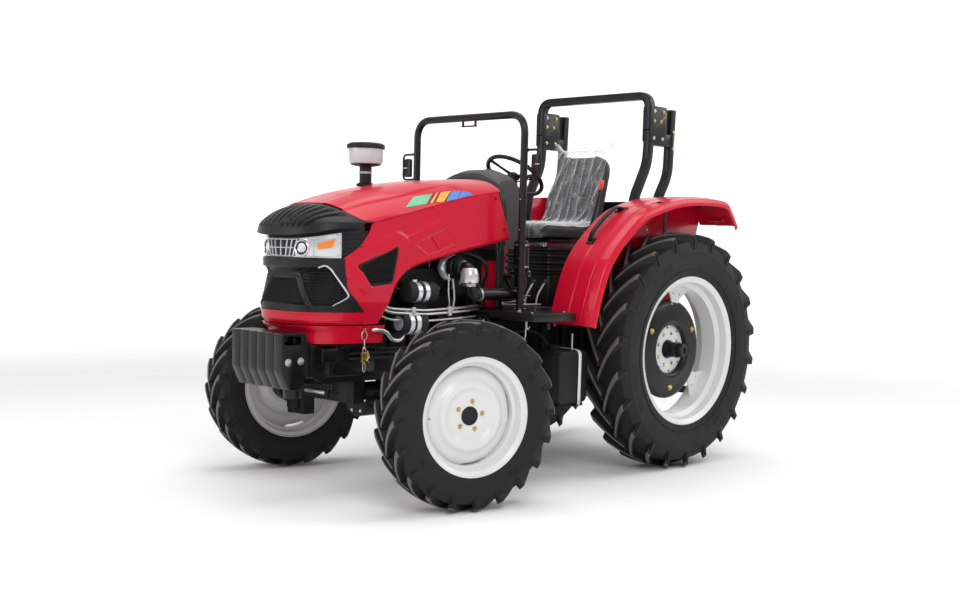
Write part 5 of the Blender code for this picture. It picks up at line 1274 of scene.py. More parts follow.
def front_frame():
    """Brackets, bolts, hitch, and the hooked lock hung on the casting under the bonnet."""
    shape = Shape()
    for sign in (-1, 1):
        y = sign * 0.2006
        for x in (0.2, 0.3, 0.42, 0.53):
            shape.bolt((FRONT + x, y, 0.82), (0, sign, 0), 0.009, 0)
        low, high = sorted((sign * 0.2, sign * 0.208))
        plate = eased([(0.47, 0.865), (0.60, 0.865), (0.60, 0.70), (0.53, 0.66), (0.47, 0.69)], 0.015) + (FRONT, 0)
        shape.prism(plate, "Y", low, high, 0.002)
        for x, z in ((0.5, 0.84), (0.575, 0.84), (0.5, 0.73), (0.575, 0.73)):
            shape.bolt((FRONT + x, sign * 0.208, z), (0, sign, 0), 0.010, 0)
        rib = eased([(0.15, 0.70), (0.44, 0.70), (0.40, 0.76), (0.2, 0.80), (0.15, 0.80)], 0.01) + (FRONT, 0)
        shape.prism(rib, "Y", *sorted((sign * 0.2, sign * 0.212)), 0.003)
        shape.tube(rounded([(FRONT + 0.47, sign * 0.222, 0.845), (FRONT + 0.3, sign * 0.225, 0.86),
                            (FRONT + 0.1, sign * 0.235, 0.83), (FRONT - 0.2, sign * 0.235, 0.83)], 0.05), 0.008, 1)
    shape.lathe([(0.553, 0.0), (0.553, 0.047), (0.558, 0.0495), (0.62, 0.052), (0.645, 0.058), (0.65, 0.05),
                 (0.65, 0.0)], (FRONT + 0.56, 0, 0), (0, 0, 1), 40)
    shape.rod((FRONT + 0.585, 0, 0.59), (FRONT + 0.585, 0, 0.70), 0.011, 2, 16)
    x, y = FRONT + 0.325, 0.331
    shape.rod((x, 0.318, 0.948), (x, y + 0.006, 0.948), 0.008, 3, 14)
    loop = np.linspace(0, TAU, 25)
    shape.tube(np.stack([x + 0.019 * np.sin(loop), np.full(25, y), 0.918 - 0.026 * np.cos(loop)], 1), 0.0028, 2, 8)
    shape.tube([(x, y, 0.893), (x, y, 0.842)], 0.0036, 2, 8)
    shape.prism(oblong(x - 0.021, 0.772, x + 0.021, 0.826, 0.008), "Y", y - 0.009, y + 0.011, 0.003, 3)
    shape.tube(rounded([(x - 0.010, y + 0.001, 0.822), (x - 0.010, y + 0.001, 0.852),
                        (x + 0.010, y + 0.001, 0.852), (x + 0.010, y + 0.001, 0.822)], 0.012, 6), 0.0034, 3, 10)
    shape.tube(curve([(x - 0.012, y + 0.013, 0.835), (x - 0.020, y + 0.018, 0.80),
                      (x - 0.005, y + 0.018, 0.782), (x - 0.024, y + 0.014, 0.77)], 24), 0.003, 3, 8)
    shape.tube(np.stack([x + 0.010 * np.sin(loop), np.full(25, y), 0.745 - 0.028 * np.cos(loop)], 1), 0.0026, 2, 8)
    shape.box((FRONT + 0.45, 0.205, 0.775), (FRONT + 0.56, 0.262, 0.845), 0.005)
    shape.box((FRONT + 0.40, -0.24, 0.845), (FRONT + 0.46, 0.262, 0.8695), 0.004)
    return shape.make("front_frame_fittings", "black hose zinc brass", "chassis", angle=32)


def axle_details():
    """Ribs, kingpin caps, grease points, steering cylinder and its hoses on the front axle."""
    shape = Shape()
    z = FRONT_HEIGHT
    for sign in (-1, 1):
        k = sign * KINGPIN_Y
        shape.lathe([(0.16, 0), (0.16, 0.053), (0.166, 0.05), (0.172, 0.036), (0.176, 0.02), (0.178, 0)],
                    (FRONT, k, z), (0, 0, 1), 32)
        for q in range(4):
            a = TAU * q / 4 + 0.5
            shape.bolt((FRONT + 0.041 * math.cos(a), k + 0.041 * math.sin(a), z + 0.1605), (0, 0, 1), 0.0075, 1)
        shape.rod((FRONT, k, z + 0.177), (FRONT, k, z + 0.187), 0.004, 1, 8)
        P = np.array([(FRONT - 0.008, sign * y, q) for y,
                      q in ((0.13, z + 0.04), (0.57, z + 0.04), (0.57, z + 0.13), (0.5, z + 0.07),
                            (0.13, z + 0.052))])
        shape.grid([P, P + (0.016, 0, 0)], (False, True), caps=True)
        for x in (-0.032, 0.032):
            for h in (-0.02, 0.02):
                shape.bolt((FRONT + x, sign * 0.46, z + h), (0, 0, 1), 0.002, 1, False)
    shape.rod((FRONT + 0.072, -0.30, z), (FRONT + 0.072, 0.30, z), 0.022, 0, 24)
    shape.rod((FRONT + 0.072, 0.3, z), (FRONT + 0.072, 0.52, z), 0.011, 1, 20)
    shape.rod((FRONT + 0.072, -0.52, z), (FRONT + 0.072, -0.3, z), 0.011, 1, 20)
    for sign in (-1, 1):
        shape.rod((FRONT + 0.072, sign * 0.27, z), (FRONT + 0.072, sign * 0.305, z), 0.029, 0, 24)
        shape.tube(curve([(FRONT + 0.072, sign * 0.26, z + 0.02), (FRONT + 0.07, sign * 0.25, z + 0.07),
                          (FRONT - 0.02, sign * 0.2, z + 0.115),
                          (FRONT - 0.2, sign * 0.18, z + 0.13)], 30), 0.008, 2, 10)
        shape.box((FRONT + 0.045, sign * 0.22 - 0.015, z - 0.03),
                  (FRONT + 0.075, sign * 0.22 + 0.015, z + 0.03), 0.003)
    for x in (-0.10, 0.10):
        for q in range(6):
            a = TAU * q / 6
            n = 1 if x > 0 else -1
            shape.bolt((FRONT + x, 0.075 * math.cos(a), z + 0.075 * math.sin(a)), (n, 0, 0), 0.0075, 1)
    return shape.make("front_axle_fittings", "iron zinc hose", "chassis", angle=34)


def knuckle_details(side, sign):
    """Backing plate ribs, drum bolts and the tie-rod nut of one steering knuckle."""
    pin = Matrix.Translation((FRONT, sign * KINGPIN_Y, FRONT_HEIGHT)) @ Matrix.Rotation(-STEER, 4, "Z")
    shape = Shape(pin @ Matrix.Diagonal((1, sign, 1, 1)))
    for k in range(6):
        a = TAU * k / 6 + 0.26
        shape.bolt((0.086 * math.cos(a), 0.021, 0.086 * math.sin(a)), (0, -1, 0), 0.008, 1)
    shape.lathe([(0.03, 0.1), (0.034, 0.1065), (0.07, 0.1065), (0.074, 0.1)], (0, 0, 0), (0, 1, 0), 48)
    shape.bolt((-0.16, 0, -0.0185), (0, 0, 1), 0.012, 1)
    for z in (-0.09, 0.09):
        shape.lathe([(z - 0.006, 0.058), (z - 0.004, 0.0625), (z + 0.004, 0.0625), (z + 0.006, 0.058)],
                    (0, 0, 0), (0, 0, 1), 40)
    return shape.make("knuckle_" + side + "_fittings", "iron zinc", "knuckle_" + side + "_body", angle=34)


# ---------------------------------------------------------------- engine bay
def engine_details():
    """Injection pump, filters, belts, alternator, turbocharger and ribs round the engine block."""
    shape = Shape()
    f = FRONT
    for side in (1, -1):
        for k in range(4):
            x = f - 0.52 + 0.145 * k
            shape.block((x, x + 0.10), (side * 0.172, side * 0.186), (0.76, 1.04), 0.006)
            for z in (0.79, 1.01):
                shape.bolt((x + 0.05, side * 0.186, z), (0, side, 0), 0.009, 1)
        for k in range(6):
            shape.bolt((f - 0.52 + 0.11 * k, side * 0.132, 1.16), (0, side, 0), 0.008, 1)
        shape.rod((f - 0.3, side * 0.17, 0.9), (f - 0.3, side * 0.2, 0.9), 0.035, 0, 24)
    for k in range(4):
        x = f - 0.47 + 0.135 * k
        shape.tube(curve([(x, 0.05, 1.415), (x, 0.10, 1.45), (x + 0.02, 0.15, 1.38), (x + 0.06, 0.172, 1.2),
                          (f - 0.18, 0.19, 1.12)], 24), 0.0035, 2, 8)
        shape.rod((x, 0.03, 1.40), (x, 0.03, 1.445), 0.012, 1, 14)
    shape.rod((f - 0.36, 0.0, 1.42), (f - 0.36, 0.0, 1.46), 0.03, 4, 24)
    for x, z, r, w in ((-0.205, 1.15, 0.058, 0.21), (-0.125, 0.975, 0.066, 0.18)):
        shape.rod((f + x, 0.302, z), (f + x + w, 0.302, z), r, 4, 40, 0.12)
        for d in (0.35, 0.62):
            shape.lathe([(w * d, r - 0.002), (w * d, r + 0.0025), (w * d + 0.03, r + 0.0025),
                         (w * d + 0.03, r - 0.002)],
                        (f + x, 0.302, z), (1, 0, 0), 40, 3)
        shape.box((f + x + w * 0.62, 0.302 - 0.008, z + r),
                  (f + x + w * 0.62 + 0.03, 0.302 + 0.008, z + r + 0.012), 0.002, 3)
    shape.lathe([(0.1, 0.0), (0.1, 0.05), (0.104, 0.055), (0.110, 0.05), (0.114, 0.055), (0.118, 0.0)],
                (f - 0.06, 0.302, 0.975), (1, 0, 0), 40, 3)
    for y, z, r in ((0.0, 0.86, 0.085), (0.0, 1.16, 0.07), (0.24, 1.0, 0.04)):
        shape.lathe([(0.005, 0.0), (0.005, r), (0.011, r), (0.017, r - 0.008), (0.023, r), (0.029, r),
                     (0.029, 0.0)], (f + 0.12, y, z), (1, 0, 0), 48)
        shape.bolt((f + 0.149, y, z), (1, 0, 0), 0.012, 1)
    belt = np.array([(0.0, 0.772), (-0.08, 0.83), (-0.068, 1.18), (0.0, 1.232), (0.06, 1.2), (0.27, 1.03),
                     (0.28, 0.985), (0.255, 0.965), (0.07, 0.80)])
    belt = spline(np.vstack([belt, belt[:1]]), np.linspace(0, 9, 90))[:-1]
    shape.sweep(np.stack([np.full(89, f + 0.137), belt[:, 0], belt[:, 1]], 1), slab(0.012, 0.008, 0.002),
                (1, 0, 0), 5, True)
    for k in range(7):
        a = TAU * k / 7
        r = np.linspace(0.04, 0.2, 6)
        b = a + (r - 0.04) * 1.6
        P = [np.stack([f + 0.20 + s * 0.02 + 0 * r, r * np.cos(b + s * 0.11), 1.15 + r * np.sin(b + s * 0.11)],
                      1) for s in (-1, -0.3, 0.4, 1)]
        shape.shell(P, 0.003, 5)
    shape.rod((f + 0.149, 0, 1.15), (f + 0.225, 0, 1.15), 0.045, 5, 24)
    t = (f - 0.4, 0.0, 1.29)
    scroll = [(0.2, 0.05), (0.2, 0.062), (0.206, 0.075), (0.22, 0.084), (0.236, 0.084), (0.25, 0.075),
              (0.256, 0.062), (0.256, 0.04), (0.25, 0.03)]
    shape.lathe(scroll, t, (0, 1, 0), 40, 3)
    shape.lathe([(0.262, 0.03), (0.262, 0.058), (0.27, 0.066), (0.285, 0.07), (0.3, 0.066), (0.308, 0.058),
                 (0.308, 0.03)], t, (0, 1, 0), 40, 0)
    shape.lathe([(0.308, 0.0), (0.308, 0.048), (0.32, 0.048), (0.322, 0.0)], t, (0, 1, 0), 40, 3)
    for k in range(6):
        a = TAU * k / 6
        shape.bolt((t[0] + 0.041 * math.cos(a), 0.322, t[2] + 0.041 * math.sin(a)), (0, 1, 0), 0.005, 1, False)
    shape.tube(curve([(f - 0.36, 0.228, 1.36), (f - 0.3, 0.22, 1.42), (f - 0.12, 0.15, 1.43),
                      (f + 0.05, 0.06, 1.44), (f + 0.2, -0.05, 1.42)], 40), 0.03, 5, 18)
    shape.tube(curve([(f - 0.41, 0.25, 1.22), (f - 0.42, 0.255, 1.1), (f - 0.40, 0.24, 0.98),
                      (f - 0.38, 0.18, 0.9)], 30), 0.007, 3, 10)
    shape.tube(curve([(f - 0.34, 0.29, 1.25), (f - 0.33, 0.3, 1.15), (f - 0.36, 0.27, 1.02),
                      (f - 0.3, 0.2, 0.95)], 30), 0.005, 3, 10)
    shape.tube(curve([(f + 0.28, 0.16, 1.4), (f + 0.22, 0.2, 1.42), (f + 0.12, 0.14, 1.36),
                      (f + 0.03, 0.05, 1.33)], 30), 0.024, 5, 18)
    shape.tube(curve([(f + 0.29, -0.16, 0.95), (f + 0.2, -0.2, 0.93), (f + 0.14, -0.15, 0.9),
                      (f + 0.08, -0.1, 0.86)], 30), 0.026, 5, 18)
    shape.box((f - 0.42, -0.27, 0.80), (f - 0.2, -0.18, 0.92), 0.006)
    shape.rod((f - 0.30, -0.23, 0.66), (f - 0.30, -0.23, 0.79), 0.045, 6, 32)
    shape.rod((f - 0.10, -0.24, 0.70), (f - 0.10, -0.24, 0.86), 0.042, 5, 32)
    shape.box((f - 0.48, 0.20, 0.93), (f - 0.28, 0.27, 1.03), 0.008)
    for k in range(4):
        shape.rod((f - 0.455 + 0.045 * k, 0.235, 1.025), (f - 0.455 + 0.045 * k, 0.235, 1.05), 0.009, 1, 12)
    return shape.make("engine_fittings", "iron zinc steel chrome dark hose amber", "chassis", angle=34)


def side_pipes():
    """Plated hydraulic lines with clamps, hoses and wiring along both flanks of the engine."""
    shape = Shape()
    f = FRONT
    for z, y, r in ((1.046, 0.335, 0.0075), (1.024, 0.340, 0.0075), (0.985, 0.33, 0.006)):
        run = rounded([(f + 0.215, y - 0.03, z + 0.055), (f + 0.16, y, z + 0.015), (f - 0.12, y, z),
                       (f - 0.42, y, z + 0.012), (f - 0.6, y - 0.05, z + 0.02), (f - 0.68, 0.24, z - 0.02)], 0.05, 6)
        shape.tube(run, r, 0, 12)
    for x in (-0.02, -0.3):
        shape.box((f + x - 0.014, 0.325, 1.012), (f + x + 0.014, 0.352, 1.066), 0.004, 0)
        shape.bolt((f + x, 0.352, 1.038), (0, 1, 0), 0.006, 0)
        shape.rod((f + x, 0.17, 1.038), (f + x, 0.33, 1.038), 0.008, 1, 12)
    shape.tube(rounded([(f + 0.30, 0.255, 0.945), (f + 0.225, 0.325, 0.945), (f + 0.17, 0.335, 0.935),
                        (f + 0.13, 0.335, 0.885), (f + 0.06, 0.33, 0.88), (f - 0.02, 0.29, 0.95)], 0.03, 6),
                        0.011, 0, 14)
    for z in (0.78, 0.81):
        shape.tube(rounded([(f + 0.34, 0.215, z), (f, 0.25, z), (f - 0.3, 0.25, z - 0.01),
                            (f - 0.66, 0.245, z + 0.04)], 0.08), 0.008, 1, 12)
    hoses = [[(f - 0.52, 0.2, 1.2), (f - 0.56, 0.27, 1.1), (f - 0.60, 0.28, 1.0), (f - 0.68, 0.24, 0.93)],
             [(f - 0.48, 0.18, 1.28), (f - 0.58, 0.26, 1.22), (f - 0.62, 0.3, 1.09), (f - 0.66, 0.26, 0.97)],
             [(f - 0.62, 0.24, 1.05), (f - 0.66, 0.3, 0.98), (f - 0.74, 0.3, 0.93), (f - 0.86, 0.2, 0.9)],
             [(f - 0.5, -0.2, 1.2), (f - 0.6, -0.27, 1.1), (f - 0.64, -0.26, 1.0), (f - 0.7, -0.22, 0.9)],
             [(f + 0.2, -0.2, 1.0), (f - 0.05, -0.26, 0.98), (f - 0.4, -0.27, 1.02), (f - 0.66, -0.22, 0.98)],
             [(f - 0.70, 0.18, 1.12), (f - 0.64, 0.30, 1.30), (f - 0.5, 0.24, 1.38), (f - 0.38, 0.14, 1.36)]]
    for k, path in enumerate(hoses):
        shape.tube(curve(path, 36), 0.008 + 0.002 * (k % 2), 1, 12)
        for end in (path[0], path[-1]):
            shape.lathe([(-0.012, 0), (-0.012, 0.012), (0.012, 0.012), (0.012, 0)], end, (0, 0.3, 1), 12, 0)
    loom = curve([(f + 0.26, 0.20, 1.46), (f + 0.05, 0.19, 1.41), (f - 0.25, 0.16, 1.46), (f - 0.5, 0.18, 1.45),
                  (f - 0.7, 0.2, 1.35)], 60)
    shape.tube(loom, 0.010 + 0.001 * np.sin(np.arange(60) * 2.0), 1, 10)
    return shape.make("hydraulic_lines", "zinc hose", "chassis", angle=34)


def radiator_details():
    """Cooling fins in a frame with a header tank, cap and a fan shroud."""
    shape = Shape()
    f = FRONT
    shape.box((f + 0.304, -0.25, 0.90), (f + 0.396, 0.25, 1.44), 0.003, 1)
    for x in (0.3965, 0.299):
        for k in range(44):
            z = 0.915 + 0.0118 * k
            shape.box((f + x, -0.235, z), (f + x + 0.0045, 0.235, z + 0.004), 0.001, 1)
    for y in (-0.256, 0.236):
        shape.box((f + 0.296, y, 0.882), (f + 0.404, y + 0.02, 1.46), 0.003)
    shape.box((f + 0.292, -0.258, 1.435), (f + 0.408, 0.258, 1.4985), 0.012)
    shape.box((f + 0.292, -0.258, 0.8795), (f + 0.408, 0.258, 0.91), 0.006)
    shape.rod((f + 0.35, 0.1, 1.498), (f + 0.35, 0.1, 1.515), 0.024, 2, 24)
    t = np.linspace(0, TAU, 64, endpoint=False)
    ring = [(f + 0.29, 0.235, 0.27), (f + 0.26, 0.22, 0.235), (f + 0.235, 0.212, 0.222), (f + 0.225, 0.212, 0.222)]
    P = [np.stack([np.full(64, x), a * np.cos(t), 1.165 + b * np.sin(t)], 1) for x, a, b in ring]
    Q = [np.stack([np.full(64, x), (a - 0.004) * np.cos(t), 1.165 + (b - 0.004) * np.sin(t)], 1) for x, a,
         b in ring[::-1]]
    shape.grid(P + Q, (True, True))
    for sign in (-1, 1):
        shape.tube([(f + 0.33, sign * 0.2, 1.495), (f + 0.1, sign * 0.12, 1.36)], 0.006, 0, 10)
    return shape.make("radiator_core", "plastic steel zinc", "chassis", ["radiator"], 32)


def exhaust_pipe():
    """Outlet elbow, clamped pipe under the dash side, silencer and tail pipe."""
    shape = Shape()
    f, y = FRONT, 0.405
    path = rounded([(f - 0.4, 0.332, 1.29), (f - 0.4, y, 1.29), (f - 0.4, y, 1.137), (f - 0.83, y, 1.137),
                    (f - 0.83, y, 1.27)], 0.075, 14)
    shape.tube(path, 0.036, 0, 32)
    shape.lathe([(0.0, 0.0), (0.0, 0.03), (0.004, 0.052), (0.02, 0.056), (0.06, 0.052), (0.085, 0.044),
                 (0.09, 0.038), (0.09, 0.0)], (f - 0.4, y - 0.003, 1.20), (0, 0, 1), 40, 1)
    for place, axis in (((f - 0.4, y, 1.192), (0, 0, 1)), ((f - 0.4, 0.345, 1.29), (0, 1, 0)),
                        ((f - 0.78, y, 1.137), (1, 0, 0)), ((f - 0.47, y, 1.137), (1, 0, 0))):
        shape.lathe([(-0.008, 0.035), (-0.008, 0.0415), (-0.003, 0.0405), (0.003, 0.0405), (0.008, 0.0415),
                     (0.008, 0.035)], place, axis, 36, 2)
    shape.rod((f - 0.83, y, 1.248), (f - 0.83, y, 1.259), 0.061, 0, 36)
    shape.rod((f - 0.83, y, 1.2605), (f - 0.83, y, 1.2705), 0.061, 0, 36)
    for k in range(4):
        a = TAU * k / 4 + 0.7
        p = np.array((f - 0.83 + 0.05 * math.cos(a), y + 0.05 * math.sin(a), 1.2705))
        shape.bolt(p, (0, 0, 1), 0.007, 2)
        shape.bolt(p - (0, 0, 0.0225), (0, 0, -1), 0.007, 2)
    shape.lathe([(1.27, 0.0), (1.27, 0.037), (1.278, 0.0435), (1.29, 0.046), (1.44, 0.046), (1.452, 0.042),
                 (1.458, 0.03), (1.458, 0.0)], (f - 0.83, y, 0), (0, 0, 1), 40)
    for z in (1.30, 1.43):
        shape.lathe([(z - 0.006, 0.045), (z - 0.005, 0.0475), (z + 0.005, 0.0475), (z + 0.006, 0.045)],
                    (f - 0.83, y, 0), (0, 0, 1), 40, 2)
    shape.lathe([(1.45, 0.0), (1.45, 0.02), (1.618, 0.02), (1.618, 0.0165), (1.56, 0.0165), (1.56, 0.0)],
                (f - 0.83, y, 0), (0, 0, 1), 28)
    return shape.make("exhaust_pipe", "black chrome steel", "chassis", ["exhaust"], 34)


def firewall():
    """Painted plates and the support frame that close the rear of the engine bay."""
    shape = Shape()
    f = FRONT
    for sign in (-1, 1):
        low, high = sorted((sign * 0.17, sign * 0.325))
        shape.box((f - 0.737, low, 1.05), (f - 0.731, high, 1.33), 0.002, 0)
        shape.box((f - 0.731, low + 0.012, 1.09), (f - 0.728, high - 0.012, 1.30), 0.001, 0)
        for y in (low + 0.02, high - 0.02):
            for z in (1.07, 1.31):
                shape.bolt((f - 0.731, y, z), (1, 0, 0), 0.006, 1)
        shape.block((f - 0.735, f - 0.705), (sign * 0.325, sign * 0.345), (1.045, 1.42), 0.004, 2)
        shape.tube(rounded([(f - 0.70, sign * 0.335, 1.055), (f - 0.70, sign * 0.335, 1.40),
                            (f - 0.70, sign * 0.22, 1.74), (f - 0.70, 0.0, 1.76)], 0.1), 0.011, 2, 14)
    return shape.make("bay_rear_plates", "red zinc black", "chassis", angle=32)


# ---------------------------------------------------------------- dash and controls
COLUMN_TOP, COLUMN_TILT = (FRONT - 1.18, 0, 1.87), math.radians(36)  # middle of the steering wheel, and its lean
HOOP_X, HOOP_HALF = FRONT - 0.76, 0.47  # the hand-hold bar: its place, and half the distance between its feet


def cowl():
    """Grey instrument cowl: crowned rear over a black seal, with a binnacle, dials and switches."""
    f = FRONT
    line = np.array([(-0.748, 1.402), (-0.748, 1.815), (-0.772, 1.862), (-0.84, 1.888), (-0.93, 1.882),
                     (-0.985, 1.845), (-1.032, 1.79),
                     (-1.024, 1.68), (-1.0, 1.55), (-0.952, 1.402)])
    t = np.concatenate([np.linspace(0, 1, 3), np.linspace(1.15, 9, 54)])
    s = spline(line, t)
    v = np.linspace(-1, 1, 61)
    P = []
    for x, z in s:
        crown = smooth(z, 1.45, 1.86)
        drop = crown * (0.055 * np.abs(v) ** 3.2 + 0.012 * smooth(np.abs(v), 0.3, 0.75))
        half = 0.268 - 0.010 * smooth(z, 1.7, 1.88)
        y = half * v
        xx = x + (0.035 * np.abs(v) ** 4) * smooth(-x, 0.80, 0.98)
        P.append(np.stack([f + xx, y, z - drop], 1))
    P = np.array(P)
    shape = Shape()
    shape.shell(P[::-1], 0.006)
    for j in (0, -1):
        ring = P[:, j]
        n = len(ring)
        rim = [[i, i + 1, n + i + 1, n + i] for i in range(n - 1)]
        shape.add(np.vstack([ring, ring + (0, -0.004 if j else 0.004, 0)]),
                  [list(range(n)), list(range(2 * n - 1, n - 1, -1)), *rim, [n - 1, 0, n, 2 * n - 1]])
    seal = [(f - 0.742, y, z) for y, z in ((-0.325, 1.42), (-0.335, 1.62), (-0.325, 1.74), (-0.22, 1.808),
                                           (0.0, 1.838), (0.22, 1.808), (0.325, 1.74), (0.335, 1.62), (0.325, 1.42))]
    path = rounded(seal, 0.06, 6)
    wide = np.array([(-0.024, 0.0), (-0.024, 0.012), (0.022, 0.009), (0.022, 0.0)])
    shape.sweep(path, wide, (1, 0, 0), 1)
    inner = [(f - 0.736, y, z) for y, z in ((-0.318, 1.42), (-0.328, 1.62), (-0.318, 1.735), (-0.22, 1.80),
                                            (0.0, 1.828), (0.22, 1.80), (0.318, 1.735), (0.328, 1.62), (0.318, 1.42))]
    shape.tube(rounded(inner, 0.06, 6), 0.009, 2, 10)
    slope = unit(np.array([-0.09, 0, -0.055]))
    normal = unit(np.array([-0.52, 0, 0.85]))
    centre = np.array([f - 0.975, 0, 1.856])
    shape.lathe([(-0.02, 0.0), (-0.02, 0.062), (0.012, 0.062), (0.016, 0.058), (0.012, 0.052), (0.004, 0.050),
                 (0.004, 0)], centre, normal, 48, 1)
    shape.lathe([(0.004, 0.0), (0.004, 0.049), (0.006, 0.049), (0.006, 0)], centre, normal, 48, 3)
    for k in range(12):
        a = math.radians(-130 + 260 * k / 11)
        d = np.array([0, math.sin(a), 0]) + slope * -math.cos(a)
        p = centre + normal * 0.0065
        shape.sweep([p + d * 0.037, p + d * 0.045], slab(0.0015, 0.001, 0.0003), tuple(normal), 4)
    d = np.array([0, 0.6, 0]) + slope * -0.8
    shape.sweep([centre + normal * 0.008, centre + normal * 0.008 + d * 0.036], slab(0.002, 0.002, 0.0005),
                tuple(normal), 5)
    for y in (-0.15, -0.11, 0.11, 0.15):
        q = centre + (0.0, y, -0.004)
        shape.lathe([(-0.012, 0), (-0.012, 0.017), (0.006, 0.017), (0.009, 0.014), (0.009, 0)], q, normal, 24, 1)
    for y in (-0.2, 0.2):
        q = np.array([f - 1.03, y, 1.72])
        shape.lathe([(0.0, 0), (0.0, 0.014), (-0.014, 0.012), (-0.014, 0)], q, (1, 0, 0), 20, 1)
    for sign in (-1, 1):
        for z in (1.45, 1.58, 1.71):
            shape.bolt((f - 0.80, sign * 0.2665, z), (0, sign, 0), 0.005, 1)
        shape.block((f - 0.762, f - 0.694), (sign * 0.1406, sign * 0.158), (1.776, 1.796), 0.003, 1)
        shape.rod((f - 0.70, sign * 0.1, 1.79), (f - 0.70, sign * 0.15, 1.79), 0.006, 6, 16)
    return shape.make("dash_cowl", "grey plastic hose dial mark knob zinc", "chassis", ["cowl"], 36)


def pedestal():
    """Lower dash housing with a boot for the column, pedals and their shafts."""
    f = FRONT
    shape = Shape()
    shape.prism(oblong(f - 0.968, -0.148, f - 0.752, 0.148, 0.03, 5), "Z", 1.0404, 1.3996, 0.006)
    shape.box((f - 0.7598, -0.33, 1.0404), (f - 0.7402, 0.33, 1.3996), 0.003)
    for z in (1.08, 1.35):
        for y in (-0.29, -0.2, 0.2, 0.29):
            shape.bolt((f - 0.7600, y, z), (-1, 0, 0), 0.007, 1)
    shape.rod((f - 0.86, -0.30, 1.235), (f - 0.86, 0.30, 1.235), 0.011, 0, 16)
    for y in (0.24, -0.18, -0.26):
        arm = curve([(f - 0.86, y, 1.235), (f - 0.90, y, 1.18), (f - 0.95, y, 1.14), (f - 0.985, y, 1.135)], 16)
        shape.sweep(arm, slab(0.018, 0.008, 0.002), (0, 1, 0))
        shape.prism(oblong(f - 1.02, y - 0.032, f - 0.965, y + 0.032, 0.01), "Z", 1.132, 1.146, 0.004, 2)
        for k in range(5):
            shape.box((f - 1.014 + 0.0105 * k, y - 0.027, 1.145), (f - 1.009 + 0.0105 * k, y + 0.027, 1.149),
                      0.001, 2)
    for y in (-0.1, 0.1):
        shape.box((f - 0.9715, y - 0.03, 1.1), (f - 0.967, y + 0.03, 1.34), 0.002)
    return shape.make("dash_pedestal_housing", "plastic zinc hose", "chassis", ["dash_pedestal"], 32)


def steering_wheel():
    """Rim with finger grips, three spokes and a padded hub, turned about the tilted column."""
    turn = Matrix.Translation(COLUMN_TOP) @ Matrix.Rotation(-COLUMN_TILT, 4, "Y")
    shape = Shape(turn)
    t = np.linspace(0, TAU, 160, endpoint=False)
    section = circle(1, 18)
    grip = 0.0132 + 0.0007 * np.cos(t * 44)
    P = [[((0.19 + g * a) * math.cos(v), (0.19 + g * a) * math.sin(v), g * b) for a, b in section] for v,
         g in zip(t, grip)]
    shape.grid(P, (True, True))
    shape.lathe([(-0.020, 0), (-0.020, 0.03), (-0.012, 0.036), (0.004, 0.034), (0.010, 0.026), (0.0125, 0.012),
                 (0.013, 0)], (0, 0, 0), (0, 0, 1), 40)
    shape.lathe([(0.0126, 0), (0.0126, 0.018), (0.0140, 0.016), (0.0142, 0)], (0, 0, 0), (0, 0, 1), 30, 1)
    for k in range(3):
        a = math.radians(90 + 120 * k)
        d = np.array((math.cos(a), math.sin(a), 0))
        r = np.linspace(0.022, 0.186, 12)
        path = [d * q + (0, 0, -0.006 + 0.004 * ((q - 0.02) / 0.17)) for q in r]
        w = 0.0165 - 0.008 * np.sin(np.linspace(0, math.pi, 12))
        sections = np.array([slab(2 * q, 0.011, 0.003) for q in w])
        shape.sweep(path, sections, tuple(np.cross((0, 0, 1), d)))
    return shape.make("steering_wheel_rim", "plastic dark", "steering_wheel_body", ["steering_wheel"],
                      40)


def column():
    """Column shaft in a ribbed rubber boot, with the light and signal stalks."""
    up = np.array([-math.sin(COLUMN_TILT), 0, math.cos(COLUMN_TILT)])
    top = np.array(COLUMN_TOP)
    shape = Shape()
    shape.lathe([(-0.20, 0.0), (-0.20, 0.027), (-0.021, 0.027), (-0.021, 0)], top, up, 32)
    waves = [(-0.19 + 0.01 * k, 0.028 + (0.004 if k % 2 else 0.0)) for k in range(11)]
    shape.lathe([(-0.19, 0.02), *waves, (-0.09, 0.02)], top, up, 32, 1)
    for sign, reach in ((1, 0.15), (-1, 0.12)):
        a = top - up * 0.06 + (0, sign * 0.024, 0)
        shape.tube([a, a + (0.01, sign * reach * 0.5, 0.012), a + (0.01, sign * reach, 0.02)], 0.004, 0, 12)
        shape.rod(a + (0.01, sign * (reach - 0.004), 0.02), a + (0.012, sign * (reach + 0.03), 0.024), 0.008, 0,
                  16, 0.5)
    return shape.make("steering_column_boot", "plastic hose", "chassis", ["steering_column"], 34)


def hoop(radius):
    """Round hand-hold bar with feet, gussets and the small bracket under its crossbar."""
    x, half, top = HOOP_X, HOOP_HALF, 2.2
    shape = Shape()
    path = rounded([(x, -half, 1.041), (x, -half, top), (x, half, top), (x, half, 1.041)], 0.12, 18)
    shape.tube(path, radius, 0, 28)
    for sign in (-1, 1):
        y = sign * half
        shape.box((x - 0.03, y - 0.03, 1.0405), (x + 0.03, y + 0.03, 1.049), 0.002)
        for a in (-0.022, 0.022):
            for b in (-0.022, 0.022):
                shape.bolt((x + a, y + b, 1.049), (0, 0, 1), 0.005, 1)
        for z in (1.35, 1.52, 1.70):
            shape.rod((x - 0.024, y, z), (x + 0.024, y, z), 0.004, 1, 10)
    shape.box((x - 0.004, -0.062, top - 0.052), (x + 0.004, -0.046, top - 0.018), 0.001)
    shape.box((x - 0.004, 0.046, top - 0.052), (x + 0.004, 0.062, top - 0.018), 0.001)
    shape.box((x - 0.012, -0.062, top - 0.056), (x + 0.012, 0.062, top - 0.048), 0.002)
    return shape.make("front_hoop_bar", "black zinc", "chassis", ["front_hoop"], 34)


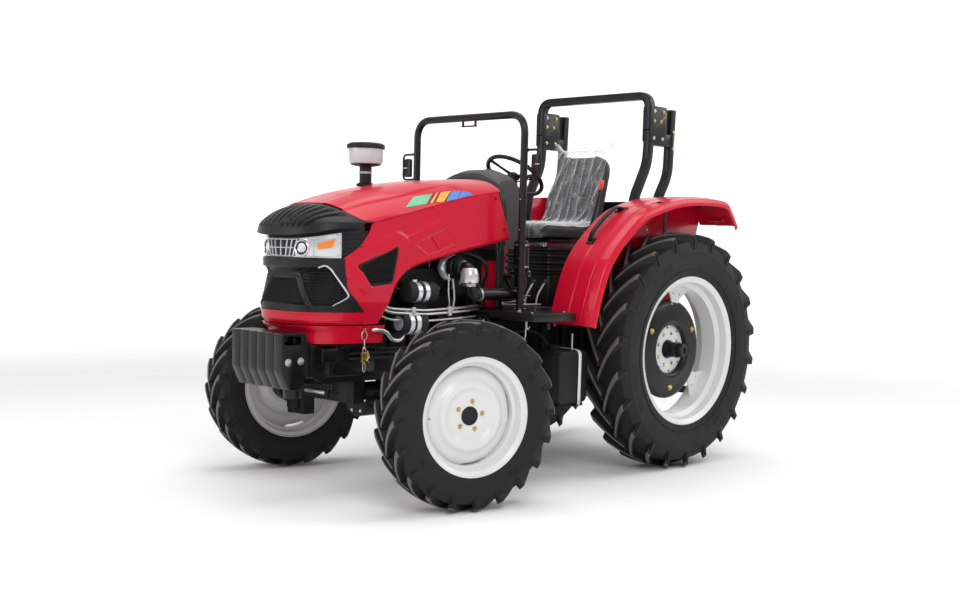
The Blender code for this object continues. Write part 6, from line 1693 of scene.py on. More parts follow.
def mirror(side, sign):
    """Looped arm with its clamp, and a framed glass that faces back."""
    x, y = HOOP_X, 0.4926
    shape = Shape()
    arm = rounded([(x, y - 0.002, 1.83), (x, 0.6, 1.83), (x, 0.6, 1.99), (x, y - 0.002, 1.99)], 0.03, 8)
    shape.tube(arm, 0.007, 0, 16)
    for z in (1.83, 1.99):
        shape.box((x - 0.011, y - 0.003, z - 0.011), (x + 0.011, y + 0.006, z + 0.011), 0.002)
    body = oblong(0.531, 1.846, 0.5905, 1.964, 0.014, 5)
    shape.prism(body, "X", x - 0.017, x + 0.005, 0.006)
    shape.prism(inset(body, 0.005), "X", x - 0.0182, x - 0.016, 0.0006, 1)
    shape.rod((x + 0.002, 0.56, 1.905), (x + 0.002, 0.6, 1.905), 0.005, 2, 12)
    if sign < 0:
        shape.mirrored()
    return shape.make("mirror_" + side + "_glass", "black mirror zinc", "chassis", ["mirror_" + side],
                      34)


def platform():
    """Step plates with a raised tread, folded edges, mat ribs and levers on the floor."""
    f = FRONT
    shape = Shape()
    outline = [(-0.58, 0.749), (-0.58, 0.226), (-0.602, 0.224), (-0.602, -0.224), (-0.58, -0.226),
               (-0.58, -0.749), (-0.958, -0.749),
               (-0.962, -0.503), (-1.735, -0.503), (-1.735, 0.503), (-0.962, 0.503), (-0.958, 0.749)]
    outline = eased(np.array(outline) + (f, 0), 0.006, 2)
    shape.prism(outline, "Z", 0.9915, 1.0380, 0.003)
    for sign in (-1, 1):
        for i in range(13):
            for j in range(9):
                px, py = f - 0.605 - 0.0275 * i, sign * (0.36 + 0.045 * j)
                if abs(px - HOOP_X) < 0.04 and abs(abs(py) - HOOP_HALF) < 0.04:
                    continue
                turn = 0.785 if (i + j) % 2 else -0.785
                c, s = math.cos(turn), math.sin(turn)
                oval = circle(0.0085, 8, 0.32) @ np.array([(c, s), (-s, c)]) + (px, py)
                shape.prism(oval, "Z", 1.0375, 1.0395, 0.0015)
    for k in range(40):
        x = f - 1.0 - 0.0165 * k
        shape.box((x, -0.33, 1.0375), (x + 0.008, 0.33, 1.0396), 0.001, 1)
    for y, x0 in ((0.30, -0.98), (0.34, -1.04), (-0.30, -0.98)):
        shape.tube(curve([(f + x0, y, 1.037), (f + x0 - 0.02, y, 1.12), (f + x0 - 0.07, y + 0.01, 1.2)], 20),
                   0.006, 2, 10)
        shape.dome((f + x0 - 0.07, y + 0.01, 1.195), (-0.4, 0, 1), 0.015, 0.026, 3, 20)
        shape.lathe([(1.036, 0.0), (1.036, 0.026), (1.044, 0.024), (1.052, 0.016), (1.06, 0.009), (1.06, 0.0)],
                    (f + x0 - 0.003, y, 0), (0, 0, 1), 24, 1)
    rods = [((-0.66, 0.42, 1.085), (-0.98, 0.30, 1.09)), ((-0.72, 0.36, 1.07), (-0.98, 0.44, 1.07)),
            ((-0.62, 0.33, 1.1), (-0.97, 0.36, 1.12))]
    for a, b in rods:
        shape.rod((f + a[0], a[1], a[2]), (f + b[0], b[1], b[2]), 0.006, 2, 10)
    for sign in (-1, 1):
        for x in (-0.62, -0.9):
            shape.bolt((f + x, sign * 0.7, 1.038), (0, 0, 1), 0.008, 2)
        shape.bolt((f - 0.66, sign * 0.56, 1.038), (0, 0, 1), 0.012, 2)
        shape.block((f - 0.90, f - 0.87), (sign * 0.56, sign * 0.60), (0.93, 0.992), 0.002)
        hook = [(f - 0.62, sign * 0.66, 0.992), (f - 0.62, sign * 0.66, 0.955), (f - 0.635, sign * 0.66, 0.945),
                (f - 0.645, sign * 0.66, 0.96)]
        shape.tube(curve(hook, 14), 0.004, 2, 8)
        shape.tube(curve([(f - 0.63, sign * 0.645, 0.99), (f - 0.632, sign * 0.64, 0.9),
                          (f - 0.66, sign * 0.60, 0.84)], 14), 0.004, 2, 8)
    return shape.make("platform_plates", "black mat zinc plastic", "chassis", ["platform"], 32)


def tanks(sign):
    """Moulded tank or box beside the gearbox, with ribs, straps and a filler."""
    x0, x1 = FRONT - 1.19, FRONT - 0.92
    shape = Shape()
    outline = oblong(x0, 0.477, x1, 0.799, 0.045, 8)
    shape.prism(outline, "Y", 0.421, 0.659, 0.016)
    ring, sunk = inset(outline, -0.002), inset(outline, 0.004)
    for k in range(3):
        y = 0.47 + 0.07 * k
        shape.grid([upright(q, y + d) for q, d in (
            (outline, -0.005), (ring, -0.002), (ring, 0.002), (outline, 0.005), (sunk, 0.004), (sunk, -0.004))],
            (True, True))
    shape.lathe([(0.79, 0), (0.79, 0.03), (0.80, 0.034), (0.826, 0.034), (0.83, 0.03), (0.83, 0)],
                (FRONT - 1.0, 0.54, 0), (0, 0, 1), 28)
    x = x0 + 0.085
    strap = rounded([(x, 0.664, 0.47), (x, 0.664, 0.80), (x, 0.60, 0.806), (x, 0.415, 0.806), (x, 0.415, 0.47)],
                    0.04, 8)
    shape.sweep(strap, slab(0.026, 0.0025, 0.001), (1, 0, 0), 1)
    shape.rod((x, 0.664, 0.455), (x, 0.664, 0.50), 0.006, 2, 12)
    shape.rod((x + 0.03, 0.62, 0.79), (x + 0.03, 0.62, 0.90), 0.006, 2, 12)
    shape.dome((x + 0.03, 0.62, 0.895), (0, 0, 1), 0.009, 0.01, 2, 14)
    shape.tube(curve([(FRONT - 1.0, 0.5, 0.82), (FRONT - 0.97, 0.42, 0.90), (FRONT - 0.9, 0.32, 0.9),
                      (FRONT - 0.8, 0.22, 0.86)], 26), 0.009, 3, 12)
    shape.box((x0 + 0.02, 0.20, 0.4565), (x1 - 0.02, 0.64, 0.4755), 0.003, 4)
    for y in (0.3, 0.5, 0.62):
        shape.bolt((x0 + 0.04, y, 0.4565), (0, 0, -1), 0.008, 2)
    if sign < 0:
        shape.mirrored()
    node = "fuel_tank" if sign > 0 else "battery_box"
    return shape.make(node + "_moulding", "plastic mark zinc hose black", "chassis", [node], 34)


# ---------------------------------------------------------------- mudguards
GUARD_INNER = 0.506  # distance of the mudguards' inner edge from the middle
GUARD = [(1.022, 0.961), (0.985, 1.1), (0.911, 1.294), (0.835, 1.405), (0.732, 1.506), (0.544, 1.645), (0.345, 1.714),
         (0.137, 1.757), (-0.1, 1.772), (-0.357, 1.762), (-0.45, 1.69), (-0.519, 1.601)]


def guard(side, sign):
    """Pressed mudguard: a crease along its top, a rolled outer edge, an inner wall and a hand hold.

    The section (y, depth) is carried along a smooth line over the wheel, depth along its normal."""
    t = np.concatenate([np.linspace(0, 9, 96), np.linspace(9.05, 11, 24)])
    line = spline(np.array(GUARD), t)
    tangent = unit(np.gradient(line, axis=0))
    normal = np.stack([tangent[:, 1], -tangent[:, 0]], 1)
    normal *= np.sign(np.sum(normal * (np.array([0, REAR_HEIGHT]) - line), axis=1))[:, None]
    u = np.linspace(0, 1, 60)
    depth = 0.004 * smooth(u, 0.36, 0.40) + 0.010 * smooth(u, 0.60, 0.9) ** 2
    curl = smooth(u, 0.86, 1.0)
    y = np.where(u > 0.86, GUARD_INNER + 0.324 * 0.86 / 0.9 + 0.0145 * np.sin(curl * math.pi / 2),
                 GUARD_INNER + 0.324 * u / 0.9)
    depth = depth + 0.045 * (1 - np.cos(curl * math.pi / 2))
    P = np.stack([REAR + line[:, :1] + normal[:, :1] * depth, np.broadcast_to(y, (len(line), len(u))),
                  line[:, 1:] + normal[:, 1:] * depth], -1)
    shape = Shape()
    shape.shell(P[::-1], 0.005)
    wall = [(q[0], q[1]) for q in (line + normal * 0.003)[2:-4]]
    wall = np.array(wall + [(-0.42, 1.4), (-0.3, 1.1), (-0.2, 1.0425), (0.9, 1.0425)]) + (REAR, 0)
    shape.prism(wall, "Y", 0.5066, 0.5114, 0.001)

    def over(a, b, h):
        a, b = np.broadcast_arrays(np.asarray(a, float), np.asarray(b, float))
        p = spline(np.array(GUARD), a)
        q = spline(np.array(GUARD), np.minimum(10.9, a + 0.01)) - p
        q = unit(q)
        n = np.stack([q[..., 1], -q[..., 0]], -1)
        n = n * np.sign(np.sum(n * (np.array([0, REAR_HEIGHT]) - p), -1))[..., None]
        dip = 0.004 + 0.010 * smooth((b - GUARD_INNER) / 0.36, 0.60, 0.9) ** 2
        k = dip - np.asarray(h)
        return np.stack([REAR + p[..., 0] + n[..., 0] * k, b, p[..., 1] + n[..., 1] * k], -1)

    ribbon(shape, np.linspace((0.15, 0.742), (8.6, 0.742), 120), over, 0.010, -0.004, 0.0028, 0)
    grip = []
    for a, h in ((3.62, 0.004), (3.75, 0.028), (4.0, 0.042), (4.5, 0.044), (4.95, 0.040), (5.15, 0.026),
                 (5.25, 0.004)):
        grip.append(over(a, 0.615, h))
    grip = curve(np.array(grip), 60)
    width = 0.016 + 0.012 * smooth(np.abs(np.linspace(-1, 1, 60)), 0.6, 1.0)
    shape.sweep(grip, np.array([slab(2 * w, 0.016, 0.006) for w in width]), (0, 1, 0), 1)
    for a0, a1 in ((3.42, 3.78), (5.05, 5.42)):
        patch(shape, [(a0, 0.588), (a1, 0.588), (a1, 0.642), (a0, 0.642)], over, -0.002, 0.010, (12, 8), 1)
    shape.box((REAR - 0.40, 0.60, 1.712), (REAR - 0.33, 0.72, 1.728), 0.003, 1)
    shape.box((REAR - 0.505, 0.60, 1.622), (REAR - 0.478, 0.72, 1.672), 0.004, 2)
    shape.box((REAR - 0.50, 0.60, 1.676), (REAR - 0.468, 0.72, 1.70), 0.004, 3)
    for x, z in ((0.62, 1.2), (0.5, 1.35), (0.1, 1.55), (-0.2, 1.5), (0.75, 1.12)):
        shape.bolt((REAR + x, 0.5115, z), (0, 1, 0), 0.008, 4)
        shape.bolt((REAR + x, 0.5065, z), (0, -1, 0), 0.008, 4)
    for x in (0.3, -0.1):
        shape.sweep([(REAR + x, 0.512, 1.30), (REAR + x, 0.512, 1.66), (REAR + x, 0.54, 1.70),
                     (REAR + x, 0.78, 1.722)], slab(0.03, 0.005, 0.001), (1, 0, 0), 1)
    if sign < 0:
        shape.mirrored()
    return shape.make("mudguard_" + side, "red plastic ruby amber zinc", "chassis", ["fender_" + side],
                      44)


def cushioned(shape, width, outline, columns, rows, crown, groove, panel):
    """A padded block: a side outline (x, z) swept across the seat, crowned, with stitched channels.

    Each outline point moves out by crown (1 - v^4) and in by groove at the sewn lines."""
    n = 150
    t = np.linspace(0, len(outline), n, endpoint=False)
    ring = spline(np.vstack([outline, outline[:2]]), t)
    tangent = unit(np.roll(ring, -1, 0) - np.roll(ring, 1, 0))
    area = np.sum(ring[:, 0] * np.roll(ring[:, 1], -1) - ring[:, 1] * np.roll(ring[:, 0], -1))
    out = np.stack([tangent[:, 1], -tangent[:, 0]], 1) * np.sign(area)
    v = np.sin(np.linspace(-1, 1, 73) * math.pi / 2)
    full = (1 - np.abs(v) ** 6) ** 0.5
    middle = ring.mean(0)
    P = []
    along = np.linspace(0, 1, n, endpoint=False)
    for s, f in zip(v, full):
        flat = middle + (ring - middle) * (0.55 + 0.45 * f)
        bolster = smooth(abs(s), panel - 0.02, panel + 0.16) * (1 - smooth(abs(s), 0.86, 1.0))
        seam = np.exp(-((abs(s) - panel) / 0.018) ** 2)
        cut = np.zeros(n)
        if abs(s) < panel:
            for k in range(rows + 1):
                cut += np.exp(-((along - (columns[0] + (columns[1] - columns[0]) * k / rows)) / 0.004) ** 2)
            inside = (along > columns[0]) & (along < columns[1])
            cut = np.maximum(np.minimum(cut, 1), inside * np.exp(-(s / 0.02) ** 2))
        inside = smooth(along, columns[0] - 0.02, columns[0]) * (1 - smooth(along, columns[1], columns[1] + 0.02))
        push = crown * (1 - abs(s) ** 4) * 0.4 + bolster * 0.018 * inside - groove * np.maximum(cut, seam * inside)
        q = flat + out * push[:, None]
        P.append(np.stack([q[:, 0], np.full(n, s * width / 2), q[:, 1]], 1))
    shape.grid(P, (False, True), caps=True)


def puff(made, cap):
    """Relaxes a cushion under a little inner pressure, each point kept within cap of its start."""
    mesh = made.data
    start = np.empty(len(mesh.vertices) * 3)
    mesh.vertices.foreach_get("co", start)
    start = start.reshape(-1, 3)
    cloth = made.modifiers.new("cloth", "CLOTH")
    cloth.settings.use_pressure = True
    cloth.settings.uniform_pressure_force = 1.2
    cloth.settings.tension_stiffness = 60
    cloth.settings.bending_stiffness = 8
    cloth.settings.effector_weights.gravity = 0
    cloth.point_cache.frame_start = 1
    cloth.point_cache.frame_end = 12
    for step in range(1, 13):
        bpy.context.scene.frame_set(step)
    graph = bpy.context.evaluated_depsgraph_get()
    eased_mesh = made.evaluated_get(graph).to_mesh()
    end = np.empty(len(start) * 3)
    eased_mesh.vertices.foreach_get("co", end)
    made.evaluated_get(graph).to_mesh_clear()
    made.modifiers.remove(cloth)
    bpy.context.scene.frame_set(1)
    move = end.reshape(-1, 3) - start
    if not np.isfinite(move).all():
        raise RuntimeError("the cushion's cloth did not settle")
    far = np.linalg.norm(move, axis=1, keepdims=True)
    mesh.vertices.foreach_set("co", (start + move * np.minimum(1, cap / np.maximum(far, 1e-9))).ravel())
    mesh.update()


def seat_cushion():
    """Lower cushion with raised sides and two columns of sewn channels."""
    r = REAR
    shape = Shape()
    outline = np.array([(0.312, 1.50), (0.34, 1.556), (0.42, 1.548), (0.55, 1.542), (0.68, 1.548),
                        (0.77, 1.552), (0.80, 1.532),
                        (0.806, 1.50), (0.785, 1.476), (0.6, 1.474), (0.4, 1.474), (0.325, 1.476)])[::-1] + (r, 0)
    cushioned(shape, 0.476, outline, (0.40, 0.82), 5, 0.012, 0.010, 0.58)
    made = shape.make("seat_cushion_padding", "vinyl", "chassis", ["seat_cushion"], 60)
    puff(made, 0.006)
    return made


def seat_back():
    """High back rest with shoulders, side bolsters and two columns of sewn channels."""
    r = REAR
    shape = Shape()
    outline = np.array([(0.292, 1.492), (0.262, 1.60), (0.235, 1.72), (0.207, 1.85), (0.178, 1.96),
                        (0.160, 2.015), (0.135, 2.03),
                        (0.108, 2.018), (0.096, 1.985), (0.125, 1.86), (0.158, 1.72), (0.195, 1.58),
                        (0.225, 1.478), (0.27, 1.476)])[::-1] + (r, 0)
    cushioned(shape, 0.436, outline, (0.55, 0.90), 5, 0.010, 0.010, 0.42)
    made = shape.make("seat_back_padding", "vinyl", "chassis", ["seat_back"], 60)
    puff(made, 0.006)
    return made


def seat_film(lift):
    """Clear wrapping over the seat: it stands off the padding, with creases and peaked corners.

    Creases add a (1 - |sin|) for four slanting waves, so each one comes to a sharp ridge."""
    r = REAR
    line = np.array([(0.085, 1.80), (0.085, 1.92), (0.088, 2.02), (0.130, 2.062), (0.172, 2.045), (0.205, 1.93),
                     (0.238, 1.80),
                     (0.272, 1.66), (0.312, 1.588), (0.40, 1.572), (0.55, 1.568), (0.70, 1.573), (0.795, 1.568),
                     (0.832, 1.535), (0.828, 1.478)])
    n, m = 140, 97
    s = np.linspace(0, len(line) - 1, n)
    c = spline(line, s)
    d = unit(np.gradient(c, axis=0))
    out = np.stack([-d[:, 1], d[:, 0]], 1)
    v = np.linspace(-1, 1, m)
    S, V = np.meshgrid(np.linspace(0, 1, n), v, indexing="ij")
    crease = np.zeros((n, m))
    for a, b, phase, size in ((21, 3.1, 0.4, 0.0045), (9, -6.3, 1.7, 0.0055), (33, 4.7, 2.9, 0.0028),
                              (14, 9.1, 0.9, 0.0040)):
        crease += size * (1 - np.abs(np.sin(a * S + b * V + 1.3 * np.sin(7 * S + 4 * V) + phase))) ** 2
    peak = 0.055 * np.abs(V) ** 7 * np.exp(-((s[:, None] - 3.0) / 1.15) ** 2)
    droop = 0.020 * smooth(np.abs(V), 0.82, 1.0) * smooth(s, 8.0, 9.0)[:, None]
    wide = np.interp(s, [0, 3, 7.5, 9, 14], [0.225, 0.236, 0.226, 0.244, 0.240])
    h = lift * 0.5 + crease - droop
    x = c[:, :1] + out[:, :1] * h
    z = c[:, 1:] + out[:, 1:] * h + peak
    y = V * (wide[:, None] + peak * 0.35)
    shape = Shape()
    shape.shell(np.stack([r + x, y, z], -1), 0.0006)
    made = shape.make("seat_wrapping", "film", "chassis", (), 60)
    return made


def seat_base():
    """Pressed seat console with a bellows, slide rails and side covers."""
    r = REAR
    shape = Shape()
    shape.prism(oblong(r + 0.272, -0.218, r + 0.718, 0.218, 0.03, 5), "Z", 1.0405, 1.24, 0.008)
    for k in range(8):
        z = 1.242 + 0.022 * k
        e = 0.0 if k % 2 else 0.012
        shape.prism(oblong(r + 0.285 + e, -0.205 + e, r + 0.705 - e, 0.205 - e, 0.04, 5), "Z", z, z + 0.0225,
                    0.008, 1)
    for y in (-0.18, 0.15):
        shape.box((r + 0.28, y, 1.42), (r + 0.71, y + 0.03, 1.452), 0.003, 2)
    shape.box((r + 0.275, -0.216, 1.45), (r + 0.716, 0.216, 1.4695), 0.005)
    shape.tube(rounded([(r + 0.60, 0.14, 1.435), (r + 0.715, 0.14, 1.435), (r + 0.715, 0.0, 1.435)], 0.03, 6),
               0.005, 2, 10)
    return shape.make("seat_console", "plastic hose zinc", "chassis", ["seat_base"], 34)


def hand_lever():
    """Gear lever with a red knob under a clear cap, in a sealed foot on the mudguard side."""
    r = REAR
    shape = Shape()
    shape.prism(oblong(r + 0.562, 0.372, r + 0.618, 0.498, 0.014, 4), "Z", 1.4005, 1.4395, 0.006, 0)
    shape.tube([(r + 0.59, 0.402, 1.425), (r + 0.565, 0.42, 1.54), (r + 0.53, 0.437, 1.69),
                (r + 0.498, 0.4495, 1.84)], 0.0085, 1, 16)
    waves = [(0.01 + 0.008 * k, 0.024 - 0.0013 * k + (0.003 if k % 2 else 0)) for k in range(8)]
    shape.lathe([(0.0, 0), (0.0, 0.026), *waves, (0.075, 0.009), (0.075, 0)], (r + 0.59, 0.402, 1.432),
                (-0.2, 0.1, 1), 24, 0)
    shape.lathe([(-0.06, 0), (-0.06, 0.012), (-0.045, 0.0165), (-0.02, 0.0175), (-0.004, 0.016), (0.004, 0.011),
                 (0.006, 0)], (r + 0.497, 0.45, 1.85), (-0.2, 0.1, 1), 28, 2)
    return shape.make("hand_lever_knob", "hose black knob", "chassis", ["hand_lever"], 34)


# ---------------------------------------------------------------- roll bar and rear
def rops_frame():
    """Four bent box-section posts with foot plates, a cross beam, fold plates, webs and bolts."""
    r = REAR
    shape = Shape()
    front = [(0.20, 0.866), (0.20, 1.74), (0.07, 1.98), (0.06, 2.1), (0.06, 2.199)]
    back = [(-0.05, 0.866), (-0.05, 1.74), (-0.16, 1.92), (-0.172, 2.349)]
    for sign in (-1, 1):
        for line in (front, back):
            path = rounded([(r + x, sign * 0.473, z) for x, z in line], 0.07, 8)
            shape.sweep(path, slab(0.0536, 0.055, 0.009), (0, 1, 0))
        shape.block((r - 0.165, r + 0.055), (sign * 0.448, sign * 0.498), (2.105, 2.185))
        shape.block((r - 0.1, r + 0.24), (sign * 0.436, sign * 0.5045), (0.8655, 0.885))
        for x in (-0.085, 0.225):
            for y in (0.445, 0.495):
                shape.bolt((r + x, sign * y, 0.885), (0, 0, 1), 0.008, 2)
        plate = oblong(-0.088, 2.122, 0.088, 2.358, 0.022, 6) + (r, 0)
        for low in (0.4412, 0.5002):
            shape.prism(plate, "Y", *sorted((sign * low, sign * (low + 0.0046))), 0.0012)
        for face, out in ((0.5048, sign), (0.4412, -sign)):
            for x, z, look in ((-0.045, 2.325, 1), (0.048, 2.325, 2), (0.048, 2.262, 1), (-0.02, 2.262, 1),
                               (0.048, 2.15, 2), (-0.045, 2.15, 2)):
                shape.bolt((r + x, sign * face, z), (0, out, 0), 0.0095, look)
        shape.tube(curve([(r - 0.045, sign * 0.515, 2.325), (r - 0.06, sign * 0.522, 2.30),
                          (r - 0.03, sign * 0.52, 2.28), (r - 0.02, sign * 0.514, 2.262)], 20), 0.0022, 1, 8)
        shape.tube(curve([(r - 0.172, sign * 0.502, 2.20), (r - 0.165, sign * 0.512, 2.15),
                          (r - 0.172, sign * 0.502, 2.10)], 16), 0.004, 1, 8)
        for z in (2.205, 2.095):
            shape.bolt((r - 0.172, sign * 0.4998, z), (0, sign, 0), 0.008, 2)
    shape.box((r - 0.0745, -0.447, 1.6805), (r - 0.0255, 0.447, 1.7395), 0.006)
    shape.box((r - 0.03, -0.30, 1.60), (r - 0.022, 0.30, 1.72), 0.003)
    for y in (-0.25, 0.25):
        shape.bolt((r - 0.022, y, 1.64), (1, 0, 0), 0.008, 2)
    return shape.make("roll_bar_posts", "black brass zinc", "chassis", ["rops_frame"], 34)


def rops_hoop():
    """Upper hoop of rounded box section with the ears that turn on the fold pins."""
    x = REAR + 0.06
    shape = Shape()
    path = rounded([(x, -0.473, 2.2055), (x, -0.473, 2.4255), (x, 0.473, 2.4255), (x, 0.473, 2.2055)], 0.085, 14)
    shape.sweep(path, slab(0.0596, 0.0528, 0.009), (1, 0, 0))
    for sign in (-1, 1):
        shape.block((REAR - 0.072, REAR + 0.04), (sign * 0.4475, sign * 0.4985), (2.298, 2.352), 0.006)
    return shape.make("roll_bar_hoop", "black", "rops_hoop_body", ["rops_hoop"], 34)


def lights():
    """Tail lamps, flashers and the slow-vehicle bracket on the roll bar."""
    r = REAR
    shape = Shape()
    for sign in (-1, 1):
        shape.block((r - 0.105, r - 0.0755), (sign * 0.30, sign * 0.40), (1.66, 1.72), 0.005)
        shape.block((r - 0.112, r - 0.104), (sign * 0.306, sign * 0.394), (1.666, 1.714), 0.003, 1)
    shape.box((r - 0.082, -0.16, 1.52), (r - 0.0755, 0.16, 1.68), 0.003, 0)
    return shape.make("rear_lamps", "plastic ruby", "chassis", angle=32)


def driveline():
    """Ribs, covers and bolts over the gearbox, rear axle housings and drawbar."""
    r = REAR
    shape = Shape()
    for sign in (-1, 1):
        for k in range(8):
            a = TAU * k / 8 + 0.2
            shape.bolt((r + 0.115 * math.cos(a), sign * 0.446, REAR_HEIGHT + 0.115 * math.sin(a)), (0, sign, 0),
                       0.009, 1)
        for x in (0.2, 0.36, 0.55, 0.75):
            shape.block((r + x, r + x + 0.02), (sign * 0.19, sign * 0.222), (0.66, 0.98), 0.005)
        for x in (0.28, 0.46, 0.65):
            shape.bolt((r + x, sign * 0.22, 0.92), (0, sign, 0), 0.009, 1)
    shape.rod((r - 0.2, 0, 0.64), (r - 0.262, 0, 0.64), 0.06, 0, 32)
    for k in range(6):
        a = TAU * k / 6
        shape.bolt((r - 0.262, 0.047 * math.cos(a), 0.64 + 0.047 * math.sin(a)), (-1, 0, 0), 0.006, 1)
    return shape.make("driveline_fittings", "iron zinc", "chassis", angle=34)


EDGED = ("front_axle", "front_support", "knuckle_left", "knuckle_right", "tie_rod", "driveshaft_guard", "drawbar",
         "transmission", "engine", "link_shaft", "lift_arms", "lift_rod_left", "lift_rod_right", "lower_link_left",
         "lower_link_right", "tank_bracket_left", "tank_bracket_right")
BLACK = ("tie_rod", "driveshaft_guard", "drawbar", "tank_bracket_left", "tank_bracket_right")


def castings():
    """Forged and cast parts of the frame: edges eased by a bevel and finished as painted metal."""
    for name in EDGED:
        node = bpy.data.objects[name]
        weld = node.modifiers.new("weld", "WELD")
        weld.merge_threshold = 0.0002
        bevel = node.modifiers.new("eased_edges", "BEVEL")
        bevel.width = 0.002
        bevel.segments = 2
        bevel.limit_method = "ANGLE"
        bevel.angle_limit = math.radians(38)
        bevel.harden_normals = True
        node.data.materials.clear()
        node.data.materials.append(finish("black" if name in BLACK else "iron"))
    node = bpy.data.objects["top_link"]
    node.data.materials.clear()
    node.data.materials.append(finish("black"))


# ---------------------------------------------------------------- studio
WALL, CURVE = 19.0, 3.0  # where the floor starts to curve up, and the radius of the curve
LIGHTS = (  # name, place, power in watts, size
    ("key", (4.5, 5.5, 5.5), 240, 3.5), ("front", (7.0, -2.5, 3.5), 120, 4.0),
    ("rear", (-5.5, 4.0, 5.0), 140, 4.0), ("top", (0.0, 0.0, 7.5), 200, 5.0))
AIM = (0, 0, 0.9)  # the point that every light faces
CAMERA_AT, CAMERA_TURN = (5.800, 5.621, 1.450), (44.05, 5.72, 1.57)  # heading, tilt and roll, in degrees
LENS, SENSOR, SHIFT = 47.256, 36.0, (-0.01724, 0.0701)


def studio():
    """A pale floor that curves up behind, four large soft lights and the camera."""
    look = bpy.context.scene.tractor_paint
    bend = np.linspace(0.05, math.pi / 2, 20)
    far = np.concatenate([np.linspace(-40, WALL, 30), WALL + CURVE * np.sin(bend), np.full(10, WALL + CURVE)])
    high = np.concatenate([np.zeros(30), CURVE * (1 - np.cos(bend)), np.linspace(3.4, 30, 10)])
    wide = np.linspace(-40, 40, 9)
    away = np.array([-0.72, -0.69])
    across = np.array([-away[1], away[0]])
    P = [[(*(away * f + across * w), h) for w in wide] for f, h in zip(far, high)]
    shape = Shape()
    shape.grid(P)
    mesh = bpy.data.meshes.new("studio_floor")
    mesh.from_pydata(np.concatenate(shape.points).tolist(), [], shape.faces)
    mesh.shade_smooth()
    floor = bpy.data.objects.new("studio_floor", mesh)
    bpy.context.scene.collection.objects.link(floor)
    mesh.materials.append(backdrop("studio_backdrop", look.floor))
    world = bpy.data.worlds.new("studio")
    bpy.context.scene.world = world
    world.use_nodes = True
    world.node_tree.nodes["Background"].inputs["Color"].default_value = (1, 1, 1, 1)
    world.node_tree.nodes["Background"].inputs["Strength"].default_value = 0.5
    for name, place, power, size in LIGHTS:
        light = bpy.data.lights.new(name, "AREA")
        light.energy, light.size = power, size
        lamp = bpy.data.objects.new(name, light)
        lamp.location = place
        lamp.rotation_euler = (Vector(AIM) - Vector(place)).to_track_quat("-Z", "Y").to_euler()
        bpy.context.scene.collection.objects.link(lamp)
    yaw, pitch, roll = (math.radians(a) for a in CAMERA_TURN)
    fwd = np.array([-math.cos(yaw) * math.cos(pitch), -math.sin(yaw) * math.cos(pitch), -math.sin(pitch)])
    right = unit(np.cross(fwd, (0, 0, 1)))
    up = np.cross(right, fwd)
    c, s = math.cos(roll), math.sin(roll)
    right, up = c * right + s * up, c * up - s * right
    data = bpy.data.cameras.new("view")
    data.lens, data.sensor_width = LENS, SENSOR
    data.shift_x, data.shift_y = SHIFT
    camera = bpy.data.objects.new("view", data)
    pose = Matrix.Identity(4)
    for i, column in enumerate((right, up, -fwd, CAMERA_AT)):
        for j in range(3):
            pose[j][i] = float(column[j])
    camera.matrix_world = pose
    bpy.context.scene.collection.objects.link(camera)
    bpy.context.scene.camera = camera
    bpy.context.scene.view_settings.view_transform = "Standard"


# ---------------------------------------------------------------- operators
def operator(name, label, text, build):
    """An operator of the add-on that runs one builder."""

    def execute(self, context):
        build(context.scene)
        return {"FINISHED"}

    fields = {"bl_idname": "tractor." + name, "bl_label": label, "__doc__": text, "execute": execute}
    return type("TRACTOR_OT_" + name, (bpy.types.Operator,), fields)


def build_tyres(scene):
    w = scene.tractor_wheels
    for side, sign in SIDES:
        tyre("front_tyre_rubber_" + side, wheel_turn(sign, True), w.front_radius, w.front_width, w.front_rim,
             w.front_bars, "front_wheel_" + side + "_body", "front_tyre_" + side)
        tyre("rear_tyre_rubber_" + side, wheel_turn(sign, False), w.rear_radius, w.rear_width, w.rear_rim,
             w.rear_bars, "rear_wheel_" + side + "_body", "rear_tyre_" + side)


def build_rims(scene):
    w = scene.tractor_wheels
    for side, sign in SIDES:
        front_wheel("front_rim_" + side, wheel_turn(sign, True), w.front_rim,
                    "front_wheel_" + side + "_body", "front_wheel_" + side)
        rear_wheel("rear_wheel_rim_" + side, wheel_turn(sign, False), w.rear_rim,
                   "rear_wheel_" + side + "_body", ["rear_rim_" + side, "rear_disc_" + side])


def build_bonnet(scene):
    skin = scene.tractor_body.skin
    bonnet_top(skin)
    stripes()
    for side, sign in SIDES:
        side_panel(side, sign, skin)
    precleaner()


def build_nose(scene):
    skin = scene.tractor_body.skin
    nose_cap()
    lamp_unit()
    nose_mask()
    nose_lip(skin)
    valance()


def build_front(scene):
    weights(scene.tractor_body.weights)
    front_frame()
    axle_details()
    for side, sign in SIDES:
        knuckle_details(side, sign)


def build_engine(scene):
    engine_details()
    side_pipes()
    radiator_details()
    exhaust_pipe()
    firewall()


def build_dash(scene):
    cowl()
    pedestal()
    steering_wheel()
    column()
    hoop(scene.tractor_body.hoop)
    for side, sign in SIDES:
        mirror(side, sign)


def build_floor(scene):
    platform()
    for side, sign in SIDES:
        tanks(sign)
        guard(side, sign)


def build_seat(scene):
    seat_base()
    seat_cushion()
    seat_back()
    seat_film(scene.tractor_body.film_lift)
    hand_lever()


def build_roll_bar(scene):
    rops_frame()
    rops_hoop()
    lights()


def build_driveline(scene):
    castings()
    driveline()


def build_studio(scene):
    studio()


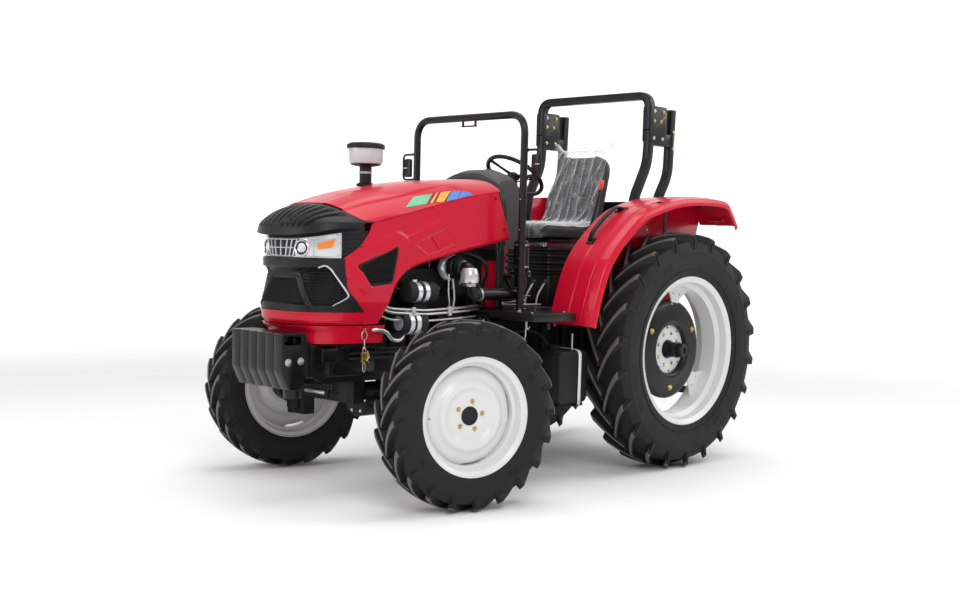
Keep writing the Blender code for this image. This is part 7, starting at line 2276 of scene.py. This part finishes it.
OPERATORS = [
    operator("tyres", "Tyres", "Builds the four lugged tyres", build_tyres),
    operator("rims", "Rims", "Builds the wheel rims, discs and hubs", build_rims),
    operator("bonnet", "Bonnet", "Builds the bonnet, its stripes and the air pre-cleaner", build_bonnet),
    operator("nose", "Nose", "Builds the grille, lamps and nose mouldings", build_nose),
    operator("front", "Front end", "Builds the weights, bracket details and axle fittings", build_front),
    operator("engine", "Engine", "Dresses the engine, radiator, lines and exhaust", build_engine),
    operator("dash", "Dash", "Builds the cowl, wheel, hand-hold bar and mirrors", build_dash),
    operator("floor", "Floor", "Builds the platform, tanks and mudguards", build_floor),
    operator("seat", "Seat", "Builds the seat and its hand lever", build_seat),
    operator("roll_bar", "Roll bar", "Builds the roll bar posts and lamps", build_roll_bar),
    operator("driveline", "Driveline", "Finishes the castings, gearbox and linkage", build_driveline),
    operator("studio", "Studio", "Sets the floor, lights and camera", build_studio),
]


class TRACTOR_PT_panel(bpy.types.Panel):
    """Sizes, colours and builders of the tractor."""

    bl_idname = "TRACTOR_PT_panel"
    bl_label = "Farm tractor"
    bl_space_type = "VIEW_3D"
    bl_region_type = "UI"
    bl_category = "Tractor"

    def draw(self, context):
        for group in (context.scene.tractor_paint, context.scene.tractor_wheels, context.scene.tractor_body):
            box = self.layout.box()
            for key in group.__annotations__:
                box.prop(group, key)
        for each in OPERATORS:
            self.layout.operator(each.bl_idname)


CLASSES = [TractorPaint, TractorWheels, TractorBody, *OPERATORS, TRACTOR_PT_panel]


def register():
    for each in CLASSES:
        bpy.utils.register_class(each)
    bpy.types.Scene.tractor_paint = bpy.props.PointerProperty(type=TractorPaint)
    bpy.types.Scene.tractor_wheels = bpy.props.PointerProperty(type=TractorWheels)
    bpy.types.Scene.tractor_body = bpy.props.PointerProperty(type=TractorBody)


def unregister():
    del bpy.types.Scene.tractor_paint
    del bpy.types.Scene.tractor_wheels
    del bpy.types.Scene.tractor_body
    for each in reversed(CLASSES):
        bpy.utils.unregister_class(each)


def main():
    register()
    for each in OPERATORS:
        if getattr(bpy.ops.tractor, each.bl_idname.split(".")[1])() != {"FINISHED"}:
            raise RuntimeError(each.bl_label + " was not finished")


if __name__ == "__main__":
    main()
